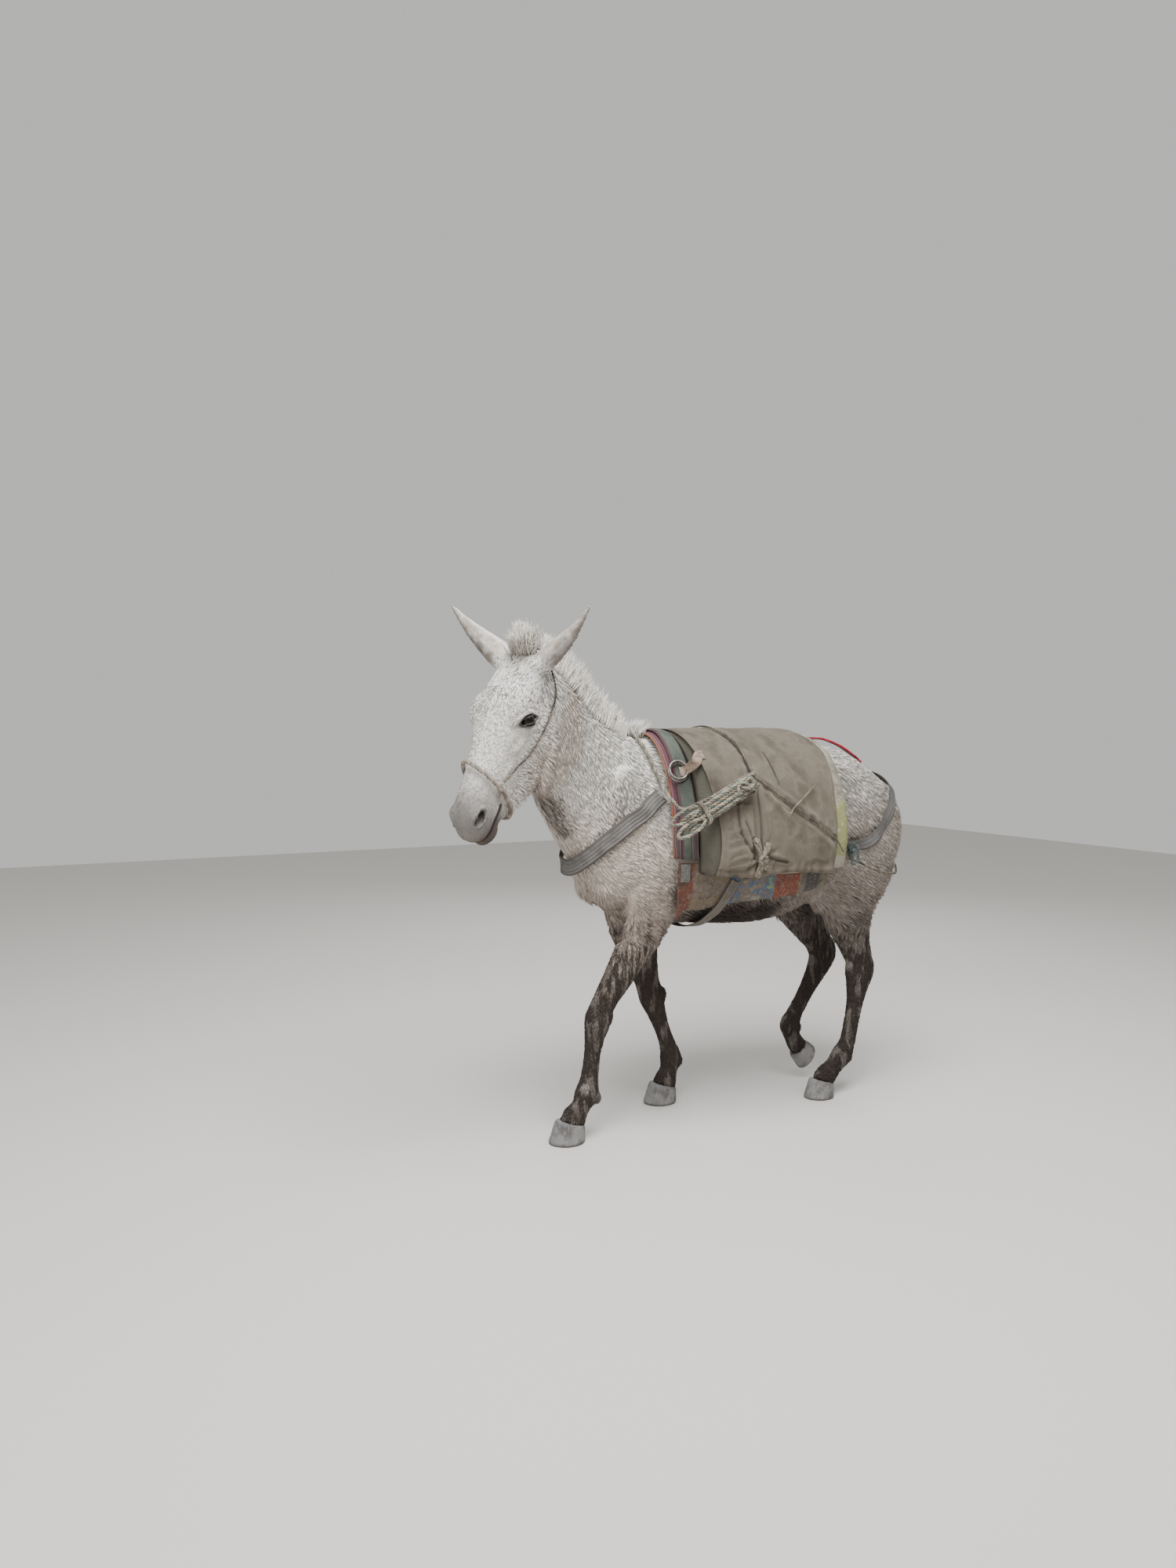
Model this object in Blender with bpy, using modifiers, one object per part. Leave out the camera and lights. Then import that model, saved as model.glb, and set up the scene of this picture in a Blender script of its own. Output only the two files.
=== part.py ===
"""A grey pack mule walking, life size, with its rope halter and its tarp-covered pack.

Metres, +Z up, the floor at Z = 0. The mule faces -Y, and its left side is +X.
The flesh is modelled whole from lofted and oval forms that a voxel remesh fuses,
and is then parted by thin cuts. The tack is laid on the finished flesh.
"""

import math
import random

import bmesh
import bpy
from mathutils import Matrix, Vector
from mathutils.bvhtree import BVHTree

# Clearance between touching sub-parts
GAP = 0.0003
# Fineness of the flesh before and after it is parted
VOXEL = 0.0055
TORSO_FACES = 2000
NECK_FACES = 800
HEAD_FACES = 2100
LEG_FACES = 450
# Clearance at the roots of ears and hair, where the flesh cuts them
ROOT_GAP = 0.0007

# The head's own frame: the poll, then the way to the muzzle and the way to the left ear
POLL = Vector((0.173, -0.804, 1.630))
MUZZLE_WAY = Vector((0.267, -0.498, -0.825))
LEFT_WAY = Vector((0.847, 0.530, -0.045))

# Planes that part the flesh: a point and the way each plane faces, towards the head or down
NECK_CUT = (Vector((0.0, -0.268, 1.360)), Vector((0.0, -0.590, 0.900)))
LEG_CUT = 0.668


# Scene and materials

def clear_scene():
    for obj in list(bpy.data.objects):
        bpy.data.objects.remove(obj)


def collection(name):
    made = bpy.data.collections.new(name)
    bpy.context.scene.collection.children.link(made)
    return made


def material(name, color, roughness=0.85, metallic=0.0):
    made = bpy.data.materials.new(name)
    made.use_nodes = True
    shader = made.node_tree.nodes["Principled BSDF"]
    shader.inputs["Base Color"].default_value = (*color, 1.0)
    shader.inputs["Roughness"].default_value = roughness
    shader.inputs["Metallic"].default_value = metallic
    made.diffuse_color = (*color, 1.0)
    return made


# Mesh helpers

def add_mesh(name, bm, group):
    bmesh.ops.recalc_face_normals(bm, faces=bm.faces)
    data = bpy.data.meshes.new(name)
    bm.to_mesh(data)
    bm.free()
    obj = bpy.data.objects.new(name, data)
    group.objects.link(obj)
    return obj


def bake(obj):
    """Replaces an object's mesh by the one that its modifiers make."""
    bpy.context.view_layer.update()
    graph = bpy.context.evaluated_depsgraph_get()
    data = bpy.data.meshes.new_from_object(obj.evaluated_get(graph))
    obj.modifiers.clear()
    obj.data = data
    return obj


def keep_largest(obj):
    """Drops every loose scrap and sealed hollow, so that one closed surface is left."""
    bm = bmesh.new()
    bm.from_mesh(obj.data)
    left = set(bm.faces)
    shells = []
    while left:
        start = left.pop()
        shell, edge = {start}, [start]
        while edge:
            for side in edge.pop().edges:
                for face in side.link_faces:
                    if face in left:
                        left.discard(face)
                        shell.add(face)
                        edge.append(face)
        shells.append(shell)
    shells.sort(key=lambda shell: sum(face.calc_area() for face in shell), reverse=True)
    for shell in shells[1:]:
        bmesh.ops.delete(bm, geom=list(shell), context="FACES")
    bmesh.ops.delete(bm, geom=[v for v in bm.verts if not v.link_faces], context="VERTS")
    bm.to_mesh(obj.data)
    bm.free()
    return obj


def boolean(obj, other, operation, solver="EXACT"):
    """Joins or cuts an object by another object, or by all those of a collection, and applies it."""
    cut = obj.modifiers.new(operation.title(), "BOOLEAN")
    cut.operation = operation
    cut.solver = solver
    if isinstance(other, bpy.types.Collection):
        cut.operand_type = "COLLECTION"
        cut.collection = other
    else:
        cut.object = other
    return bake(obj)


def remove_all(group):
    for obj in list(group.objects):
        bpy.data.objects.remove(obj)


def copy_of(obj, name, group):
    made = bpy.data.objects.new(name, obj.data.copy())
    group.objects.link(made)
    return made


def swollen(obj, name, reach, group):
    """A copy whose surface stands off by a clearance, to cut what lies against it."""
    made = copy_of(obj, name, group)
    made.data.update()
    shift = [vertex.normal * reach for vertex in made.data.vertices]
    for vertex, way in zip(made.data.vertices, shift):
        vertex.co += way
    return made


def loft(name, rings, group, closed=False):
    """A solid through rings of as many points each, with a fan over each end, or closed on itself."""
    bm = bmesh.new()
    rows = [[bm.verts.new(point) for point in ring] for ring in rings]
    pairs = list(zip(rows, rows[1:]))
    if closed:
        pairs.append((rows[-1], rows[0]))
    for low, high in pairs:
        for i in range(len(low)):
            j = (i + 1) % len(low)
            bm.faces.new((low[i], low[j], high[j], high[i]))
    if not closed:
        for row in (rows[0], rows[-1]):
            middle = bm.verts.new(sum((v.co for v in row), Vector()) / len(row))
            for i in range(len(row)):
                bm.faces.new((row[i], row[(i + 1) % len(row)], middle))
    return add_mesh(name, bm, group)


def oval(name, place, radii, group, turn=None, segments=20, rings=12):
    """An ellipsoid at a place, its radii along its own axes, turned by a matrix."""
    bm = bmesh.new()
    turn = (turn or Matrix.Identity(3)).to_4x4()
    where = Matrix.Translation(place) @ turn @ Matrix.Diagonal((*radii, 1.0))
    bmesh.ops.create_uvsphere(bm, u_segments=segments, v_segments=rings, radius=1.0, matrix=where)
    return add_mesh(name, bm, group)


def trim(obj, point, facing, offset=0.0):
    """Cuts away what lies beyond a plane, on the side that the plane faces, and closes the cut."""
    facing = Vector(facing).normalized()
    bm = bmesh.new()
    bm.from_mesh(obj.data)
    geometry = bm.verts[:] + bm.edges[:] + bm.faces[:]
    place = Vector(point) + facing * offset
    cut = bmesh.ops.bisect_plane(
        bm, geom=geometry, dist=0.00001, plane_co=place, plane_no=facing, clear_outer=True
    )
    rim = [item for item in cut["geom_cut"] if isinstance(item, bmesh.types.BMEdge)]
    bmesh.ops.triangle_fill(bm, edges=rim, use_beauty=True)
    bmesh.ops.triangulate(bm, faces=[face for face in bm.faces if len(face.verts) > 4])
    bmesh.ops.recalc_face_normals(bm, faces=bm.faces)
    bm.to_mesh(obj.data)
    bm.free()
    return obj


def thin_to(obj, faces):
    """Thins a mesh to a triangle count."""
    now = sum(len(polygon.vertices) - 2 for polygon in obj.data.polygons)
    if now <= faces:
        return obj
    thin = obj.modifiers.new("Thin", "DECIMATE")
    thin.ratio = faces / now
    thin.use_collapse_triangulate = True
    return bake(obj)


# Curves through points

def flatten(row):
    flat = []
    for item in row:
        flat.extend(flatten(item) if isinstance(item, (tuple, list, Vector)) else [item])
    return flat


def through(rows, steps):
    """Rows of numbers with others eased in between, on a smooth curve through them all."""
    rows = [flatten(row) for row in rows]
    ends = [rows[0]] + rows + [rows[-1]]
    made = []
    for a, b, c, d in zip(ends, ends[1:], ends[2:], ends[3:]):
        for step in range(steps):
            t = step / steps
            made.append([
                q + 0.5 * t * (r - p + t * (2 * p - 5 * q + 4 * r - s + t * (3 * (q - r) + s - p)))
                for p, q, r, s in zip(a, b, c, d)
            ])
    made.append(rows[-1])
    return made


def route(points, step):
    """A smooth line through points, as places evenly spaced along it."""
    dense = [Vector(row) for row in through(points, 24)]
    lengths = [0.0]
    for a, b in zip(dense, dense[1:]):
        lengths.append(lengths[-1] + (b - a).length)
    count = max(2, round(lengths[-1] / step))
    made, k = [], 0
    for i in range(count + 1):
        target = lengths[-1] * i / count
        while k < len(dense) - 2 and lengths[k + 1] < target:
            k += 1
        span = lengths[k + 1] - lengths[k]
        made.append(dense[k].lerp(dense[k + 1], (target - lengths[k]) / span if span else 0.0))
    return made


def power(value, exponent):
    return math.copysign(abs(value) ** exponent, value)


def on_head(x, y, z):
    return HEAD_FRAME @ Vector((x, y, z))


# Trunk: place along Y, lowest and highest Z, half width, height of the widest line, sharpness of the back
TRUNK = (
    (-0.545, 0.912, 1.000, 0.045, 0.95, 1.00),
    (-0.512, 0.862, 1.075, 0.098, 0.95, 1.00),
    (-0.455, 0.800, 1.180, 0.148, 0.95, 1.00),
    (-0.370, 0.728, 1.285, 0.184, 0.95, 1.10),
    (-0.270, 0.708, 1.372, 0.213, 0.96, 1.32),
    (-0.130, 0.702, 1.352, 0.246, 0.97, 1.30),
    (0.020, 0.690, 1.302, 0.276, 0.97, 1.12),
    (0.180, 0.687, 1.282, 0.286, 0.98, 1.05),
    (0.310, 0.710, 1.300, 0.272, 1.00, 1.05),
    (0.430, 0.762, 1.334, 0.256, 1.03, 1.10),
    (0.550, 0.830, 1.324, 0.236, 1.05, 1.10),
    (0.670, 0.890, 1.262, 0.202, 1.06, 1.05),
    (0.765, 0.940, 1.180, 0.148, 1.06, 1.00),
    (0.822, 0.990, 1.105, 0.060, 1.05, 1.00),
)
RING_POINTS = 28


def trunk_ring(y, low, high, half, widest, peak):
    points = []
    for i in range(RING_POINTS):
        turn = 2 * math.pi * i / RING_POINTS
        across, up = math.cos(turn), math.sin(turn)
        x = half * power(across, 0.85 * (peak if up >= 0 else 1.0))
        z = widest + (high - widest if up >= 0 else widest - low) * power(up, 0.95)
        points.append(Vector((x, y, z)))
    return points


# Neck: a point of the crest, the point of the throat under it, and the half width between them
NECK = (
    ((0.000, -0.150, 1.300), (0.000, -0.470, 0.800), 0.160),
    ((0.000, -0.255, 1.355), (0.000, -0.535, 0.925), 0.145),
    ((0.012, -0.370, 1.385), (0.016, -0.590, 1.000), 0.112),
    ((0.045, -0.480, 1.440), (0.050, -0.645, 1.070), 0.094),
    ((0.088, -0.575, 1.520), (0.095, -0.702, 1.145), 0.084),
    ((0.125, -0.660, 1.590), (0.130, -0.752, 1.230), 0.078),
    ((0.150, -0.735, 1.622), (0.150, -0.790, 1.330), 0.068),
)
CREST_PINCH = 0.36


def neck_ring(cx, cy, cz, tx, ty, tz, half):
    crest, throat = Vector((cx, cy, cz)), Vector((tx, ty, tz))
    middle, reach = (crest + throat) / 2, (crest - throat) / 2
    aside = Vector((1.0, 2.0 * middle.x, 0.0)).normalized()
    ring = []
    for i in range(RING_POINTS):
        turn = 2 * math.pi * i / RING_POINTS
        up = math.sin(turn)
        width = half * (1.0 - CREST_PINCH * max(up, 0.0) ** 2) * power(math.cos(turn), 0.9)
        ring.append(middle + aside * width + reach * power(up, 0.95))
    return ring


# Limbs: the centre line, then the half depth and the half width, from inside the body to the coronet
LIMBS = {
    "foreleg_left": (
        ((0.115, -0.250, 1.040), 0.120, 0.066),
        ((0.130, -0.285, 0.860), 0.118, 0.074),
        ((0.132, -0.316, 0.735), 0.084, 0.066),
        ((0.125, -0.371, 0.640), 0.065, 0.055),
        ((0.118, -0.428, 0.545), 0.053, 0.046),
        ((0.113, -0.475, 0.470), 0.044, 0.039),
        ((0.112, -0.497, 0.415), 0.050, 0.043),
        ((0.112, -0.508, 0.365), 0.040, 0.035),
        ((0.111, -0.518, 0.305), 0.033, 0.025),
        ((0.110, -0.526, 0.240), 0.033, 0.025),
        ((0.110, -0.532, 0.200), 0.038, 0.029),
        ((0.110, -0.540, 0.165), 0.045, 0.036),
        ((0.110, -0.562, 0.125), 0.035, 0.032),
        ((0.110, -0.584, 0.095), 0.043, 0.041),
        ((0.110, -0.600, 0.060), 0.048, 0.046),
    ),
    "foreleg_right": (
        ((-0.115, -0.220, 1.040), 0.130, 0.070),
        ((-0.132, -0.240, 0.860), 0.128, 0.078),
        ((-0.130, -0.242, 0.735), 0.106, 0.070),
        ((-0.122, -0.223, 0.640), 0.090, 0.058),
        ((-0.116, -0.200, 0.545), 0.067, 0.048),
        ((-0.112, -0.177, 0.465), 0.048, 0.040),
        ((-0.110, -0.160, 0.408), 0.050, 0.043),
        ((-0.110, -0.142, 0.358), 0.040, 0.035),
        ((-0.110, -0.120, 0.300), 0.033, 0.025),
        ((-0.110, -0.098, 0.242), 0.033, 0.025),
        ((-0.110, -0.086, 0.207), 0.038, 0.029),
        ((-0.110, -0.078, 0.174), 0.045, 0.036),
        ((-0.110, -0.086, 0.130), 0.035, 0.032),
        ((-0.110, -0.098, 0.096), 0.043, 0.041),
        ((-0.110, -0.108, 0.060), 0.048, 0.046),
    ),
    "hindleg_left": (
        ((0.110, 0.560, 1.120), 0.180, 0.080),
        ((0.130, 0.570, 0.980), 0.200, 0.100),
        ((0.142, 0.555, 0.860), 0.182, 0.096),
        ((0.143, 0.543, 0.760), 0.142, 0.082),
        ((0.135, 0.558, 0.670), 0.100, 0.062),
        ((0.124, 0.588, 0.590), 0.072, 0.045),
        ((0.116, 0.616, 0.525), 0.061, 0.038),
        ((0.111, 0.626, 0.470), 0.066, 0.038),
        ((0.110, 0.618, 0.415), 0.050, 0.035),
        ((0.110, 0.606, 0.350), 0.037, 0.028),
        ((0.109, 0.590, 0.270), 0.034, 0.026),
        ((0.109, 0.572, 0.200), 0.036, 0.027),
        ((0.109, 0.548, 0.160), 0.043, 0.036),
        ((0.109, 0.510, 0.120), 0.035, 0.032),
        ((0.109, 0.476, 0.092), 0.041, 0.039),
        ((0.109, 0.456, 0.058), 0.046, 0.044),
    ),
    "hindleg_right": (
        ((-0.110, 0.540, 1.120), 0.180, 0.080),
        ((-0.130, 0.540, 0.980), 0.200, 0.100),
        ((-0.140, 0.515, 0.860), 0.178, 0.096),
        ((-0.138, 0.502, 0.760), 0.140, 0.082),
        ((-0.130, 0.528, 0.680), 0.100, 0.062),
        ((-0.120, 0.568, 0.605), 0.072, 0.045),
        ((-0.113, 0.606, 0.548), 0.061, 0.038),
        ((-0.110, 0.622, 0.500), 0.064, 0.038),
        ((-0.110, 0.600, 0.445), 0.050, 0.035),
        ((-0.110, 0.562, 0.385), 0.038, 0.028),
        ((-0.110, 0.518, 0.318), 0.034, 0.026),
        ((-0.110, 0.486, 0.268), 0.037, 0.027),
        ((-0.110, 0.466, 0.232), 0.044, 0.036),
        ((-0.110, 0.476, 0.192), 0.035, 0.031),
        ((-0.110, 0.496, 0.156), 0.038, 0.036),
        ((-0.110, 0.532, 0.120), 0.039, 0.037),
    ),
}
LIMB_POINTS = 16


def limb(name, stations, group):
    """A leg as rings square to its own line, all in its fore and aft plane."""
    rows = through(stations, 3)
    places = [Vector(row[:3]) for row in rows]
    aside = Vector((1.0, 0.0, 0.0))
    rings = []
    for i, row in enumerate(rows):
        down = places[min(i + 1, len(places) - 1)] - places[max(i - 1, 0)]
        fore = aside.cross(down).normalized()
        ring = []
        for k in range(LIMB_POINTS):
            turn = 2 * math.pi * k / LIMB_POINTS
            ring.append(places[i] + fore * row[3] * math.cos(turn) + aside * row[4] * math.sin(turn))
        rings.append(ring)
    return loft(name + "_form", rings, group)


# Muscles and bony points of both sides: place, radii, turn about X in degrees
MUSCLES = (
    ((0.118, -0.320, 1.060), (0.062, 0.085, 0.230), 24),
    ((0.132, -0.225, 0.900), (0.078, 0.115, 0.115), -25),
    ((0.066, -0.415, 0.865), (0.086, 0.080, 0.094), 0),
    ((0.158, 0.460, 1.200), (0.070, 0.120, 0.080), -20),
    ((0.120, 0.640, 1.030), (0.092, 0.160, 0.200), 12),
    ((0.078, 0.720, 0.970), (0.072, 0.085, 0.165), 8),
    ((0.138, 0.440, 0.800), (0.062, 0.090, 0.095), -25),
)
# The back of each knee, hock and fetlock: place, radii, turn about X in degrees
JOINTS = (
    ((0.111, 0.662, 0.462), (0.022, 0.030, 0.064), -14),
    ((-0.110, 0.660, 0.515), (0.022, 0.030, 0.058), 8),
    ((0.112, -0.460, 0.425), (0.022, 0.022, 0.034), 0),
    ((-0.110, -0.118, 0.415), (0.022, 0.022, 0.034), 0),
    ((0.110, -0.503, 0.152), (0.020, 0.020, 0.030), 20),
    ((-0.110, -0.044, 0.160), (0.020, 0.020, 0.030), 20),
    ((0.109, 0.577, 0.150), (0.020, 0.018, 0.028), 30),
    ((-0.110, 0.500, 0.222), (0.020, 0.020, 0.028), 70),
)


def body_forms(group):
    loft("trunk_form", [trunk_ring(*row) for row in through(TRUNK, 3)], group)
    loft("neck_form", [neck_ring(*row) for row in through(NECK, 3)], group)
    for name, stations in LIMBS.items():
        limb(name, stations, group)
    for place, radii, degrees in MUSCLES:
        for side in (1, -1):
            where = Vector((place[0] * side, place[1], place[2]))
            oval("muscle_form", where, radii, group, Matrix.Rotation(math.radians(degrees), 3, "X"))
    for place, radii, degrees in JOINTS:
        oval("joint_form", place, radii, group, Matrix.Rotation(math.radians(degrees), 3, "X"))


# Head: place along it, lowest and highest line, then five half widths from the jaw up to the brow
HEAD = (
    (-0.050, -0.170, -0.020, (0.020, 0.038, 0.045, 0.042, 0.022)),
    (-0.010, -0.205, 0.012, (0.030, 0.056, 0.062, 0.060, 0.034)),
    (0.050, -0.242, 0.026, (0.030, 0.064, 0.072, 0.075, 0.048)),
    (0.110, -0.268, 0.036, (0.028, 0.066, 0.076, 0.083, 0.058)),
    (0.170, -0.284, 0.040, (0.026, 0.064, 0.078, 0.091, 0.066)),
    (0.225, -0.288, 0.036, (0.024, 0.060, 0.074, 0.090, 0.066)),
    (0.285, -0.291, 0.025, (0.030, 0.057, 0.068, 0.076, 0.054)),
    (0.350, -0.275, 0.011, (0.032, 0.050, 0.060, 0.062, 0.042)),
    (0.415, -0.245, -0.001, (0.030, 0.046, 0.054, 0.054, 0.036)),
    (0.475, -0.211, -0.010, (0.026, 0.044, 0.053, 0.051, 0.034)),
    (0.530, -0.188, -0.020, (0.026, 0.046, 0.055, 0.053, 0.034)),
    (0.572, -0.172, -0.038, (0.026, 0.044, 0.052, 0.049, 0.030)),
    (0.600, -0.150, -0.064, (0.018, 0.034, 0.040, 0.034, 0.018)),
)
HEAD_RISE = (0.0, 0.25, 0.5, 0.8, 1.0)
HEAD_STEPS = 14


def head_frame():
    ahead = MUZZLE_WAY.normalized()
    left = (LEFT_WAY - ahead * LEFT_WAY.dot(ahead)).normalized()
    turn = Matrix((ahead, left, ahead.cross(left))).transposed()
    return Matrix.Translation(POLL) @ turn.to_4x4()


HEAD_FRAME = head_frame()


def half_width(widths, rise):
    for i in range(len(HEAD_RISE) - 1):
        if rise <= HEAD_RISE[i + 1]:
            break
    share = (rise - HEAD_RISE[i]) / (HEAD_RISE[i + 1] - HEAD_RISE[i])
    share = share * share * (3 - 2 * share)
    return widths[i] + (widths[i + 1] - widths[i]) * share


def head_ring(x, low, high, *widths):
    """Up the left side and down the right, with the top and the bottom rounded over."""
    left = []
    for i in range(HEAD_STEPS + 1):
        turn = math.pi * i / HEAD_STEPS
        rise = 0.5 - 0.5 * math.cos(turn)
        left.append((half_width(widths, rise) * min(1.0, math.sin(turn) * 2.2), low + (high - low) * rise))
    ring = [(x, y, z) for y, z in left] + [(x, -y, z) for y, z in left[-2:0:-1]]
    return [on_head(*point) for point in ring]


# Forms of both sides of the head: place in its frame, radii, turn about its left axis in degrees
EYE = (0.214, 0.086, -0.046)
EYE_RADIUS = 0.0240
NOSTRIL = (0.556, 0.049, -0.066)
HEAD_SIDES = (
    ((0.208, 0.072, -0.004), (0.060, 0.030, 0.026), 12),
    ((0.214, 0.068, -0.046), (0.048, 0.038, 0.040), 0),
    ((0.262, 0.066, -0.082), (0.062, 0.020, 0.016), -8),
    ((0.340, 0.052, -0.094), (0.080, 0.013, 0.013), -4),
    ((0.150, 0.056, -0.172), (0.108, 0.028, 0.096), 0),
    ((0.548, 0.034, -0.066), (0.040, 0.026, 0.034), 20),
    ((0.556, 0.018, -0.112), (0.046, 0.034, 0.032), 0),
    ((0.035, 0.050, -0.012), (0.045, 0.032, 0.036), 0),
    ((0.485, 0.034, -0.128), (0.050, 0.020, 0.026), 0),
)
# Forms on the midline: the upper lip's front, the chin and the forehead
HEAD_MIDDLE = (
    ((0.590, 0.0, -0.108), (0.026, 0.042, 0.036), 0),
    ((0.545, 0.0, -0.178), (0.052, 0.040, 0.030), -8),
    ((0.120, 0.0, 0.018), (0.080, 0.050, 0.022), 0),
)


def head_forms(group):
    loft("head_form", [head_ring(*row) for row in through(HEAD, 3)], group)
    frame_turn = HEAD_FRAME.to_3x3()
    for place, radii, degrees in HEAD_SIDES:
        for side in (1, -1):
            turn = frame_turn @ Matrix.Rotation(math.radians(degrees), 3, "Y")
            oval("face_form", on_head(place[0], place[1] * side, place[2]), radii, group, turn)
    for place, radii, degrees in HEAD_MIDDLE:
        turn = frame_turn @ Matrix.Rotation(math.radians(degrees), 3, "Y")
        oval("face_form", on_head(*place), radii, group, turn)
    for side in (1, -1):
        oval("eyeball_form", on_head(EYE[0], EYE[1] * side, EYE[2]), [EYE_RADIUS + 0.007] * 3, group)


def fuse_flesh(group):
    """One closed skin round all the forms, softened where they meet."""
    forms = collection("forms")
    body_forms(forms)
    head_forms(forms)
    bm = bmesh.new()
    for obj in list(forms.objects):
        bm.from_mesh(obj.data)
    remove_all(forms)
    flesh = add_mesh("flesh", bm, group)
    remesh = flesh.modifiers.new("Fuse", "REMESH")
    remesh.mode = "VOXEL"
    remesh.voxel_size = VOXEL
    bake(flesh)
    trunk_only = flesh.vertex_groups.new(name="trunk")
    head_side = HEAD_FRAME.inverted()
    for vertex in flesh.data.vertices:
        if vertex.co.z > 0.70 and (head_side @ vertex.co).x < 0.02:
            trunk_only.add([vertex.index], min(1.0, (vertex.co.z - 0.70) / 0.08), "REPLACE")
    for label, rounds, within in (("Soften", 6, ""), ("Soften trunk", 40, "trunk")):
        soften = flesh.modifiers.new(label, "SMOOTH")
        soften.factor = 0.5
        soften.iterations = rounds
        soften.vertex_group = within
    return keep_largest(bake(flesh))


# Hooves: the middle of each sole, the turn about X in degrees, the size
HOOVES = {
    "hoof_fore_left": (0.110, -0.602, 0.010, 0.0, 1.0),
    "hoof_fore_right": (-0.110, -0.112, 0.010, 0.0, 1.0),
    "hoof_hind_left": (0.109, 0.452, 0.010, 0.0, 0.94),
    "hoof_hind_right": (-0.110, 0.555, 0.101, 55.0, 0.84),
}
# From the coronet down to the sole: how far ahead the middle lies, height, half length, half width
HOOF_RINGS = (
    (-0.002, 0.068, 0.048, 0.045),
    (-0.003, 0.060, 0.051, 0.048),
    (-0.008, 0.034, 0.056, 0.052),
    (-0.014, 0.006, 0.062, 0.056),
    (-0.014, 0.000, 0.060, 0.054),
)
CORONET_SLOPE = 0.24
HOOF_POINTS = 14


def hoof_frame(name):
    x, y, z, degrees, size = HOOVES[name]
    turn = Matrix.Rotation(math.radians(degrees), 4, "X")
    return Matrix.Translation((x, y, z)) @ turn @ Matrix.Diagonal((size, size, size, 1.0))


def hoof(name, group):
    frame = hoof_frame(name)
    rings = []
    for ahead, height, deep, wide in HOOF_RINGS:
        ring = []
        for k in range(HOOF_POINTS):
            turn = 2 * math.pi * k / HOOF_POINTS
            out = deep * -math.cos(turn) + 0.004 * max(0.0, -math.cos(turn))
            x = wide * math.sin(turn) * (1.0 - 0.10 * max(0.0, math.cos(turn)) ** 2)
            slope = -CORONET_SLOPE * out * height / HOOF_RINGS[0][1]
            ring.append(frame @ Vector((x, ahead + out, height + slope)))
        rings.append(ring)
    return loft(name, rings, group)


def coronet_plane(name):
    frame = hoof_frame(name)
    top = HOOF_RINGS[0]
    facing = Vector((0.0, CORONET_SLOPE, 1.0)).normalized()
    return frame @ Vector((0.0, top[0], top[1])), (frame.to_3x3() @ facing).normalized()


# Head cuts and ears

EYE_TILT = 40.0
EYE_HALF_LENGTH = 0.0320
EYE_HALF_HEIGHT = 0.0145
EYE_FACING = Vector((0.16, 0.90, 0.36))
NOSTRIL_RADII = (0.027, 0.020, 0.011)
MOUTH = (
    (0.480, 0.052, -0.150),
    (0.520, 0.053, -0.158),
    (0.562, 0.044, -0.161),
    (0.592, 0.024, -0.157),
    (0.602, 0.000, -0.155),
)
MOUTH_GROOVE = 0.0028


def eye(name, side, group):
    place = on_head(EYE[0], EYE[1] * side, EYE[2])
    return oval(name, place, [EYE_RADIUS] * 3, group, HEAD_FRAME.to_3x3(), 12, 8)


def eye_opening(side, group):
    """A prism with an almond's outline, from inside the eyeball out through the lids."""
    along = Vector((math.cos(math.radians(EYE_TILT)), 0.0, math.sin(math.radians(EYE_TILT))))
    out = Vector((EYE_FACING.x, EYE_FACING.y * side, EYE_FACING.z)).normalized()
    along = (along - out * along.dot(out)).normalized()
    up = out.cross(along)
    middle = Vector((EYE[0], EYE[1] * side, EYE[2]))
    rings = []
    for reach in (0.006, 0.050):
        ring = []
        for k in range(14):
            turn = 2 * math.pi * k / 14
            across = power(math.sin(turn), 1.4) * EYE_HALF_HEIGHT
            place = middle + out * reach + along * math.cos(turn) * EYE_HALF_LENGTH + up * across
            ring.append(on_head(*place))
        rings.append(ring)
    return loft("opening_cutter", rings, group)


def nostril(side, group):
    turn = Matrix.Rotation(math.radians(24), 3, "Y") @ Matrix.Rotation(math.radians(-24 * side), 3, "Z")
    place = on_head(NOSTRIL[0], NOSTRIL[1] * side, NOSTRIL[2])
    return oval("nostril_cutter", place, NOSTRIL_RADII, group, HEAD_FRAME.to_3x3() @ turn, 12, 7)


def cut_head(head, group):
    """Sockets and slits for the eyes, the nostrils and the line of the mouth."""
    cutters = collection("head_cutters")
    tree = tree_of(head)
    for side in (1, -1):
        place = on_head(EYE[0], EYE[1] * side, EYE[2])
        oval("socket_cutter", place, [EYE_RADIUS + GAP] * 3, cutters, HEAD_FRAME.to_3x3(), 12, 8)
        eye_opening(side, cutters)
        nostril(side, cutters)
    half = [on_head(*point) for point in MOUTH]
    other = [on_head(x, -y, z) for x, y, z in MOUTH[-2::-1]]
    lips = [tree.find_nearest(point)[0] for point in route(half + other, 0.018)]
    tube("mouth_cutter", lips, MOUTH_GROOVE, cutters)
    for cutter in list(cutters.objects):
        boolean(head, cutter, "DIFFERENCE")
    remove_all(cutters)
    return keep_largest(head)


# Ear: share of its length, half width, depth of the cup, shift towards its lower edge
EAR_ROOT = Vector((0.014, 0.056, -0.040))
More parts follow.
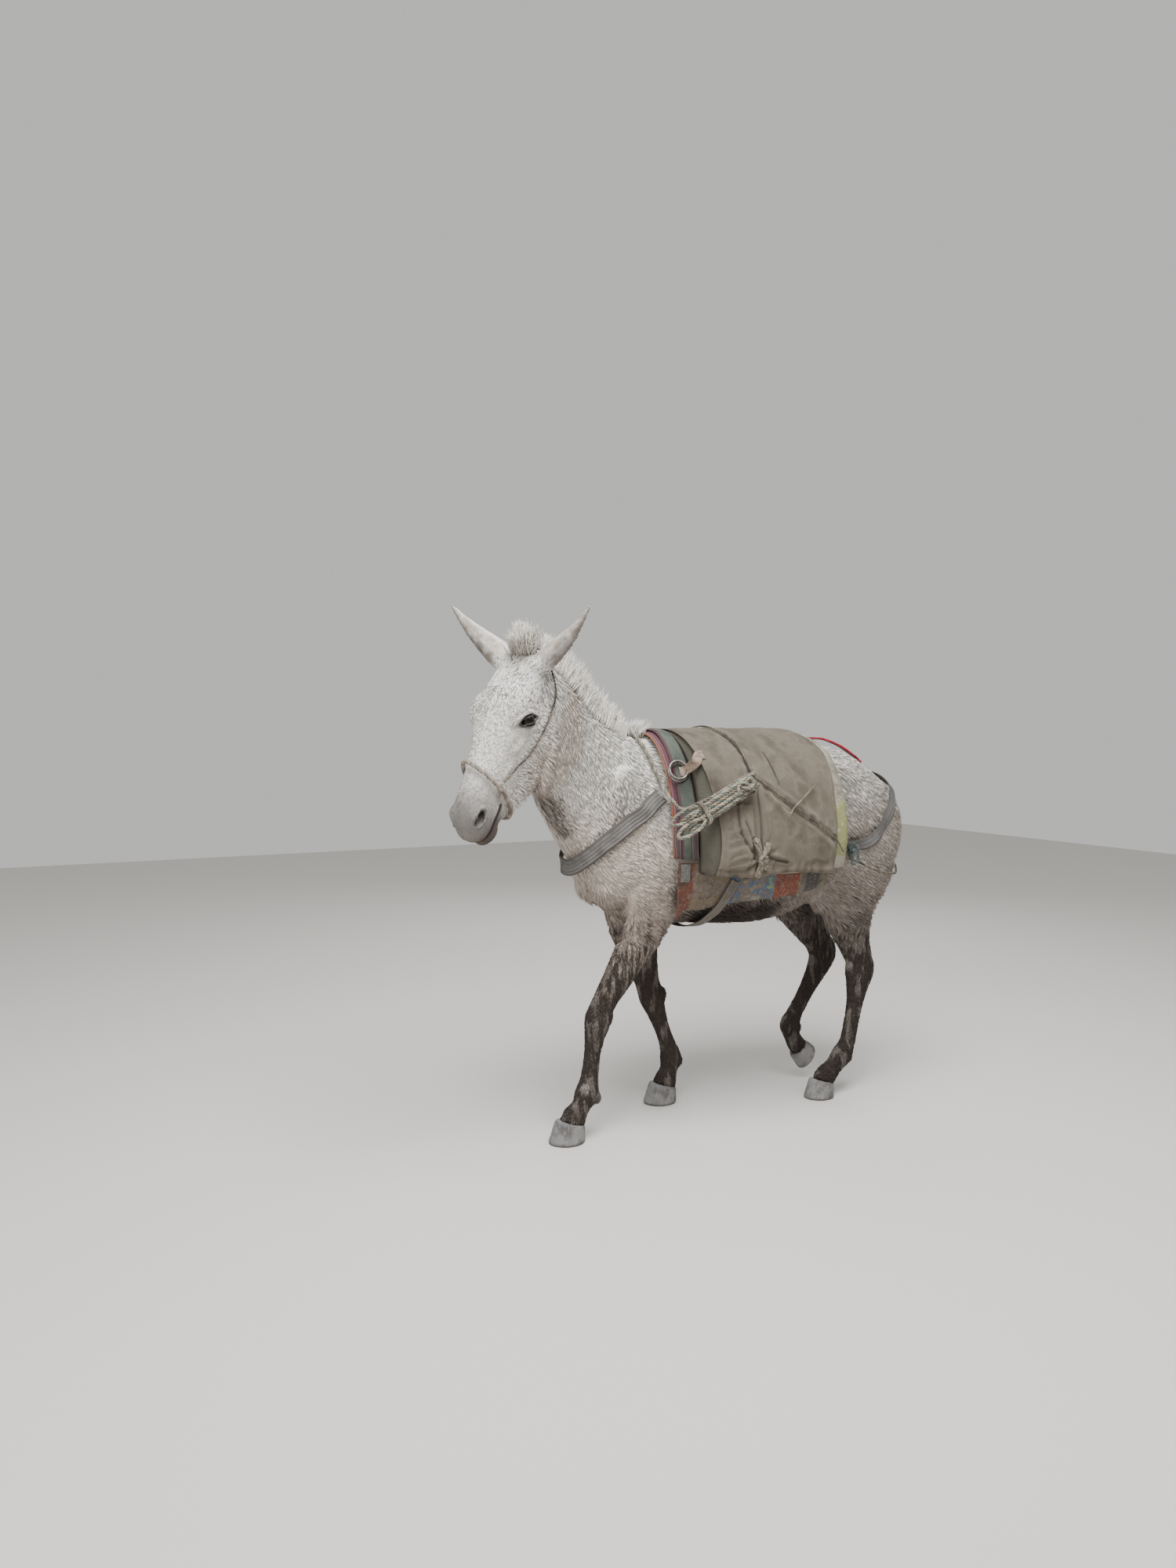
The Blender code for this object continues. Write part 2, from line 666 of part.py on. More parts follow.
# The tips are not quite alike: the left one is held a little closer
EAR_TIPS = {1: Vector((-0.118, 0.252, 0.090)), -1: Vector((-0.118, 0.268, 0.100))}
EAR_OPENS = Vector((-0.31, 0.37, -0.88))
EAR_BOW = 0.012
EAR_RINGS = (
    (-0.10, 0.034, 0.030, 0.000),
    (0.08, 0.041, 0.036, 0.000),
    (0.24, 0.043, 0.034, 0.000),
    (0.42, 0.036, 0.027, 0.003),
    (0.62, 0.026, 0.019, 0.006),
    (0.80, 0.015, 0.011, 0.005),
    (0.93, 0.008, 0.006, 0.001),
    (1.00, 0.003, 0.003, 0.000),
)
EAR_THICKNESS = 0.005
EAR_POINTS = 8


def ear(name, side, group):
    """A cupped leaf: an outer and an inner arc at each ring, open towards the back and outside."""
    mirror = Vector((1.0, side, 1.0))
    root, tip = EAR_ROOT * mirror, EAR_TIPS[side] * mirror
    axis = tip - root
    opens = EAR_OPENS * mirror
    opens = (opens - axis * opens.dot(axis) / axis.length_squared).normalized()
    aside = axis.cross(opens).normalized()
    rings = []
    for share, half, deep, lower in EAR_RINGS:
        middle = root + axis * share + opens * EAR_BOW * math.sin(math.pi * max(share, 0.0))
        middle -= aside * side * lower
        thick = min(EAR_THICKNESS, 0.6 * half)
        outer, inner = [], []
        for k in range(EAR_POINTS):
            turn = math.radians(-105 + 210 * k / (EAR_POINTS - 1))
            outer.append(middle + aside * math.sin(turn) * half - opens * math.cos(turn) * deep)
            slim, shallow = half - thick, max(deep - thick, 0.0004)
            inner.append(middle + aside * math.sin(turn) * slim - opens * math.cos(turn) * shallow)
        rings.append([on_head(*point) for point in outer + inner[::-1]])
    return loft(name, rings, group)


# Lines laid on a surface

def tree_of(*objects):
    """A search tree over the surfaces of objects."""
    points, faces = [], []
    for obj in objects:
        start = len(points)
        points += [vertex.co.copy() for vertex in obj.data.vertices]
        faces += [[start + i for i in polygon.vertices] for polygon in obj.data.polygons]
    faces.sort(key=lambda face: sorted(tuple(points[i]) for i in face))
    return BVHTree.FromPolygons(points, faces)


def cling(points, step, lift, tree, ease=2):
    """Evenly spaced places along a line through points, laid on a surface and lifted off it."""
    line = route(points, step)
    places = []
    for point in line:
        near, normal, _, _ = tree.find_nearest(point)
        places.append([near + normal * lift, normal])
    for _ in range(ease):
        for i in range(1, len(places) - 1):
            middle = (places[i - 1][0] + places[i + 1][0]) / 2
            out = (middle - places[i][0]).dot(places[i][1])
            if out > 0:
                places[i][0] = places[i][0] + places[i][1] * out
    return places


def mirrored(points):
    """A line from the left side carried over to the right, its last point on the middle."""
    points = [Vector(point) for point in points]
    return points + [Vector((-p.x, p.y, p.z)) for p in points[-2::-1]]


def strap(name, places, width, thick, group):
    """A flat band along places that each have the way they face."""
    rings = []
    for i, (place, normal) in enumerate(places):
        along = places[min(i + 1, len(places) - 1)][0] - places[max(i - 1, 0)][0]
        aside = along.cross(normal).normalized() * width / 2
        out = aside.cross(along).normalized() * thick / 2
        rings.append([place - aside - out, place + aside - out, place + aside + out, place - aside + out])
    return loft(name, rings, group)


def tube(name, line, radius, group, fineness=0, closed=False):
    """A round cord along places, with 4, 6 or 8 sides at a fineness of 0, 1 or 2."""
    curve = bpy.data.curves.new(name, "CURVE")
    curve.dimensions = "3D"
    curve.bevel_depth = radius
    curve.bevel_resolution = fineness
    curve.use_fill_caps = not closed
    spline = curve.splines.new("POLY")
    spline.points.add(len(line) - 1)
    spline.use_cyclic_u = closed
    for point, place in zip(spline.points, line):
        point.co = (*place, 1.0)
    path = bpy.data.objects.new(name, curve)
    group.objects.link(path)
    bpy.context.view_layer.update()
    graph = bpy.context.evaluated_depsgraph_get()
    data = bpy.data.meshes.new_from_object(path.evaluated_get(graph))
    bpy.data.objects.remove(path)
    bm = bmesh.new()
    bm.from_mesh(data)
    bmesh.ops.remove_doubles(bm, verts=bm.verts, dist=0.00001)
    bmesh.ops.triangulate(bm, faces=bm.faces)
    return add_mesh(name, bm, group)


def union(name, group, pieces, solver="MANIFOLD"):
    """Joins the objects of a collection into one closed body."""
    objects = list(pieces.objects)
    first = copy_of(objects[0], name, group)
    bpy.data.objects.remove(objects[0])
    if len(objects) > 1:
        boolean(first, pieces, "UNION", solver)
    remove_all(pieces)
    bpy.data.collections.remove(pieces)
    return keep_largest(first)


# Halter, in the head's frame: the noseband from the bridge of the nose to under the jaw, then the crown
ROPE_RADIUS = 0.0070
CORD_RADIUS = 0.0035
NOSEBAND = (
    (0.414, 0.000, 0.002),
    (0.430, 0.034, -0.012),
    (0.440, 0.053, -0.050),
    (0.438, 0.056, -0.085),
    (0.446, 0.049, -0.130),
    (0.456, 0.034, -0.190),
    (0.458, 0.000, -0.222),
    (0.452, -0.034, -0.190),
    (0.436, -0.049, -0.130),
    (0.424, -0.056, -0.085),
    (0.410, -0.053, -0.050),
    (0.400, -0.034, -0.012),
)
NOSE_KNOT = (0.438, 0.056, -0.080)
CROWN = (
    (0.412, 0.058, -0.090),
    (0.346, 0.061, -0.112),
    (0.285, 0.066, -0.138),
    (0.205, 0.078, -0.146),
    (0.112, 0.086, -0.140),
    (0.036, 0.082, -0.118),
    (-0.036, 0.066, -0.054),
    (-0.058, 0.036, 0.000),
    (-0.062, 0.000, 0.010),
)


def halter(tree, group):
    loop = [on_head(*point) for point in NOSEBAND]
    line = [place for place, _ in cling(loop + loop[:1], 0.030, ROPE_RADIUS + 0.0048, tree)]
    pieces = collection("noseband_pieces")
    tube("noseband_loop", line[:-1], ROPE_RADIUS, pieces, 1, True)
    for side, back in ((1, 0.0), (-1, 0.014)):
        knot = tree.find_nearest(on_head(NOSE_KNOT[0] - back, NOSE_KNOT[1] * side, NOSE_KNOT[2]))
        turn = HEAD_FRAME.to_3x3() @ Matrix.Rotation(math.radians(50), 3, "Y")
        oval("noseband_knot", knot[0] + knot[1] * 0.0125, (0.019, 0.010, 0.013), pieces, turn, 7, 5)
    union("halter_noseband", group, pieces)
    half = [on_head(*point) for point in CROWN]
    other = [on_head(x, -y, z) for x, y, z in CROWN[-2::-1]]
    line = [place for place, _ in cling(half + other, 0.036, CORD_RADIUS + 0.0032, tree)]
    tube("halter_crown", line, CORD_RADIUS, group)


# Pack, in rays from a line along the back: the angle from straight up, and the way out from that line
PACK_AXIS = 1.0
CANVAS_PROFILE = (
    (0.0, 0.397), (12.5, 0.397), (25.0, 0.394), (37.5, 0.388), (50.0, 0.378), (62.5, 0.364),
    (75.0, 0.352), (87.5, 0.345), (100.0, 0.341), (109.0, 0.338),
)
PACK_STEP = 12.5
BLANKET_LIFT = 0.009
BLANKET_THICK = 0.009
BAND_THICK = 0.010
CANVAS_THICK = 0.004
LINER_LIFT, LINER_THICK = 0.012, 0.003
PADS_START = -0.188
BLANKET_ROWS = (-0.272, -0.250, PADS_START, -0.135, -0.050, 0.065, 0.190, 0.330)
BAND_ROWS = (BLANKET_ROWS[1], PADS_START - GAP)
PADS_ROWS = (PADS_START,) + BLANKET_ROWS[3:]
FAN_STEPS, HEM_ANGLE = 8, 109.0
PADS_END, CANVAS_HEM = 0.055, 0.042
LINER_ROWS = (-0.255,) + PADS_ROWS + (0.352,)
LINER_TOP, LINER_DROP = 103.0, 139.0


def profile(degrees):
    degrees = abs(degrees)
    for low, high in zip(CANVAS_PROFILE, CANVAS_PROFILE[1:]):
        if degrees <= high[0]:
            break
    share = (degrees - low[0]) / (high[0] - low[0])
    return low[1] + (high[1] - low[1]) * share


def ray(y, degrees, reach):
    turn = math.radians(degrees)
    return Vector((math.sin(turn) * reach, y, PACK_AXIS + math.cos(turn) * reach))


def hide(y, degrees, tree):
    """How far out the hide lies on a ray from the pack's axis."""
    start = ray(y, degrees, 0.9)
    hit = tree.ray_cast(start, (ray(y, degrees, 0.0) - start).normalized())
    return (hit[0] - ray(y, degrees, 0.0)).length


def pads_end(degrees):
    """Where the pads end on the rump, farther back down the sides than on top."""
    return BLANKET_ROWS[-1] + 0.006 + PADS_END * min(1.0, math.sin(math.radians(abs(degrees))) / 0.6)


def canvas_edges(degrees, share):
    """Where the canvas starts and ends along the back, which slants with the way round the pack."""
    front = -0.176 + 0.030 * math.sin(math.radians(abs(degrees))) ** 6
    return front + (pads_end(degrees) - CANVAS_HEM - front) * share


def drape(name, angles, rows, inner, outer, group):
    """A layer over the back or down a flank, both faces parted along the same diagonals."""
    bm = bmesh.new()
    grids = []
    for reach in (inner, outer):
        grid = []
        for row in rows:
            places = [(row(degrees) if callable(row) else row, degrees) for degrees in angles]
            grid.append([bm.verts.new(ray(y, degrees, reach(y, degrees))) for y, degrees in places])
        grids.append(grid)
    for grid in grids:
        for low, high in zip(grid, grid[1:]):
            for k in range(len(angles) - 1):
                bm.faces.new((low[k], low[k + 1], high[k + 1]))
                bm.faces.new((low[k], high[k + 1], high[k]))
    inside, outside = grids
    rims = [(inside[0], outside[0]), (inside[-1], outside[-1])]
    rims += [([row[k] for row in inside], [row[k] for row in outside]) for k in (0, -1)]
    for near, far in rims:
        for k in range(len(near) - 1):
            bm.faces.new((near[k], near[k + 1], far[k + 1]))
            bm.faces.new((near[k], far[k + 1], far[k]))
    return add_mesh(name, bm, group)


def pack_layers(tree, group):
    def over_hide(lift):
        return lambda y, degrees: max(hide(y, degrees + near, tree) for near in (-5.0, 0.0, 5.0)) + lift

    def under_canvas(depth):
        return lambda y, degrees: profile(degrees) - depth

    top = BLANKET_LIFT + BLANKET_THICK
    angles = [PACK_STEP * k for k in range(-FAN_STEPS, FAN_STEPS + 1)]
    drape("pack_blanket", angles, BLANKET_ROWS, over_hide(BLANKET_LIFT), over_hide(top), group)
    drape("pack_band", angles, BAND_ROWS, over_hide(top + GAP), over_hide(top + BAND_THICK), group)
    angles = [-HEM_ANGLE] + angles + [HEM_ANGLE]
    rows = PADS_ROWS + (pads_end,)
    drape("pack_pads", angles, rows, over_hide(top + GAP), under_canvas(CANVAS_THICK + GAP), group)
    rows = [lambda degrees, share=share: canvas_edges(degrees, share) for share in (0.0, 0.5, 1.0)]
    drape("pack_canvas", angles, rows, under_canvas(CANVAS_THICK), under_canvas(0.0), group)
    for side, label in ((1, "left"), (-1, "right")):
        angles = [side * (LINER_TOP + (LINER_DROP - LINER_TOP) * k / 4) for k in range(5)]
        drape("pack_liner_" + label, angles, LINER_ROWS,
              over_hide(LINER_LIFT), over_hide(LINER_LIFT + LINER_THICK), group)


def on_pack(y, degrees, lift):
    return ray(y, degrees, profile(degrees) + lift)


def laid(y, degrees, lift, over):
    """A place lifted off a surface on a ray from the pack's axis, with the way the surface faces there."""
    places, faced = [], Vector()
    for shift in (-0.015, 0.0, 0.015):
        start = ray(y + shift, degrees, 0.9)
        hit = over.ray_cast(start, (ray(y + shift, degrees, 0.0) - start).normalized())
        places.append(hit[0])
        faced += hit[1] * (1.0 if hit[1].dot(start - hit[0]) > 0 else -1.0)
    faced.normalize()
    tops = max((place - places[1]).dot(faced) for place in places)
    return places[1] + faced * (lift + max(tops, 0.0)), faced


# Straps and fittings of the pack, for each side
BREAST_WIDTH, BREAST_THICK = 0.056, 0.005
BREAST_LINE = (
    (0.176, -0.294, 1.166), (0.172, -0.330, 1.137), (0.166, -0.386, 1.093), (0.144, -0.443, 1.041),
    (0.107, -0.500, 0.984), (0.060, -0.548, 0.938), (0.000, -0.574, 0.920),
)
RING_RADIUS, RING_WIRE = 0.034, 0.0045
RING_PLACE = (-0.238, 38.0)
FLAP_THICK = 0.003
GIRTH_WIDTH, GIRTH_THICK = 0.036, 0.004
# Place along the back, angle and lift over what lies there
GIRTH_LINE = (
    (-0.052, 114.0, 0.008), (-0.068, 122.0, 0.008), (-0.083, 130.0, 0.008), (-0.094, 137.0, 0.009),
    (-0.096, 143.5, 0.020), (-0.102, 152.0, 0.016), (-0.107, 161.0, 0.013), (-0.110, 170.0, 0.012),
    (-0.111, 180.0, 0.012),
)


def fittings(over, group):
    """All that lies over the hide and the pack's layers, whose surfaces the search tree holds."""
    places = cling(mirrored(BREAST_LINE), 0.042, BREAST_THICK / 2 + 0.012, over, 14)
    strap("breast_strap", places, BREAST_WIDTH, BREAST_THICK, group)
    for side, label in ((1, "left"), (-1, "right")):
        y, degrees = RING_PLACE[0], RING_PLACE[1] * side
        middle, out = laid(y, degrees, RING_WIRE + 0.003, over)
        turn = out.to_track_quat("Z", "Y").to_matrix()
        circle = [middle + turn @ Vector((math.cos(t), math.sin(t), 0.0)) * RING_RADIUS
                  for t in (2 * math.pi * k / 14 for k in range(14))]
        tube("pack_ring_" + label, circle, RING_WIRE, group, 0, True)
        line = [(laid(y, degrees, 0.004, over)[0], out) for y in (-0.1985, -0.1940, -0.1900)]
        strap("ring_strap_" + label, line, 0.034, 0.003, group)
        for name, y, low, high, width in (
            ("flap_front_", -0.262, 76.0, 99.0, 0.020),
            ("flap_rear_", -0.2055, 70.0, 99.5, 0.022),
            ("pack_panel_", -0.233, 103.8, 117.0, 0.034),
        ):
            angles = [(low + (high - low) * k / 3) * side for k in range(4)]
            line = [laid(y, degrees, FLAP_THICK + 0.004, over) for degrees in angles]
            strap(name + label, line, width, FLAP_THICK, group)
    half = [laid(y, degrees, lift, over) for y, degrees, lift in GIRTH_LINE]
    other = [laid(y, -degrees, lift, over) for y, degrees, lift in GIRTH_LINE[-2::-1]]
    strap("girth", half + other, GIRTH_WIDTH, GIRTH_THICK, group)


# Crupper and breeching, laid on the rump
BAND_LINE = (
    (0.262, 0.425, 0.968), (0.240, 0.541, 0.975), (0.226, 0.605, 1.005), (0.208, 0.672, 1.075),
    (0.178, 0.712, 1.150), (0.110, 0.735, 1.215), (0.000, 0.740, 1.245),
)
RED_LINE = ((0.010, 0.400, 1.350), (0.012, 0.500, 1.345), (0.012, 0.600, 1.305), (0.010, 0.700, 1.255))
BREECH_LINE = (
    (0.262, 0.428, 0.932), (0.240, 0.520, 0.900), (0.228, 0.605, 0.868),
    (0.190, 0.710, 0.856), (0.120, 0.810, 0.862), (0.000, 0.862, 0.868),
)


def crupper(tree, behind, group):
    strap("breeching_band", cling(mirrored(BAND_LINE), 0.045, 0.008, tree, 8), 0.042, 0.004, group)
    line = [place for place, _ in cling(RED_LINE, 0.04, 0.008, tree)]
    tube("crupper_cord", line, 0.0045, group)
    line = [place - Vector((0.016, 0.0, 0.0)) for place in line]
    tube("crupper_cord_dark", line, 0.0030, group)
    line = [place for place, _ in cling(mirrored(BREECH_LINE), 0.055, 0.012, behind, 30)]
    tube("breeching_rope", line, 0.0040, group)
    for side, label in ((1, "left"), (-1, "right")):
        pieces = collection("knot_pieces")
        oval("knot", (0.300 * side, 0.424, 0.966), (0.017, 0.022, 0.030), pieces, None, 7, 5)
        loop = []
        for k in range(10):
            t = 2 * math.pi * k / 10
            loop.append(Vector((0.303 * side, 0.436 + math.cos(t) * 0.018, 0.945 + math.sin(t) * 0.034)))
        tube("knot_loop", loop, 0.0040, pieces, 0, True)
        union("breeching_knot_" + label, group, pieces)


# Rope from the right side over the withers to the hank on the left
LEAD_RADIUS = 0.006
LEAD_STEP = 0.034
HANK_TURNS, HANK_PITCH, HANK_BEND = 4, 0.0142, 0.021
HANK_LOW, HANK_HIGH = Vector((0.370, -0.312, 1.088)), Vector((0.352, -0.040, 1.222))
HANK_OUT = Vector((0.93, 0.0, 0.36))
LEAD_LAID = (
    (-0.185, -0.280, 1.225), (-0.150, -0.296, 1.280), (-0.095, -0.310, 1.325), (-0.040, -0.316, 1.365),
    (0.015, -0.316, 1.372), (0.095, -0.302, 1.310), (0.150, -0.294, 1.240), (0.180, -0.292, 1.212),
)
LEAD_HANGING = ((0.220, -0.294, 1.180), (0.252, -0.286, 1.151), (0.281, -0.266, 1.130))
LEAD_MEETS = 0.070


def hank_frame():
    """The middle of the hank, the way along it, the way out from the flank and the way across."""
    along = (HANK_HIGH - HANK_LOW).normalized()
    out = (HANK_OUT - along * HANK_OUT.dot(along)).normalized()
    return (HANK_LOW + HANK_HIGH) / 2, along, out, along.cross(out)


def hank(name, group):
    """The outer shape of the bundled turns: a flat loop with round ends."""
    middle, along, out, aside = hank_frame()
    straight = (HANK_HIGH - HANK_LOW).length / 2 - HANK_BEND
    high = HANK_BEND + LEAD_RADIUS
    wide = (HANK_TURNS * HANK_PITCH) / 2 + LEAD_RADIUS
    rings = []
    for side, inset in ((-1, 0.006), (-0.8, 0.0), (0.8, 0.0), (1, 0.006)):
        ring = []
        for k in range(14):
            end = straight if k < 7 else -straight
            turn = math.pi * ((k if k < 7 else k - 7) / 6 - 0.5) + (0.0 if k < 7 else math.pi)
            reach = end + math.cos(turn) * (high - inset)
            ring.append(middle + along * reach + out * math.sin(turn) * (high - inset) + aside * side * wide)
        rings.append(ring)
    return loft(name, rings, group)


def lead_rope(name, over, group):
    """The stretch of rope from the right side over the withers, which ends against the hank."""
    middle, along, out, aside = hank_frame()
    line = [place for place, _ in cling(LEAD_LAID, LEAD_STEP, LEAD_RADIUS + 0.006, over, 6)]
    end = middle - along * LEAD_MEETS - out * (HANK_BEND + LEAD_RADIUS + 0.0025)
    line = route(line + [Vector(point) for point in LEAD_HANGING] + [end - out * 0.020, end], LEAD_STEP)
    return tube(name, line, LEAD_RADIUS, group, 1)


# Lashing over the canvas: place along the back, angle and lift
LASH_LINE = ((0.350, 96.0), (0.310, 88.0), (0.215, 77.0), (0.115, 66.0), (0.045, 58.0), (-0.007, 50.0),
             (-0.006, 36.0), (-0.012, 20.8), (-0.020, 0.0))
LASH_TAIL = ((0.030, 60.5), (0.060, 66.0), (0.110, 73.0), (0.135, 70.0), (0.237, 58.8))
LASH_RADIUS = 0.003


def lashing(group):
    left = [on_pack(y, degrees, LASH_RADIUS + 0.004) for y, degrees in LASH_LINE]
    tube("lash_rope", route(mirrored(left), 0.056), LASH_RADIUS, group)
    line = [on_pack(y, degrees, 3 * LASH_RADIUS + 0.008) for y, degrees in LASH_TAIL]
    tube("lash_end", route(line, 0.030), LASH_RADIUS * 0.8, group)
    for side, label in ((1, "left"), (-1, "right")):
        pieces = collection("tie_pieces")
        knot = on_pack(0.000, 97.0 * side, 0.016)
        oval("tie", knot, (0.015, 0.022, 0.020), pieces, None, 7, 5)
        for y, degrees in ((-0.030, 85.0), (0.025, 88.0), (-0.006, 107.0)):
            end = on_pack(y, degrees * side, 0.012)
            tube("tie_fold", [knot, end], 0.009, pieces, 1)
        union("canvas_tie_" + label, group, pieces)


# Locks of hair: share of the length, share of the width and of the thickness
LOCK_RINGS = ((0.0, 0.8, 0.9), (0.4, 1.0, 1.0), (0.78, 0.8, 0.6), (1.0, 0.06, 0.15))
LOCK_ROOT = 0.012

CREST_LINE = ((0.150, -0.738, 1.628), (0.118, -0.655, 1.580), (0.085, -0.575, 1.512), (0.043, -0.480, 1.432),
              (0.014, -0.385, 1.388), (0.004, -0.346, 1.374))
MANE_HEIGHTS = (0.088, 0.100, 0.106, 0.100, 0.076, 0.036)
MANE_STATIONS = 9
MANE_END = 0.95
MANE_CORE = 0.42
TAIL_LINE = (
    ((0.000, 0.770, 1.180), 0.030, 0.028),
    ((0.000, 0.826, 1.115), 0.032, 0.025),
    ((0.000, 0.834, 1.030), 0.034, 0.024),
    ((0.000, 0.824, 0.930), 0.040, 0.025),
    ((0.000, 0.790, 0.830), 0.044, 0.028),
    ((0.000, 0.742, 0.740), 0.040, 0.028),
    ((0.000, 0.698, 0.660), 0.030, 0.022),
    ((0.000, 0.672, 0.590), 0.012, 0.010),
)
TAIL_CORE = 0.42
TAIL_TIERS = 3
TAIL_LOCKS = 4


def lock(root, bend, tip, width, thick, facing, group):
    """A flat tapered lock, its root sunk in, on an even bend through three places."""
    root = root - (bend - root).normalized() * LOCK_ROOT
    rings = []
    for share, wide, deep in LOCK_RINGS:
        place = root * (1 - share) ** 2 + bend * 2 * share * (1 - share) + tip * share ** 2
        along = (bend - root) * (1 - share) + (tip - bend) * share
        aside = along.cross(facing).normalized()
        out = aside.cross(along).normalized()
        aside, out = aside * width * wide / 2, out * thick * deep / 2
        rings.append([place + aside - out, place + out, place - aside - out])
    return loft("lock", rings, group)


def cut_clear(obj, cutters):
    """Cuts hair or an ear back from the flesh that it grows from."""
    for cutter in cutters:
        boolean(obj, cutter, "DIFFERENCE", "MANIFOLD")
    return keep_largest(obj)


def crest_frame(share):
    """Place, height, way along, way aside and way up at a share of the crest's length."""
    rows = through([(*place, height) for place, height in zip(CREST_LINE, MANE_HEIGHTS)], 8)
    step = min(max(round(share * (len(rows) - 1)), 0), len(rows) - 1)
    before, after = Vector(rows[max(step - 1, 0)][:3]), Vector(rows[min(step + 1, len(rows) - 1)][:3])
    along = (after - before).normalized()
    aside = along.cross(Vector((0.0, 0.0, 1.0))).normalized()
    return Vector(rows[step][:3]), rows[step][3], along, aside, aside.cross(along).normalized()


def mane(name, cutters, group):
    """An upright mane: a low core along the crest and two rows of locks that cross at their tips."""
    draw = random.Random(3)
    pieces = collection("mane_pieces")
    rings = []
    for i in range(7):
        place, height, along, aside, up = crest_frame(i / 6)
        top = height * MANE_CORE
        rings.append([
            place + aside * 0.020 - up * 0.020, place + aside * 0.013 + up * top * 0.7, place + up * top,
            place - aside * 0.013 + up * top * 0.7, place - aside * 0.020 - up * 0.020,
        ])
    loft("mane_core", rings, pieces)
    for i in range(MANE_STATIONS):
        for side in (1, -1):
            share = MANE_END * (i + (0.25 if side > 0 else 0.75)) / MANE_STATIONS
            place, height, along, aside, up = crest_frame(share)
            root = place + aside * side * 0.009
            lean = draw.uniform(-0.22, 0.30)
            reach = height * draw.uniform(0.94, 1.12)
            bend = root + up * reach * 0.55 + aside * side * 0.009 + along * reach * lean * 0.3
            tip = root + up * reach + along * reach * lean - aside * side * draw.uniform(-0.004, 0.014)
            lock(root, bend, tip, draw.uniform(0.047, 0.055), 0.016, aside * side, pieces)
    return cut_clear(union(name, group, pieces), cutters)


def forelock(name, cutters, group):
    """A short tuft between the ears, its locks fanned upward and a few over the forehead."""
    draw = random.Random(5)
    pieces = collection("forelock_pieces")
    turn = HEAD_FRAME.to_3x3()
    oval("forelock_core", on_head(-0.012, 0.0, 0.008), (0.024, 0.030, 0.030), pieces, turn, 8, 4)
    for row, (forward, count, rise) in enumerate(((-0.032, 3, 0.108), (-0.006, 3, 0.092))):
        for k in range(count):
            across = (k - (count - 1) / 2) * 0.019 + 0.009
            root = on_head(forward, across, 0.004)
            reach = rise * draw.uniform(0.9, 1.1)
            back = draw.uniform(0.004, 0.018)
            bend = on_head(forward - back * 0.3, across * 1.1 + 0.008, reach * 0.55)
            tip = on_head(forward - back, across * 1.2 + draw.uniform(0.022, 0.030), reach)
            lock(root, bend, tip, 0.032, 0.013, on_head(1, 0, 0.3) - on_head(0, 0, 0), pieces)
    return cut_clear(union(name, group, pieces), cutters)


def around(frame, turn, reach):
    """A place round the tail's line, at a turn and at a share of its half width and depth."""
    place, half, deep, back = frame
    return place + Vector((half * reach * math.cos(turn), 0.0, 0.0)) + back * deep * reach * math.sin(turn)


def tail(name, cutters, group):
    """A dock and core of half the tail's depth, under tiers of long locks that lie down over it."""
    draw = random.Random(8)
    pieces = collection("tail_pieces")
    rows = through(TAIL_LINE, 6)
    frames = []
    for i, row in enumerate(rows):
        down = Vector(rows[min(i + 1, len(rows) - 1)][:3]) - Vector(rows[max(i - 1, 0)][:3])
        back = Vector((1.0, 0.0, 0.0)).cross(down).normalized()
        frames.append((Vector(row[:3]), row[3], row[4], back))
    turns = [2 * math.pi * k / 8 for k in range(8)]
    rings = []
    for i, frame in enumerate(frames[::6]):
        rings.append([around(frame, turn, 1.0 if i < 2 else TAIL_CORE) for turn in turns])
    loft("tail_core", rings, pieces)
    for tier in range(TAIL_TIERS):
        start = 4 + tier * 11
        for k in range(TAIL_LOCKS):
            turn = 2 * math.pi * (k + 0.5 * (tier % 2)) / TAIL_LOCKS + draw.uniform(-0.10, 0.10)
            out = Vector((math.cos(turn), 0.0, 0.0)) + frames[start][3] * math.sin(turn)
            root = around(frames[start], turn, 0.40)
            end = min(start + draw.choice((14, 15, 16)), len(frames) - 1)
            bend = around(frames[(start + end) // 2], turn, 1.3)
            tip = around(frames[end], turn, 1.0)
            lock(root, bend, tip, draw.uniform(0.036, 0.042), 0.014, out, pieces)
    return cut_clear(union(name, group, pieces), cutters)


# Parting the flesh into its nodes

HEAD_CUT = (on_head(-0.055, 0.0, 0.0), on_head(0.280, 0.0, -0.290))
# Fore legs stand before this line and hind legs behind it
FORE_AND_HIND = 0.15


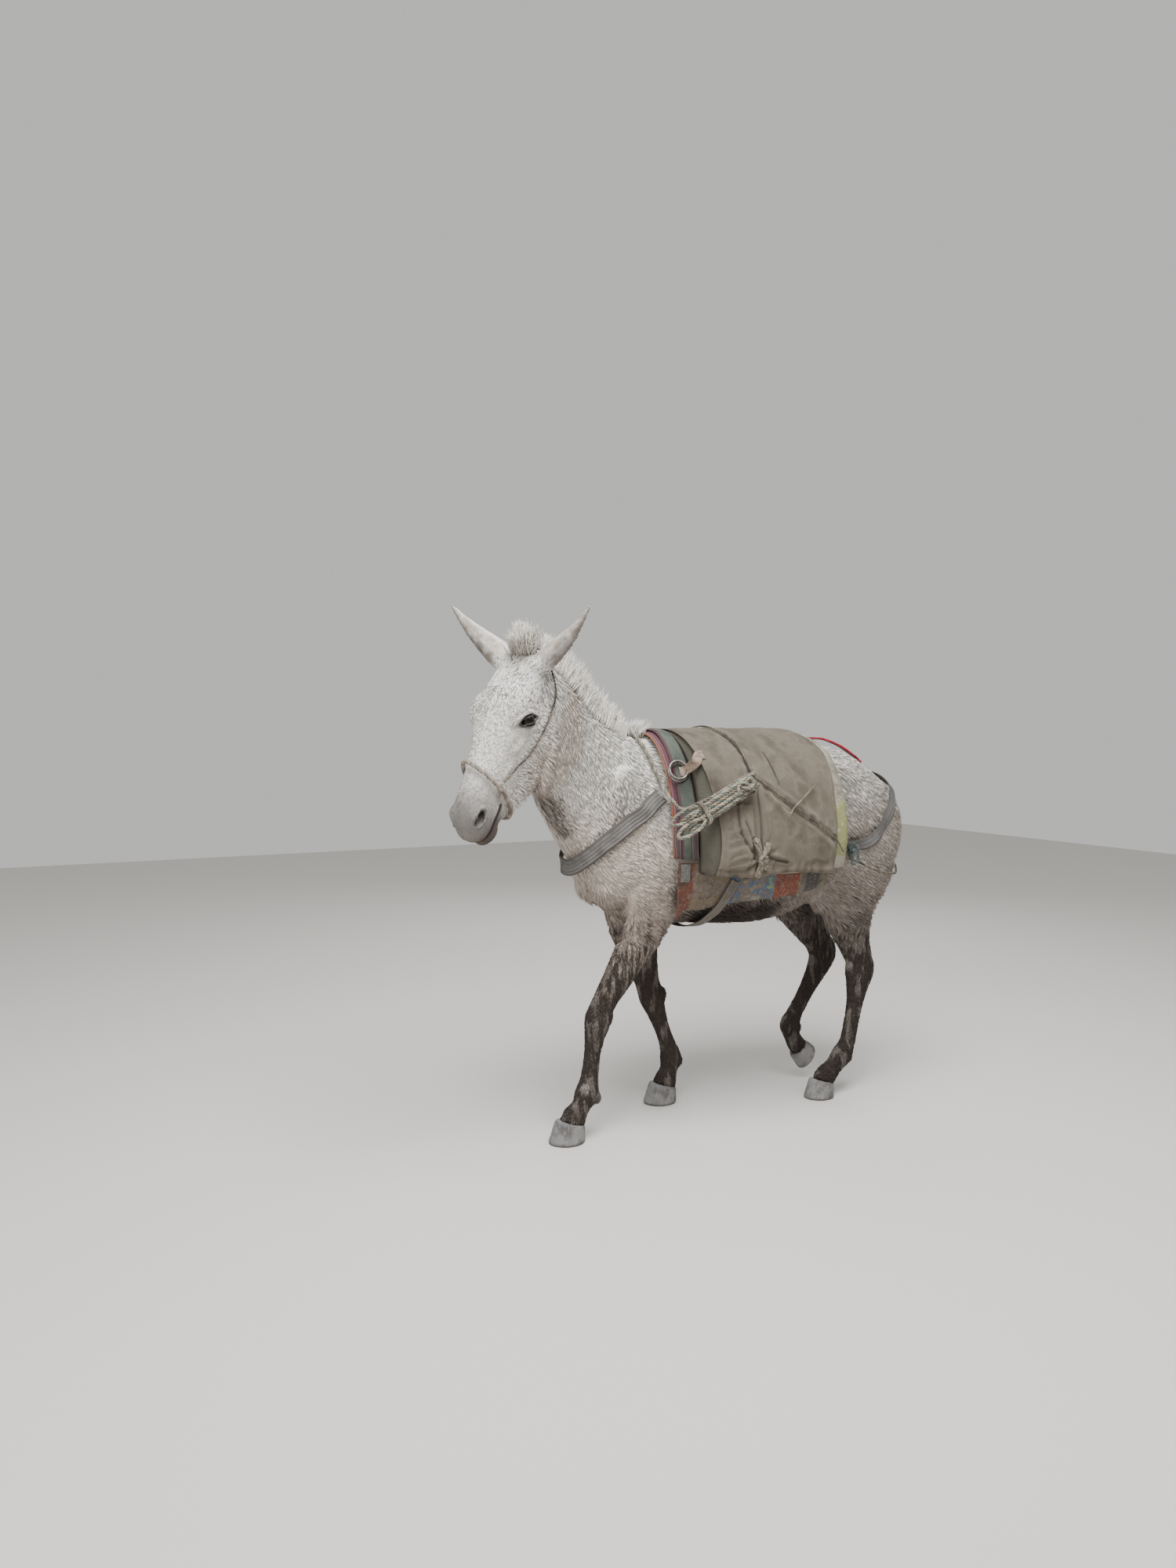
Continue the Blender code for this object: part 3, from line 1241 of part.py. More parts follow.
def part_flesh(flesh, group):
    n = (HEAD_CUT[0] - HEAD_CUT[1]).cross(on_head(0, 1, 0) - on_head(0, 0, 0)).normalized()
    if n.dot(MUZZLE_WAY) < 0:
        n = -n
    down = (NECK_CUT[1] - NECK_CUT[0]).normalized()
    fore = Vector((0.0, down.z, -down.y))
    low = Vector((0.0, 0.0, LEG_CUT))
    margin = 0.02

    head = trim(copy_of(flesh, "head", group), HEAD_CUT[0], -n, margin)
    thin_to(keep_largest(head), HEAD_FACES)
    trim(head, HEAD_CUT[0], -n, -GAP / 2)
    cut_head(head, group)

    neck = trim(copy_of(flesh, "neck", group), HEAD_CUT[0], n, margin)
    trim(neck, NECK_CUT[0], -fore, margin)
    thin_to(keep_largest(neck), NECK_FACES)
    trim(neck, HEAD_CUT[0], n, -GAP / 2)
    trim(neck, NECK_CUT[0], -fore, -GAP / 2)

    torso = trim(copy_of(flesh, "torso", group), NECK_CUT[0], fore, margin)
    trim(torso, low, (0, 0, -1), margin)
    thin_to(keep_largest(torso), TORSO_FACES)
    trim(torso, NECK_CUT[0], fore, -GAP / 2)
    trim(torso, low, (0, 0, -1), -GAP / 2)

    below = trim(copy_of(flesh, "below", group), low, (0, 0, 1), margin)
    for (name, stations), hoof_name in zip(LIMBS.items(), HOOVES):
        leg = copy_of(below, name, group)
        keep_quarter(leg, stations[5][0])
        keep_largest(leg)
        thin_to(leg, LEG_FACES)
        trim(leg, low, (0, 0, 1), -GAP / 2)
        point, facing = coronet_plane(hoof_name)
        trim(leg, point, -facing, -GAP)
        keep_largest(leg)
    bpy.data.objects.remove(below)
    for name in ("neck", "torso"):
        keep_largest(bpy.data.objects[name])


def keep_quarter(obj, place):
    """Keeps the shells of one quarter of the floor, beside a place."""
    bm = bmesh.new()
    bm.from_mesh(obj.data)
    away = [
        v for v in bm.verts
        if (v.co.x > 0) != (place[0] > 0) or (v.co.y > FORE_AND_HIND) != (place[1] > FORE_AND_HIND)
    ]
    bmesh.ops.delete(bm, geom=away, context="VERTS")
    bm.to_mesh(obj.data)
    bm.free()


# Finishes: the names that each colour goes to start with these words
FINISHES = {
    "coat": ((0.62, 0.59, 0.55), 0.90, ("head", "neck", "torso", "ear_")),
    "leg_coat": ((0.13, 0.10, 0.085), 0.90, ("foreleg_", "hindleg_")),
    "hair": ((0.66, 0.61, 0.53), 0.85, ("mane", "forelock")),
    "tail_hair": ((0.20, 0.165, 0.14), 0.85, ("tail",)),
    "horn": ((0.36, 0.33, 0.30), 0.65, ("hoof_",)),
    "eyeball": ((0.018, 0.013, 0.010), 0.08, ("eye_",)),
    "halter_rope": ((0.42, 0.38, 0.31), 0.85, ("halter_",)),
    "lead_rope": ((0.47, 0.41, 0.31), 0.85, ("neck_rope",)),
    "lashing": ((0.17, 0.13, 0.095), 0.85, ("lash_", "breeching_rope", "breeching_knot_")),
    "webbing": ((0.27, 0.255, 0.245), 0.80, ("breast_strap", "breeching_band", "girth")),
    "dark_webbing": ((0.13, 0.085, 0.085), 0.85, ("flap_", "crupper_cord_dark")),
    "red_cord": ((0.50, 0.03, 0.05), 0.60, ("crupper_cord",)),
    "canvas": ((0.40, 0.335, 0.265), 0.90, ("pack_canvas", "canvas_tie_")),
    "burlap": ((0.52, 0.50, 0.36), 0.95, ("pack_pads",)),
    "blanket": ((0.24, 0.10, 0.13), 0.95, ("pack_blanket",)),
    "pad_cloth": ((0.22, 0.25, 0.20), 0.90, ("pack_band",)),
    "printed_vinyl": ((0.48, 0.35, 0.25), 0.55, ("pack_liner_",)),
    "pale_plastic": ((0.50, 0.52, 0.53), 0.50, ("pack_panel_",)),
    "strap_leather": ((0.50, 0.40, 0.30), 0.60, ("ring_strap_",)),
    "steel": ((0.50, 0.48, 0.45), 0.40, ("pack_ring_",)),
}


def finish(obj):
    """Gives a node the colour with the longest name that fits its own."""
    fits = [(len(start), slot) for slot, (_, _, starts) in FINISHES.items() for start in starts
            if obj.name.startswith(start)]
    slot = max(fits)[1]
    color, roughness, _ = FINISHES[slot]
    made = bpy.data.materials.get(slot) or material(slot, color, roughness, 1.0 if slot == "steel" else 0.0)
    obj.data.materials.clear()
    obj.data.materials.append(made)


# What hair, ears and tack lie against
FLESH = ("head", "neck", "torso")
# The middle of the mule's outline on the floor, which the last step moves to the origin
MIDDLE = Vector((0.0146, -0.1113, 0.010))


def main():
    clear_scene()
    mule = collection("mule")
    spare = collection("spare")
    flesh = fuse_flesh(spare)
    part_flesh(flesh, mule)
    for name in HOOVES:
        hoof(name, mule)
    tree = tree_of(*[bpy.data.objects[name] for name in FLESH])
    cutters = [swollen(bpy.data.objects[name], name + "_cutter", ROOT_GAP, spare) for name in FLESH]
    for side, label in ((1, "left"), (-1, "right")):
        eye("eye_" + label, side, mule)
        cut_clear(ear("ear_" + label, side, mule), cutters[:2])
    halter(tree, mule)
    mane("mane", cutters, mule)
    forelock("forelock", cutters[:2], mule)
    tail("tail", cutters[2:], mule)
    pack_layers(tree, mule)
    layers = ("neck", "torso", "pack_blanket", "pack_band", "pack_liner_left", "pack_liner_right")
    over = tree_of(*[bpy.data.objects[name] for name in layers])
    fittings(over, mule)
    crupper(tree, tree_of(bpy.data.objects["torso"], bpy.data.objects["tail"]), mule)
    lashing(mule)
    over = tree_of(*[bpy.data.objects[name] for name in layers + ("breast_strap",)])
    lead_rope("neck_rope", over, mule)
    hank("neck_rope_hank", mule)
    remove_all(spare)
    for obj in mule.objects:
        finish(obj)
        obj.data.transform(Matrix.Translation(-MIDDLE))


main()
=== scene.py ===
"""Looks of a walking pack mule: skin and coat, hair, hooves, halter, pack and ropes."""

import math

import bpy
import numpy as np
from mathutils import Matrix, Vector
from mathutils.bvhtree import BVHTree


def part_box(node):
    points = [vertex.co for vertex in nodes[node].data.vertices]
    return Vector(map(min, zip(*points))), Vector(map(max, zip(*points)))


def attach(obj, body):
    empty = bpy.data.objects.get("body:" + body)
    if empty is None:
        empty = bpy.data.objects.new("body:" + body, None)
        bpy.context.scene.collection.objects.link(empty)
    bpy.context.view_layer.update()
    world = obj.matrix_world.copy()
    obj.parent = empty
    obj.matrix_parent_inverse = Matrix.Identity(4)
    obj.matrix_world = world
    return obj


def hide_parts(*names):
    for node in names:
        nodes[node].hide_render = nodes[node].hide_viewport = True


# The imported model. The body's own frame has its middle plane at x 0 and lies off the row's by MIDDLE
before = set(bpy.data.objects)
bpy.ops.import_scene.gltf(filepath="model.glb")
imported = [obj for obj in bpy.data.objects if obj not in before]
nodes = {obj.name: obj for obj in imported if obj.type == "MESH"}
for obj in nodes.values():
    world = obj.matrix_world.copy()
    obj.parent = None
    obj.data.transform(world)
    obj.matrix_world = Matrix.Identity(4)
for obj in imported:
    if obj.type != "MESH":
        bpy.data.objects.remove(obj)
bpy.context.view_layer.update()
MIDDLE = Vector((0.0146, -0.1113, 0.010))
SIDES = ((1, "left"), (-1, "right"))


def placed(*points):
    """Points of the body's own frame as rows of the row frame."""
    return np.array([[p[i] - MIDDLE[i] for i in range(3)] for p in points], float)


def both_sides(points, axis=0):
    """A line that starts on the left and ends on the middle plane, carried on to the right."""
    points = np.array(points)
    return np.concatenate((points, points[-2::-1] * np.where(np.arange(3) == axis, -1, 1)))


def unit(vectors):
    return vectors / np.maximum(np.linalg.norm(vectors, axis=-1, keepdims=True), 1e-9)


# Camera at standing height, ahead of the near shoulder, with a slight wide angle
camera_data = bpy.data.cameras.new("camera")
camera_data.lens = 27.0
camera_data.sensor_width = 36.0
camera = bpy.data.objects.new("camera", camera_data)
bpy.context.scene.collection.objects.link(camera)
bpy.context.scene.camera = camera
CAMERA_AHEAD = Vector((-0.88974, 0.45335, -0.05326)).normalized()
camera_right = CAMERA_AHEAD.cross(Vector((0.0, 0.0, 1.0))).normalized()
camera_up = camera_right.cross(CAMERA_AHEAD)
turn = Matrix((camera_right, camera_up, -CAMERA_AHEAD)).transposed().to_4x4()
camera.matrix_world = Matrix.Translation((3.5830, -2.2001, 1.4110)) @ turn

# Plain pale floor, with one wide soft light overhead, two at the sides and a pale sky
FLOOR_HALF = 9.0
floor_data = bpy.data.meshes.new("floor")
corners = [(-FLOOR_HALF, -FLOOR_HALF, 0), (FLOOR_HALF, -FLOOR_HALF, 0),
           (FLOOR_HALF, FLOOR_HALF, 0), (-FLOOR_HALF, FLOOR_HALF, 0)]
floor_data.from_pydata(corners, [], [(0, 1, 2, 3)])
floor = bpy.data.objects.new("floor", floor_data)
bpy.context.scene.collection.objects.link(floor)
floor_paint = bpy.data.materials.new("floor")
floor_paint.use_nodes = True
floor_shader = floor_paint.node_tree.nodes["Principled BSDF"]
floor_shader.inputs["Base Color"].default_value = (0.62, 0.60, 0.57, 1)
floor_shader.inputs["Roughness"].default_value = 0.9
floor_data.materials.append(floor_paint)

sky = bpy.data.worlds.new("sky")
sky.use_nodes = True
sky.node_tree.nodes["Background"].inputs["Color"].default_value = (0.985, 0.975, 0.955, 1)
sky.node_tree.nodes["Background"].inputs["Strength"].default_value = 0.62
bpy.context.scene.world = sky
LIGHTS_AIM = Vector((0.0, -0.1, 0.9))
for name, place, size, power in (
    ("light_over", (1.6, -0.6, 4.4), 2.6, 330), ("light_ahead", (3.0, -4.2, 2.6), 2.6, 90),
    ("light_behind", (-3.6, 2.4, 3.2), 3.0, 60),
):
    lamp = bpy.data.lights.new(name, "AREA")
    lamp.size = size
    lamp.energy = power
    light = bpy.data.objects.new(name, lamp)
    bpy.context.scene.collection.objects.link(light)
    light.location = place
    light.rotation_euler = (LIGHTS_AIM - Vector(place)).to_track_quat("-Z", "Y").to_euler()


# Rope over the withers: laid hemp and nylon, three strands twisted, 12 mm thick. It is tied at the
# right of the breast strap, crosses in front of the pack and is wound into a hank on the left side.
ROPE_RADIUS = 0.006
ROPE_STEP = 0.034
ROPE_LAID = (
    (-0.185, -0.280, 1.225), (-0.150, -0.296, 1.280), (-0.095, -0.310, 1.325), (-0.040, -0.316, 1.365),
    (0.015, -0.316, 1.372), (0.095, -0.302, 1.310), (0.150, -0.294, 1.240), (0.180, -0.292, 1.212),
)
ROPE_HANGING = ((0.220, -0.294, 1.180), (0.252, -0.286, 1.151), (0.281, -0.266, 1.130))
HANK_TURNS, HANK_PITCH, HANK_BEND = 4, 0.0142, 0.021
TURN_POINTS = 28
HANK_LOW, HANK_HIGH = Vector((0.370, -0.312, 1.088)), Vector((0.352, -0.040, 1.222))
HANK_OUT = Vector((0.93, 0.0, 0.36))
# The length of one turn of a strand, and a strand's place and radius as shares of the rope's radius
STRAND_TURN = 0.040
STRAND_OFF, STRAND_THICK, STRAND_SIDES = 0.53, 0.56, 6


def arrays_of(data):
    """Points and triangles of a mesh."""
    data.calc_loop_triangles()
    points = np.zeros(len(data.vertices) * 3, np.float32)
    triangles = np.zeros(len(data.loop_triangles) * 3, np.int32)
    data.vertices.foreach_get("co", points)
    data.loop_triangles.foreach_get("vertices", triangles)
    return points.reshape(-1, 3).astype(float), triangles.reshape(-1, 3)


def joined(parts):
    """Several sets of points, each with its kinds of faces, as one."""
    starts = np.cumsum([0] + [len(part[0]) for part in parts[:-1]])
    faces = [np.concatenate([face + start for face, start in zip(kind, starts)])
             for kind in zip(*[part[1:] for part in parts])]
    return [np.concatenate([part[0] for part in parts])] + faces


def tree_of(*names):
    """CAD nodes as one tree, to find places on them by."""
    points, triangles = joined([arrays_of(nodes[name].data) for name in names])
    return BVHTree.FromPolygons(points.tolist(), triangles.tolist())


def add_piece(name, points, *faces, smooth=True):
    """A mesh object on the body, from arrays of points and of faces with as many corners each."""
    data = bpy.data.meshes.new(name)
    faces = [np.asarray(face, np.int32) for face in faces if len(face)]
    corners = np.concatenate([face.ravel() for face in faces])
    sizes = np.concatenate([np.full(len(face), face.shape[1]) for face in faces])
    data.vertices.add(len(points))
    data.vertices.foreach_set("co", np.asarray(points, np.float32).ravel())
    data.loops.add(len(corners))
    data.loops.foreach_set("vertex_index", corners)
    data.polygons.add(len(sizes))
    starts = np.concatenate(([0], np.cumsum(sizes)[:-1]))
    data.polygons.foreach_set("loop_start", starts.astype(np.int32))
    data.update(calc_edges=True)
    data.validate()
    if smooth:
        data.shade_smooth()
    obj = bpy.data.objects.new(name, data)
    bpy.context.scene.collection.objects.link(obj)
    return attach(obj, "root")


def mark_points(obj, **marks):
    """Numbers kept on a mesh's points, under the names that its finish reads."""
    for name, values in marks.items():
        made = obj.data.attributes.new(name, "FLOAT", "POINT")
        made.data.foreach_set("value", values.astype(np.float32))


def eased(points, steps=24):
    """A smooth line through points."""
    points = np.asarray(points, float)
    ends = np.concatenate((points[:1], points, points[-1:]))
    t = (np.arange(steps) / steps)[:, None]
    made = []
    for p, q, r, s in zip(ends, ends[1:], ends[2:], ends[3:]):
        made.append(q + 0.5 * t * (r - p + t * (2 * p - 5 * q + 4 * r - s + t * (3 * (q - r) + s - p))))
    return np.concatenate(made + [points[-1:]])


def run_of(line):
    """How far along a line each of its places is."""
    return np.concatenate(([0], np.cumsum(np.linalg.norm(np.diff(line, axis=0), axis=1))))


def evenly(points, step):
    """The same line as evenly spaced places, with whatever else its rows hold."""
    points = np.asarray(points, float)
    along = run_of(points[:, :3])
    count = max(2, int(round(along[-1] / step)))
    where = np.linspace(0, along[-1], count + 1)
    return np.stack([np.interp(where, along, points[:, k]) for k in range(points.shape[1])], 1)


def cling(points, step, lift, tree, ease=2):
    """A line laid on a surface and lifted off it, with the way it faces at each place."""
    places, facing = [], []
    for point in evenly(eased(points), step):
        near, normal, _, _ = tree.find_nearest(Vector(point))
        places.append(np.array(near + normal * lift))
        facing.append(np.array(normal))
    for _ in range(ease):
        for i in range(1, len(places) - 1):
            out = ((places[i - 1] + places[i + 1]) / 2 - places[i]) @ facing[i]
            places[i] = places[i] + facing[i] * max(out, 0.0)
    return np.array(places), np.array(facing)


def frames_along(line, facing=None):
    """Unit ways along, across and out at each place of a line, carried on without a twist."""
    along = unit(np.gradient(line, axis=0))
    if facing is None:
        facing = np.zeros_like(line)
        way = np.cross(along[0], (0.31, 0.52, 0.79))
        for i, a in enumerate(along):
            way = way - a * (way @ a)
            way = way / np.linalg.norm(way)
            facing[i] = way
    out = unit(facing - along * (facing * along).sum(1)[:, None])
    return along, np.cross(out, along), out


def lofted(rings, closed=False):
    """Points and faces of a tube through rings of as many points each, with its ends closed."""
    rings = np.asarray(rings, float)
    count, sides = rings.shape[:2]
    index = np.arange(count * sides).reshape(count, sides)
    rows = index if not closed else np.concatenate((index, index[:1]))
    low, high = rows[:-1], rows[1:]
    quads = np.stack((low, np.roll(low, -1, 1), np.roll(high, -1, 1), high), 2).reshape(-1, 4)
    points = rings.reshape(-1, 3)
    if closed:
        return points, quads, np.zeros((0, 3), int)
    ends = np.stack((rings[0].mean(0), rings[-1].mean(0)))
    first, last = index[0], index[-1]
    fan = np.stack((np.roll(first, -1), first, np.full(sides, len(points))), 1)
    other = np.stack((last, np.roll(last, -1), np.full(sides, len(points) + 1)), 1)
    return np.concatenate((points, ends)), quads, np.concatenate((fan, other))


def tube(line, radius, sides, closed=False):
    """A round tube along a line."""
    _, across, out = frames_along(line)
    turns = -2 * math.pi * np.arange(sides) / sides
    radius = np.broadcast_to(radius, (len(line),))[:, None, None]
    ring = across[:, None] * np.cos(turns)[None, :, None] + out[:, None] * np.sin(turns)[None, :, None]
    return lofted(line[:, None] + ring * radius, closed)


def strands(line, radius, turn, count=3):
    """Twisted strands round a line, which together are as thick as the rope."""
    _, across, out = frames_along(line)
    run, parts = run_of(line), []
    for k in range(count):
        angle = (2 * math.pi * (run / turn + k / count))[:, None]
        middle = line + (across * np.cos(angle) + out * np.sin(angle)) * radius * STRAND_OFF
        parts.append(tube(middle, radius * STRAND_THICK, STRAND_SIDES))
    return parts


def add_strands(name, parts, count=3):
    """Twisted strands as one piece, with a number for each strand of a rope to colour it by."""
    obj = add_piece(name, *joined(parts))
    numbers = [np.full(len(part[0]), (k % count) / (count - 1)) for k, part in enumerate(parts)]
    mark_points(obj, strand=np.concatenate(numbers))
    return obj


def add_rope(name, line, radius, turn, count=3):
    return add_strands(name, strands(line, radius, turn, count), count)


class Shade:
    """A socket of a material's nodes, so that masks and colours read as plain expressions."""

    def __init__(self, tree, socket=None):
        self.tree, self.socket = tree, socket

    def node(self, kind, settings=None, inputs=None, output=0):
        made = self.tree.nodes.new("ShaderNode" + kind)
        for key, value in (settings or {}).items():
            if key == "stops":
                ramp = made.color_ramp
                for i, (position, color) in enumerate(value):
                    stop = ramp.elements[i] if i < len(ramp.elements) else ramp.elements.new(position)
                    stop.position, stop.color = position, (*color, 1.0)
            else:
                setattr(made, key, value)
        for key, value in (inputs or {}).items():
            if isinstance(value, Shade):
                self.tree.links.new(value.socket, made.inputs[key])
            elif made.inputs[key].type == "RGBA":
                made.inputs[key].default_value = (*value, 1.0)
            else:
                made.inputs[key].default_value = value
        return Shade(self.tree, made.outputs[output])

    def math(self, operation, first, second=0.0):
        return self.node("Math", {"operation": operation}, {0: first, 1: second})

    def __add__(self, other):
        return self.math("ADD", self, other)

    def __radd__(self, other):
        return self.math("ADD", other, self)

    def __sub__(self, other):
        return self.math("SUBTRACT", self, other)

    def __rsub__(self, other):
        return self.math("SUBTRACT", other, self)

    def __mul__(self, other):
        return self.math("MULTIPLY", self, other)

    def __rmul__(self, other):
        return self.math("MULTIPLY", other, self)

    def __abs__(self):
        return self.math("ABSOLUTE", self)

    def sine(self):
        return self.math("SINE", self)

    def between(self, low, high):
        """0 below low, 1 above high, eased in between; the other way round where low is the higher."""
        return self.node("MapRange", {"interpolation_type": "SMOOTHSTEP"},
                         {"Value": self, "From Min": low, "From Max": high})

    def mix(self, first, second):
        """The first colour where this mask is 0, the second where it is 1."""
        return self.node("Mix", {"data_type": "RGBA"}, {0: self, 6: first, 7: second}, 2)

    def stretched(self, x, y, z):
        return self.node("VectorMath", {"operation": "MULTIPLY"}, {0: self, 1: (x, y, z)})

    def noise(self, scale, detail=3.0, roughness=0.55):
        """Cloudy noise over this place, about 0.5 in the middle."""
        inputs = {"Vector": self, "Scale": scale, "Detail": detail, "Roughness": roughness}
        return self.node("TexNoise", None, inputs)



    def parts(self):
        return [self.node("SeparateXYZ", None, {0: self}, k) for k in range(3)]

    def reach(self, point):
        """How far this place is from a point."""
        return self.node("VectorMath", {"operation": "DISTANCE"}, {0: self, 1: tuple(point)}, 1)

    def along(self, way):
        return self.node("VectorMath", {"operation": "DOT_PRODUCT"}, {0: self, 1: tuple(way)}, 1)


class Finish(Shade):
    """A material under way: what is fixed is set on the shader, and the rest is fed to it."""

    def __init__(self, name, roughness=0.8, **fixed):
        self.material = bpy.data.materials.new(name)
        self.material.use_nodes = True
        super().__init__(self.material.node_tree)
        self.shader = self.tree.nodes["Principled BSDF"]
        self.shader.inputs["Roughness"].default_value = roughness
        for key, value in fixed.items():
            socket = key.replace("_", " ").title().replace("Ior", "IOR")
            self.shader.inputs[socket].default_value = value
        self.place = self.node("TexCoord", output=3)

    def feed(self, color=None, roughness=None, bump=None, strength=0.5, depth=0.002):
        for key, value in (("Base Color", color), ("Roughness", roughness)):
            if value is not None:
                self.tree.links.new(value.socket, self.shader.inputs[key])
        if bump is not None:
            normal = self.node("Bump", None, {"Height": bump, "Strength": strength, "Distance": depth})
            self.tree.links.new(normal.socket, self.shader.inputs["Normal"])
        return self.material

    def value(self, name, output=2):
        """A number kept on the mesh's points, or with output 0 a colour or place."""
        return self.node("Attribute", {"attribute_name": name}, None, output)

    def paint(self, *objects):
        for obj in objects:
            obj.data.materials.clear()
            obj.data.materials.append(self.material)


def layered(color, *layers):
    """A colour with others laid over it, each as far as its mask goes."""
    for mask, over in layers:
        color = mask.mix(color, over)
    return color


def darker(color, share):
    return [value * share for value in color]


def rope_finish(name, light, dark, tint):
    """Twisted fibres: each strand in its own shade, dirt in patches and fine hairs."""
    made = Finish(name, 0.9)
    fibre = made.place.noise(900.0, 2.0)
    color = layered(
        made.value("strand").between(0.2, 0.9).mix(light, tint),
        (made.place.noise(24.0, 3.0).between(0.42, 0.66), dark),
        (fibre.between(0.3, 0.7) * 0.45, darker(dark, 0.45)),
    )
    made.feed(color, None, fibre, 0.5, 0.0012)
    return made


hank_along = (HANK_HIGH - HANK_LOW).normalized()
hank_out = (HANK_OUT - hank_along * HANK_OUT.dot(hank_along)).normalized()
hank_aside = hank_along.cross(hank_out)
hank_middle = (HANK_LOW + HANK_HIGH) / 2
PACK_FRONT = ("neck", "torso", "pack_blanket", "pack_band", "pack_liner_left", "pack_liner_right")
over_pack = tree_of(*PACK_FRONT, "breast_strap")
laid_line, _ = cling(placed(*ROPE_LAID), ROPE_STEP, ROPE_RADIUS + 0.006, over_pack, 6)
straight = (HANK_HIGH - HANK_LOW).length / 2 - HANK_BEND
turns = []
for k in range(HANK_TURNS * TURN_POINTS + TURN_POINTS // 4):
    angle = 2 * math.pi * k / TURN_POINTS - math.pi / 2
    reach = math.cos(angle)
    uneven = 1.0 + 0.10 * math.sin(k / TURN_POINTS * 2.4 + 0.6)
    bow = math.copysign(straight, reach) * min(1.0, abs(reach) * 2.2) * uneven + reach * HANK_BEND
    high = 1.0 + 0.16 * math.sin(k / TURN_POINTS * 3.1)
    shift = (k / TURN_POINTS - (HANK_TURNS - 0.25) / 2) * HANK_PITCH
    turns.append(hank_middle + hank_along * bow + hank_out * math.sin(angle) * HANK_BEND * high
                 + hank_aside * shift)
turns = placed(*turns)
meeting = turns[:1] + (placed(ROPE_HANGING[-1]) - turns[:1]) * 0.25
hanging = np.concatenate((laid_line, placed(*ROPE_HANGING), meeting))
rope_line = evenly(np.concatenate((eased(hanging, 8)[:-1], eased(turns, 4))), 0.0035)
neck_rope = add_rope("neck_rope_laid", rope_line, ROPE_RADIUS, STRAND_TURN)
hemp = rope_finish("hemp_rope", (0.39, 0.335, 0.245), (0.120, 0.100, 0.076), (0.150, 0.180, 0.160))
hemp.paint(neck_rope)
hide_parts("neck_rope", "neck_rope_hank")

# Two turns of rope hold the hank together near its lower end
WRAP_DOWN, WRAP_STEPS, WRAP_RUN = 0.078, 20, 0.013
WRAP_WIDE, WRAP_HIGH = HANK_TURNS * HANK_PITCH / 2 + 0.0095, HANK_BEND + 0.0115


def squared(value):
    """A sine or cosine pushed out, so that a round follows the corners of a box."""
    return math.copysign(abs(value) ** 0.6, value)


wrap_middle = Vector(placed(hank_middle - hank_along * WRAP_DOWN)[0])
wrap_line = []
for k in range(2 * WRAP_STEPS + 1):
    angle = 2 * math.pi * k / WRAP_STEPS
    wrap_line.append(wrap_middle + hank_aside * squared(math.cos(angle)) * WRAP_WIDE
                     + hank_out * squared(math.sin(angle)) * WRAP_HIGH
                     + hank_along * (k / (2 * WRAP_STEPS) - 0.5) * WRAP_RUN)
wrap_line = evenly(eased(np.array(wrap_line), 6), 0.003)
wrap = add_rope("neck_rope_wrap", wrap_line, ROPE_RADIUS * 0.8, STRAND_TURN)
hemp.paint(wrap)

# The rope's end is tied in a knot over the upper end, and two bights hang out below
KNOT_UP, KNOT_OUT, KNOT_SIZE = 0.100, 0.024, (0.046, 0.017, 0.036)
# For each bight: how far down its middle hangs, to which side, and how far out it stands
BIGHTS = ((0.155, 0.020, 0.018), (0.148, -0.024, 0.012))
hank_ways = np.array((hank_along, hank_out, hank_aside))


def knotted(middle, ways, size, rope, turn=0.018):
    """An overhand knot drawn tight: strands round a line that passes under itself three times."""
    t = np.linspace(0, 2 * math.pi, 61)[:-1]
    line = (np.sin(t) + 2 * np.sin(2 * t), np.cos(t) - 2 * np.cos(2 * t), -1.5 * np.sin(3 * t))
    line = middle + (np.stack(line, 1) / 3 * (np.array(size) - rope)) @ ways
    line = np.concatenate((line, line[:1]))
    return strands(evenly(line, 0.0022), rope, turn)


knot_middle = placed(hank_middle + hank_along * KNOT_UP + hank_out * KNOT_OUT)[0]
parts = knotted(knot_middle, hank_ways, KNOT_SIZE, ROPE_RADIUS * 0.95, STRAND_TURN)
for reach, spread, rise in BIGHTS:
    t = np.linspace(0, 2 * math.pi, 40)
    loop = (-reach + 0.052 * np.cos(t), rise + 0.010 * np.cos(t) + 0.006, spread + 0.017 * np.sin(t))
    loop = np.stack(loop, 1)
    loop = evenly(placed(hank_middle)[0] + loop @ hank_ways, 0.003)
    parts += strands(loop, ROPE_RADIUS * 0.95, STRAND_TURN)
hank_knot = add_strands("neck_rope_knot", parts)
hemp.paint(hank_knot)


# Skin: one hide over head, neck, body and legs, down to the hooves. It lies inside the outline by the
# depth of the coat, is thin and pale, and folds at the lips, nostrils and lids.
FLESH = ("head", "neck", "torso", "foreleg_left", "foreleg_right", "hindleg_left", "hindleg_right",
         "ear_left", "ear_right")
SKIN_VOXEL = 0.004
SKIN_SWELL = 0.0009
BODY_SHARE = 0.25
HEAD, NECK, TORSO, FORE_LEFT, FORE_RIGHT, HIND_LEFT, HIND_RIGHT, EAR_LEFT, EAR_RIGHT = range(9)
# For each of these: the coat's depth over the skin and the rounds of smoothing
COAT_DEPTHS = np.array((0.0028, 0.0075, 0.0070, 0.0034, 0.0034, 0.0036, 0.0036, 0.0004, 0.0004))
SMOOTHING = np.array((5, 26, 30, 14, 14, 16, 16, 1, 1))

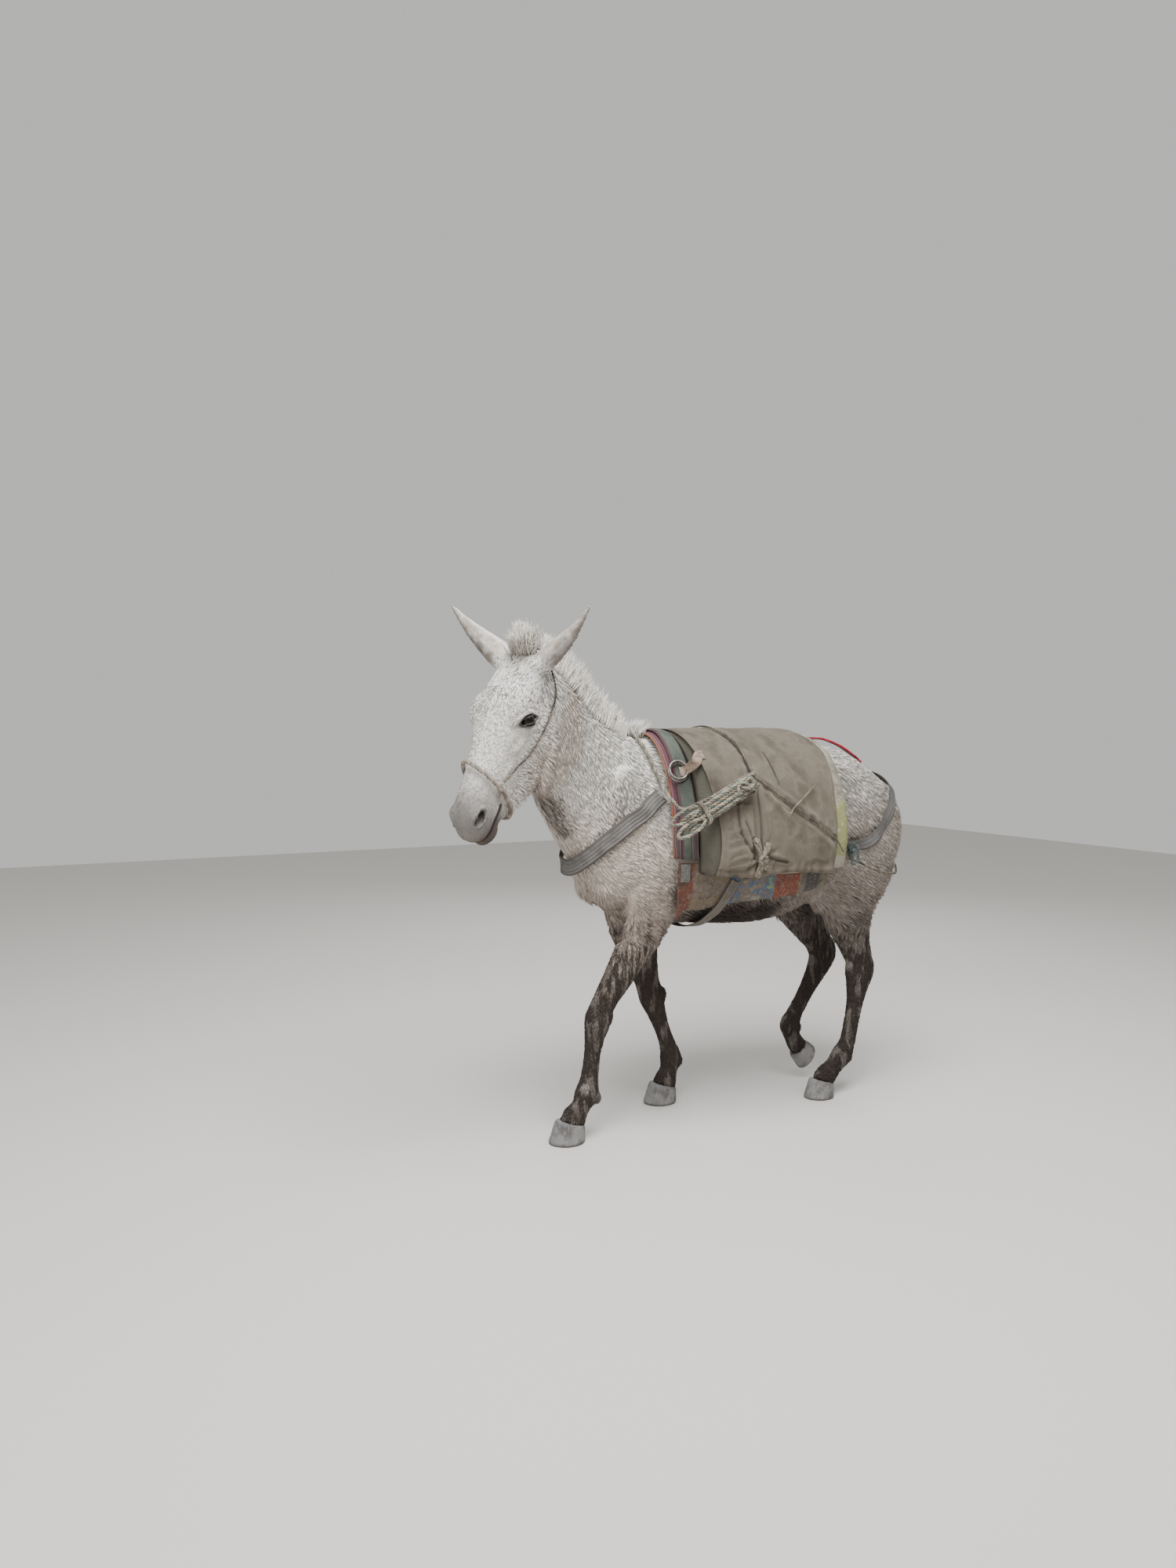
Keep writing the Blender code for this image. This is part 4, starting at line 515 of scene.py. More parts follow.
# The head's own frame: from the poll, x down the face, y to the left and z out of the forehead
POLL = placed((0.173, -0.804, 1.630))[0]
head_x = unit(np.array((0.267, -0.498, -0.825)))
head_y = np.array((0.847, 0.530, -0.045))
head_y = unit(head_y - head_x * (head_y @ head_x))
HEAD_WAYS = np.stack((head_x, head_y, np.cross(head_x, head_y)))
HEAD_EDGE = np.array((0.290, 0.0, 0.335)) / 0.4431
EAR_ROOT = np.array((0.014, 0.056, -0.040))
EAR_TIPS = {1: np.array((-0.118, 0.252, 0.090)), -1: np.array((-0.118, 0.268, 0.100))}
EYE = np.array((0.214, 0.086, -0.046))
NOSTRIL = np.array((0.556, 0.049, -0.066))
MOUTH = ((0.472, 0.054, -0.132), (0.515, 0.054, -0.140), (0.560, 0.045, -0.145), (0.592, 0.024, -0.146),
         (0.602, 0.000, -0.146))
NECK_CUT = placed((0.0, -0.268, 1.360))[0]
NECK_AHEAD = np.array((0.0, -0.819, 0.573))
LEG_CUT = 0.658
FORE_AND_HIND = 0.261


def on_head(points):
    """Points of the head's own frame as rows of the row frame; to_head turns them back."""
    return POLL + np.asarray(points, float) @ HEAD_WAYS


def to_head(points):
    return (points - POLL) @ HEAD_WAYS.T


def ear_share(points, side):
    """The share of an ear's length at each place, and how far off its line the place is."""
    mirror = np.array((1.0, side, 1.0))
    root, tip = EAR_ROOT * mirror, EAR_TIPS[side] * mirror
    off = to_head(points) - root
    share = off @ (tip - root) / ((tip - root) @ (tip - root))
    return share, np.linalg.norm(off - share[:, None] * (tip - root), axis=1)


def region(points):
    """The number of the body's part that each place is on."""
    made = np.full(len(points), TORSO)
    made[(points - NECK_CUT) @ NECK_AHEAD > 0] = NECK
    made[(to_head(points) - (-0.055, 0, 0)) @ HEAD_EDGE > 0] = HEAD
    legs = points[:, 2] < LEG_CUT
    fore = points[:, 1] < FORE_AND_HIND
    left = points[:, 0] > -MIDDLE.x
    for number, here in ((FORE_LEFT, fore & left), (FORE_RIGHT, fore & ~left), (HIND_LEFT, ~fore & left),
                         (HIND_RIGHT, ~fore & ~left)):
        made[legs & here] = number
    for number, side in ((EAR_LEFT, 1), (EAR_RIGHT, -1)):
        share, off = ear_share(points, side)
        made[(share > 0.09) & (share < 1.15) & (off < 0.062)] = number
    return made


def normals_of(points, triangles):
    """The way that a mesh faces at each of its points."""
    corner = points[triangles]
    facing = np.cross(corner[:, 1] - corner[:, 0], corner[:, 2] - corner[:, 0])
    return unit(np.stack([np.bincount(triangles.ravel(), np.repeat(facing[:, k], 3), len(points))
                          for k in range(3)], 1))


def rough_shape(points, triangles):
    """A mesh object that only lasts until its modifiers are worked out."""
    data = bpy.data.meshes.new("rough")
    data.from_pydata(points.tolist(), [], triangles.tolist())
    obj = bpy.data.objects.new("rough", data)
    bpy.context.scene.collection.objects.link(obj)
    return obj


def worked_out(obj):
    """Points and triangles of a rough shape as its modifiers leave it; the shape itself goes."""
    shown = obj.evaluated_get(bpy.context.evaluated_depsgraph_get())
    made = arrays_of(shown.to_mesh())
    shown.to_mesh_clear()
    data = obj.data
    bpy.data.objects.remove(obj)
    bpy.data.meshes.remove(data)
    return made


def swollen(names, reach):
    """CAD nodes as one set of points and triangles, each a little swollen so that they overlap."""
    parts = []
    for name in names:
        points, triangles = arrays_of(nodes[name].data)
        rounded_off = np.round(points, 5)
        _, first, back = np.unique(rounded_off, axis=0, return_index=True, return_inverse=True)
        points, triangles = points[first], back.reshape(-1)[triangles]
        parts.append((points + normals_of(points, triangles) * reach, triangles))
    return joined(parts)


def remeshed(points, triangles, voxel):
    """The outer shape of a mesh in even voxels."""
    obj = rough_shape(points, triangles)
    voxels = obj.modifiers.new("voxels", "REMESH")
    voxels.mode = "VOXEL"
    voxels.voxel_size = voxel
    return worked_out(obj)


def edges_of(triangles):
    pairs = np.sort(np.concatenate((triangles[:, :2], triangles[:, 1:], triangles[:, ::2])), axis=1)
    return np.unique(pairs, axis=0)


def relaxed(values, edges, rounds, weight=0.5):
    """Each value moved towards the mean of its neighbours, as many rounds as it has."""
    first, last = np.concatenate((edges, edges[:, ::-1])).T
    count = np.maximum(np.bincount(first, minlength=len(values)), 1)
    rounds = np.broadcast_to(rounds, (len(values),))
    for i in range(int(rounds.max())):
        mean = np.stack([np.bincount(first, column[last], len(values)) for column in values.T], 1)
        move = (rounds > i)[:, None] * weight
        values = values + (mean / count[:, None] - values) * move
    return values


skin_points, skin_faces = remeshed(*swollen(FLESH, SKIN_SWELL), SKIN_VOXEL)
skin_edges = edges_of(skin_faces)
skin_region = region(skin_points)
rounds = relaxed(SMOOTHING[skin_region][:, None].astype(float), skin_edges, 8)[:, 0]
skin_points = relaxed(skin_points, skin_edges, rounds)
depth = relaxed(COAT_DEPTHS[skin_region][:, None], skin_edges, 12)
skin_points = skin_points - normals_of(skin_points, skin_faces) * depth

# Fewer faces on the body than on the head, where every one is kept
rough = rough_shape(skin_points, skin_faces)
spare = rough.vertex_groups.new(name="spare")
plain = np.flatnonzero(~np.isin(skin_region, (HEAD, EAR_LEFT, EAR_RIGHT)))
spare.add(plain.tolist(), 1.0, "REPLACE")
fewer = rough.modifiers.new("fewer", "DECIMATE")
fewer.ratio = BODY_SHARE
fewer.vertex_group = "spare"
skin_points, skin_faces = worked_out(rough)
skin_region = region(skin_points)


def ridge(distance, width, middle=0.0):
    """1 in the middle of a ridge, falling off to both of its sides."""
    return np.exp(-((distance - middle) / width) ** 2)


def off_mouth(points):
    """How far places on the head are off the line between the lips."""
    return np.linalg.norm(points[:, None] - mouth_line[None], axis=2).min(1)


# Opening between the lids: its ends, its upper edge and its lower edge, on the head's own frame
EYE_TILT = math.radians(40.0)
EYE_HALF_LENGTH, EYE_HALF_HEIGHT = 0.0355, 0.0155


def lid_ways(side):
    out = unit(np.array((0.16, side * 0.90, 0.36)))
    along = np.array((math.cos(EYE_TILT), 0.0, math.sin(EYE_TILT)))
    along = unit(along - out * (along @ out))
    return out, along, np.cross(out, along)


def opening(side, grow=1.0, points=48, slim=1.0):
    """The almond between the lids, as places on the flat through the eye's middle."""
    out, along, up = lid_ways(side)
    turns = 2 * math.pi * np.arange(points) / points
    high = np.sign(np.sin(turns)) * np.abs(np.sin(turns)) ** 1.4
    flat = np.cos(turns)[:, None] * along * EYE_HALF_LENGTH + high[:, None] * up * EYE_HALF_HEIGHT * slim
    return EYE * (1, side, 1) + flat * grow


near_head = np.flatnonzero(skin_region == HEAD)
head_points = to_head(skin_points[near_head])
head_normals = normals_of(skin_points, skin_faces)[near_head] @ HEAD_WAYS.T
push = np.zeros(len(near_head))
mouth_line = eased(both_sides(MOUTH, 1), 10)
nearest = [np.linalg.norm(head_points - place, axis=1).argmin() for place in mouth_line]
mouth_line = head_points[nearest]
mouth_line[1:-1] = (mouth_line[:-2] + mouth_line[1:-1] + mouth_line[2:]) / 3
away = off_mouth(head_points)
push += -0.0046 * ridge(away, 0.0042) + 0.0030 * ridge(away, 0.0048, 0.0100)
for side in (1, -1):
    off = (head_points - NOSTRIL * (1, side, 1)) / (0.027, 0.020, 0.016)
    ring = np.linalg.norm(off, axis=1)
    push += 0.0036 * ridge(ring, 0.22, 1.30) - 0.0060 * ridge(ring, 0.50, 0.30)
    out, along, up = lid_ways(side)
    off = head_points - EYE * (1, side, 1)
    flat = np.hypot(off @ along / EYE_HALF_LENGTH, off @ up / EYE_HALF_HEIGHT)
    near = ridge(np.linalg.norm(off, axis=1), 0.060)
    upper = np.clip((off @ (up * np.sign(up[2]))) / 0.010, 0, 1)
    push += near * (0.0022 * ridge(flat, 0.30, 1.45) - 0.0024 * upper * ridge(flat, 0.22, 2.10))
    push += near * (0.0016 * upper * ridge(flat, 0.26, 2.60) - 0.0015 * (1 - upper) * ridge(flat, 0.35, 2.3))
skin_points[near_head] += (head_normals * push[:, None]) @ HEAD_WAYS
skin_normals = normals_of(skin_points, skin_faces)


# Unwrap of the skin's own shape: nine charts, each an angle round a part's line and a share of its length
neck_way, down = unit(np.array((0.15, -0.52, 0.36))), (0, 0, -1)
ear_ways = [unit((EAR_TIPS[side] - EAR_ROOT) * (1, side, 1) @ HEAD_WAYS) for side, _ in SIDES]
CHART_WAYS = np.stack((head_x, neck_way, (0, 1, 0), down, down, down, down, *ear_ways))
CHART_BINS, EAR_BINS = 14, 13
chart_rows = []
for number, way in enumerate(CHART_WAYS):
    part = skin_points[skin_region == number]
    reach = part @ way
    low, high = reach.min(), reach.max()
    bins = np.clip(((reach - low) / (high - low) * CHART_BINS).astype(int), 0, CHART_BINS - 1)
    middles = np.stack([part[bins == k].mean(0) for k in range(CHART_BINS)])
    start = np.array((0.0, 0.0, 1.0)) if abs(way[2]) < 0.8 else np.array((0.0, 1.0, 0.0))
    start = unit(start - way * (start @ way))
    chart_rows.append((low, high, middles, start, np.cross(way, start)))


def unwrapped(points, normals, regions):
    """Places on the charts, which fill a grid of three by three."""
    made = np.zeros((len(points), 2))
    for number, (low, high, middles, start, aside) in enumerate(chart_rows):
        here = np.flatnonzero(regions == number)
        way = CHART_WAYS[number]
        share = np.clip((points[here] @ way - low) / (high - low), 0, 1)
        spots = (np.arange(CHART_BINS) + 0.5) / CHART_BINS
        middle = np.stack([np.interp(share, spots, middles[:, k]) for k in range(3)], 1)
        off = points[here] - middle
        turn = np.arctan2(off @ aside, off @ start) / (2 * math.pi) + 0.5
        if number >= EAR_LEFT:
            turn = turn / 2 + 0.5 * ((off * normals[here]).sum(1) < 0)
        column, row = number % 3, number // 3
        made[here, 0] = (column + 0.03 + 0.94 * turn) / 3
        made[here, 1] = (row + 0.03 + 0.94 * share) / 3
    return made


def add_map(obj, places, corners):
    """The map that colours are baked on, from a place for each corner of each face."""
    layer = obj.data.uv_layers.new(name="OFBake")
    layer.data.foreach_set("uv", places[corners].astype(np.float32).ravel())


def dark_skin_and_shade(points):
    """How dark each place is: dark lip skin with painted shade along the line of the mouth, painted shade in
    the nostrils' openings, and dark bare skin round the eyes.
    """
    head = to_head(points)
    # Dark lip skin, with painted shade in the crease between the lips
    made = np.clip(1.7 * ridge(off_mouth(head), 0.0078), 0, 1)
    for side in (1, -1):
        # Painted shade in the nostrils' openings, which are only shallow dents
        off = (head - NOSTRIL * (1, side, 1)) / (0.027, 0.022, 0.014)
        made = np.maximum(made, np.clip(2.6 - 2 * np.linalg.norm(off, axis=1), 0, 1))
        out, along, up = lid_ways(side)
        off = head - EYE * (1, side, 1)
        lid = np.hypot(off @ along / 0.050, off @ up / 0.0195)
        made = np.maximum(made, np.clip((1.12 - lid) * 5, 0, 0.9) * (np.abs(off @ out) < 0.04))
    return made


def ear_shares(points, regions):
    """How much each place belongs to an ear, and its share of the way to the ear's lower edge."""
    made, low = np.zeros(len(points)), np.zeros(len(points))
    for side, number in ((1, EAR_LEFT), (-1, EAR_RIGHT)):
        way, root = CHART_WAYS[number], on_head(EAR_ROOT * (1, side, 1))
        aside = unit(np.array((0, 0, -1.0)) + way * way[2])
        own = skin_points[skin_region == number] - root
        bins = np.linspace((own @ way).min(), (own @ way).max(), EAR_BINS + 1)
        slot = np.clip(np.digitize(own @ way, bins) - 1, 0, EAR_BINS - 1)
        ends = [own[slot == k] @ aside if (slot == k).any() else np.zeros(1) for k in range(EAR_BINS)]
        middles = (bins[1:] + bins[:-1]) / 2
        here = regions == number
        far, across = (points[here] - root) @ way, (points[here] - root) @ aside
        top = np.interp(far, middles, [v.min() for v in ends])
        bottom = np.interp(far, middles, [v.max() for v in ends])
        low[here] = (across - top) / np.maximum(bottom - top, 0.004)
        made[here] = np.clip((far - bins[0]) / (0.16 * (bins[-1] - bins[0])), 0, 1)
    return made, np.clip(low, 0, 1)


skin = add_piece("skin", skin_points, skin_faces)
ear, ear_low = ear_shares(skin_points, skin_region)
mark_points(skin, mark=dark_skin_and_shade(skin_points), ear=ear, ear_low=ear_low)
# Each face lies on one chart, and one that crosses a chart's seam is drawn to the seam's far side
corner_places = unwrapped(skin_points, skin_normals, skin_region)[skin_faces]
face_region = skin_region[skin_faces]
face_region = np.where(face_region[:, 1] == face_region[:, 2], face_region[:, 1], face_region[:, 0])
for k in range(3):
    odd = skin_region[skin_faces[:, k]] != face_region
    moved = unwrapped(skin_points[skin_faces[odd, k]], skin_normals[skin_faces[odd, k]], face_region[odd])
    corner_places[odd, k] = moved
widest = corner_places[:, :, 0].max(1)
across_seam = widest[:, None] - corner_places[:, :, 0] > 0.1
corner_places[:, :, 0] = np.where(across_seam, widest[:, None], corner_places[:, :, 0])
flat_places = corner_places.reshape(-1, 2)
add_map(skin, flat_places, np.arange(len(flat_places)))
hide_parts(*FLESH)

# Colours of skin and coat: white face and neck, taupe lower down, dark legs, belly and throat whorl.
# They depend on the place on the body alone, so that hair and skin under it agree.
WHITE, CREAM, TAUPE = (0.72, 0.695, 0.65), (0.59, 0.53, 0.465), (0.28, 0.222, 0.185)
DARK, SOOT = (0.030, 0.022, 0.018), (0.013, 0.010, 0.009)
ASH, MUZZLE = (0.21, 0.184, 0.164), (0.125, 0.116, 0.110)
THROAT_WHORL = ((0.092, -0.592, 1.185), (0.085, -0.572, 1.120), (0.068, -0.545, 1.055))
NECK_FLECKS = (0.113, -0.335, 1.185)
PALE_SPOTS = ((0.161, 0.492, 0.755, 0.030), (0.106, 0.668, 0.500, 0.030), (0.122, -0.446, 0.180, 0.020))


def coat_color(made, place):
    """The colour of hide or hair at a place, and the fine strokes in it."""
    x, y, z = place.parts()
    cloud, fine, tone = [place.noise(scale, 3.0) for scale in (7.0, 60.0, 34.0)]
    strand = place.stretched(1.0, 1.0, 0.16).noise(210.0, 2.0)
    streak = place.stretched(1.0, 1.0, 0.13).noise(85.0, 2.0)
    bare = place.stretched(1.0, 1.0, 0.30).noise(30.0, 3.0)
    low = z + (cloud - 0.5) * 0.22
    belly = low.between(0.86, 0.76) * y.between(-0.16, -0.02) * (y + (fine - 0.5) * 0.1).between(0.34, 0.24)
    legs = (z + (fine - 0.5) * 0.18 + (streak - 0.5) * 0.7).between(0.80, 0.52)
    inner = abs(x + MIDDLE.x).between(0.105, 0.045)
    color = layered(
        low.between(1.22, 0.98).mix(WHITE, CREAM),
        (low.between(0.97, 0.72) * 0.80, TAUPE),
        (y.between(0.05, 0.45) * low.between(1.55, 0.85) * 0.62, ASH),
        (streak.between(0.53, 0.68) * y.between(-0.05, -0.30) * 0.24, (0.34, 0.275, 0.24)),
        (belly * z.between(0.60, 0.68), DARK),
        (legs * 0.96, DARK),
        (legs * bare.between(0.54, 0.62) * (0.25 + 0.5 * strand), ASH),
        (inner * z.between(0.96, 0.80) * y.between(0.15, 0.3) * 0.9, SOOT),
    )
    for spot in THROAT_WHORL:
        whorl = (place.reach(spot) + (streak - 0.5) * 0.16).between(0.066, 0.030)
        color = (whorl * (0.35 + 0.6 * strand.between(0.35, 0.6))).mix(color, (0.10, 0.075, 0.062))
    flecks = place.reach(NECK_FLECKS).between(0.085, 0.040) * place.noise(120.0, 3.0).between(0.50, 0.60)
    color = (flecks * 0.7).mix(color, (0.17, 0.13, 0.145))
    for px, py, pz, size in PALE_SPOTS:
        spot = (place.reach((px, py, pz)) + (fine - 0.5) * 0.03).between(size, size * 0.5)
        color = (spot * 0.6).mix(color, (0.30, 0.27, 0.24))

    # The head: fine dark strokes on the forehead, a grey muzzle, a warm jaw, darker round eye and lips
    poll = HEAD_WAYS @ POLL
    hx, hz = place.along(head_x) - float(poll[0]), place.along(HEAD_WAYS[2]) - float(poll[2])
    on_it = hz.between(-0.36, -0.29) * y.between(-0.42, -0.50)
    strokes = place.stretched(1.0, 1.0, 0.45).noise(190.0, 2.0)
    brow = hx.between(0.30, 0.14) * hx.between(-0.04, 0.05) * hz.between(-0.16, -0.07)
    jaw = on_it * hz.between(-0.12, -0.22) * hx.between(0.46, 0.30)
    lips = on_it * hx.between(0.46, 0.53) * (hz + (fine - 0.5) * 0.02).between(-0.118, -0.145)
    color = layered(
        color,
        (on_it * brow * strokes.between(0.53, 0.60) * 0.85, (0.085, 0.075, 0.075)),
        (on_it * hx.between(0.14, 0.42) * strokes.between(0.60, 0.66) * 0.45, ASH),
        (jaw * (0.35 + 0.4 * cloud), (0.50, 0.40, 0.335)),
        (jaw * strand.between(0.52, 0.66) * 0.35, (0.20, 0.15, 0.125)),
        (on_it * (hx + (fine - 0.5) * 0.05).between(0.41, 0.55) * 0.84, MUZZLE),
        (on_it * hx.between(0.50, 0.57) * hz.between(-0.085, -0.150) * 0.45, (0.105, 0.080, 0.070)),
        (lips * 0.75, (0.085, 0.062, 0.052)),
    )
    for side in (1, -1):
        rim = place.reach(on_head(EYE * (1, side, 1) + lid_ways(side)[0] * 0.012)).between(0.036, 0.024)
        color = (rim * 0.75).mix(color, (0.085, 0.072, 0.068))
    # The ears: beige-grey, with painted shade over their lower half and a painted highlight along the upper
    # rim, where the sky lights them
    ear, ear_low = made.value("ear"), made.value("ear_low")
    color = layered(
        color,
        (ear * (0.50 + 0.5 * tone.between(0.35, 0.65)), (0.33, 0.29, 0.25)),
        (ear * (ear_low + (tone - 0.5) * 0.5).between(0.45, 0.95) * 0.72, (0.105, 0.088, 0.076)),
        (ear * (ear_low + (fine - 0.5) * 0.1).between(0.17, 0.05) * 0.85, (0.66, 0.63, 0.58)),
        # Dark bare skin round the eyes, and painted shade in the nostrils and in the crease between the lips
        (made.value("mark") * 0.97, (0.022, 0.018, 0.017)),
    )
    return color, strand


def skin_finish():
    made = Finish("hide", 0.85, specular_ior_level=0.2)
    color, strand = coat_color(made, made.place)
    shade = made.place.noise(420.0, 2.0)
    color = made.node("HueSaturation", None, {"Value": 0.72 + 0.32 * shade, "Color": color})
    made.feed(color, None, shade + strand * 0.6, 0.45, 0.0016)
    return made


def hair_finish():
    """The hide's colours at each tuft's root, lighter to its tip and in a shade of its own."""
    made = Finish("coat_hair", 0.75, specular_ior_level=0.22)
    color, _ = coat_color(made, made.value("root", 1))
    tone = 0.80 + 0.26 * made.value("shade") + 0.14 * made.value("share")
    made.feed(made.node("HueSaturation", None, {"Value": tone, "Color": color}))
    return made


skin_finish().paint(skin)
coat_hair = hair_finish()


# Coat: winter hair in tapered tufts that lie back over one another. Short on face, ears and feet, longer
# on neck, flanks and under the jaw. Each tuft is a closed sliver, rooted in the skin.
draw = np.random.default_rng(11)
TUFT_SIDES, PATCH_SIZE = 3, 0.003
# For each piece: its parts of the body, the tufts on them, and a tuft's length, width and slope,
# in metres and degrees
COATS = {
    "coat_head": ((HEAD,), 18500, 0.0125, 0.0030, 13),
    "coat_neck_left": ((NECK,), 17500, 0.040, 0.0041, 11),
    "coat_neck_right": ((NECK,), 12500, 0.040, 0.0048, 11),
    "coat_torso_left": ((TORSO,), 19500, 0.034, 0.0045, 10),
    "coat_torso_right": ((TORSO,), 12500, 0.034, 0.0054, 10),
    "coat_forelegs": ((FORE_LEFT, FORE_RIGHT), 15500, 0.017, 0.0042, 12),
    "coat_hindlegs": ((HIND_LEFT, HIND_RIGHT), 15500, 0.018, 0.0044, 12),
    "coat_ears": ((EAR_LEFT, EAR_RIGHT), 8500, 0.0095, 0.0028, 9),
}


def locks(root, bend, tip, width, thick, facing, rings=2):
    """Closed tapered slivers on even bends: points by lock, and the share of the length at each."""
    along = unit(bend - root)
    aside = unit(np.cross(along, facing))
    out = np.cross(aside, along)
    shares = np.linspace(0, 1, rings + 1)[:-1]
    points, share = [], []
    for s in shares:
        place = root * (1 - s) ** 2 + bend * (2 * s * (1 - s)) + tip * s ** 2
        wide = (1.0 - 0.55 * s ** 1.6) * (0.75 + 0.25 * min(1.0, 4 * s))
        half, deep = (width * wide / 2)[:, None], (thick * (1 - 0.6 * s) / 2)[:, None]
        points += [place + aside * half - out * deep, place + out * deep, place - aside * half - out * deep]
        share += [s] * TUFT_SIDES
    return np.stack(points + [tip], 1), np.array(share + [1.0])


def lock_faces(count, rings=2):
    """Triangles of closed slivers, for as many of them."""
    one = [(0, 2, 1)]
    for ring in range(rings - 1):
        for k in range(TUFT_SIDES):
            a, b = ring * TUFT_SIDES + k, ring * TUFT_SIDES + (k + 1) % TUFT_SIDES
            one += [(a, b, b + TUFT_SIDES), (a, b + TUFT_SIDES, a + TUFT_SIDES)]
    top = (rings - 1) * TUFT_SIDES
    one += [(top + k, top + (k + 1) % TUFT_SIDES, rings * TUFT_SIDES) for k in range(TUFT_SIDES)]
    step = rings * TUFT_SIDES + 1
    return (np.array(one)[None] + np.arange(count)[:, None, None] * step).reshape(-1, 3)


def add_hair(name, line, width, flat, facing, places, rings=2, roots=None):
    """Locks along lines of root, bend and tip as one piece, each as a small patch of the map."""
    points, share = locks(*line, width, width * flat, facing, rings)
    count, step = points.shape[:2]
    shade = draw.random(count)
    faces = lock_faces(count, rings)
    obj = add_piece(name, points.reshape(-1, 3), faces)
    root = obj.data.attributes.new("root", "FLOAT_VECTOR", "POINT")
    roots = np.repeat(line[0] if roots is None else roots, step, 0)
    root.data.foreach_set("vector", roots.astype(np.float32).ravel())
    mark_points(obj, share=np.tile(share, count), shade=np.repeat(shade, step))
    across = np.tile(np.array([0.0, 0.5, 1.0] * rings + [0.5]), count)
    patch = np.stack((across - 0.5, np.tile(share, count) - 0.5), 1) * PATCH_SIZE
    add_map(obj, np.repeat(places, step, 0) + patch, faces.ravel())
    return obj


def scattered(numbers, count, keep=None):
    """Roots spread evenly over parts of the skin, with the way out and the part of each."""
    here = np.flatnonzero(np.isin(skin_region[skin_faces[:, 0]], numbers))
    corner = skin_points[skin_faces[here]]
    if keep is not None:
        inside = keep(corner.mean(1))
        here, corner = here[inside], corner[inside]
    area = np.linalg.norm(np.cross(corner[:, 1] - corner[:, 0], corner[:, 2] - corner[:, 0]), axis=1)
    pick = np.searchsorted(np.cumsum(area) / area.sum(), draw.random(count))
    a, b = draw.random((2, count, 1))
    flip = a + b > 1
    a, b = np.where(flip, 1 - a, a), np.where(flip, 1 - b, b)
    faces = skin_faces[here[pick]]
    weights = np.stack((1 - a - b, a, b), 1)
    roots = (skin_points[faces] * weights).sum(1)
    facing = unit((skin_normals[faces] * weights).sum(1))
    return roots, facing, skin_region[faces[:, 0]]


def lie_of(points, facing, regions):
    """The way that the hair lies at each place, flat on the skin."""
    lie = np.tile((0.0, 0.75, -0.65), (len(points), 1))
    head = to_head(points)
    neck = regions == NECK
    lie[neck] = (0.0, 0.42, -0.90)
    lie[:, 0] += np.where(neck, 0.25 * np.sin(points[:, 2] * 9 + points[:, 1] * 5), 0)
    lie[(regions >= FORE_LEFT) & (regions <= HIND_RIGHT)] = (0.0, 0.12, -1.0)
    face = regions == HEAD
    to_jaw = np.clip(-(head[:, 2] + 0.055) / 0.06, 0, 1) * np.clip((0.50 - head[:, 0]) / 0.14, 0, 1)
    ahead = np.where(head[:, 0] > 0.135 - 0.4 * to_jaw, 1.0, -1.0) * (1 - 0.9 * to_jaw)
    ways = ahead[:, None] * HEAD_WAYS[0] - to_jaw[:, None] * (HEAD_WAYS[2] + 0.25 * HEAD_WAYS[0])
    ways += (0.35 * np.sign(head[:, 1]) * (1 - to_jaw))[:, None] * HEAD_WAYS[1]
    lie[face] = ways[face]
    for number in (EAR_LEFT, EAR_RIGHT):
        lie[regions == number] = CHART_WAYS[number]
    lie = unit(lie - facing * (lie * facing).sum(1)[:, None])
    swirl = 0.20 * np.sin(points @ (13.0, 7.0, 9.0)) + 0.10 * np.sin(points @ (-21.0, 27.0, 19.0) + 1.3)
    swirl = swirl * np.where(regions >= FORE_LEFT, 0.4, 1.0) + draw.normal(0, 0.11, len(points))
    aside = np.cross(facing, lie)
    return unit(lie * np.cos(swirl)[:, None] + aside * np.sin(swirl)[:, None])


# What lies over the coat: no tuft grows under the pack, and under a strap it is pressed flat
PACK = ("pack_blanket", "pack_band", "pack_pads", "pack_canvas")
LINERS = ("pack_liner_left", "pack_liner_right")
STRAPS = ("crupper_cord", "crupper_cord_dark", "breast_strap", "breeching_band", "breeching_rope",
          "halter_noseband", "halter_crown", "girth")
over_coat, on_coat = tree_of(*PACK), tree_of(*STRAPS)
PACK_REACH, STRAP_REACH, STRAP_GAP, PRESSED = 0.060, 0.030, 0.012, 0.35


def cover(points, facing, tree, reach):
    """How far off something lies over each place, or its reach where nothing does."""
    return np.array([tree.ray_cast(Vector(p + n * 0.001), Vector(n), reach)[3] or reach
                     for p, n in zip(points, facing)])


PACK_MIDDLE = placed((0.0, 0.0, 1.0))[0]


def liner_end(y):
    """The angle round the pack's axis at which a liner's lower edge lies, higher behind the girth."""
    return np.interp(y, (-0.255, -0.14, -0.05, 0.06, 0.352), (139.0, 138.0, 131.0, 127.0, 124.5))


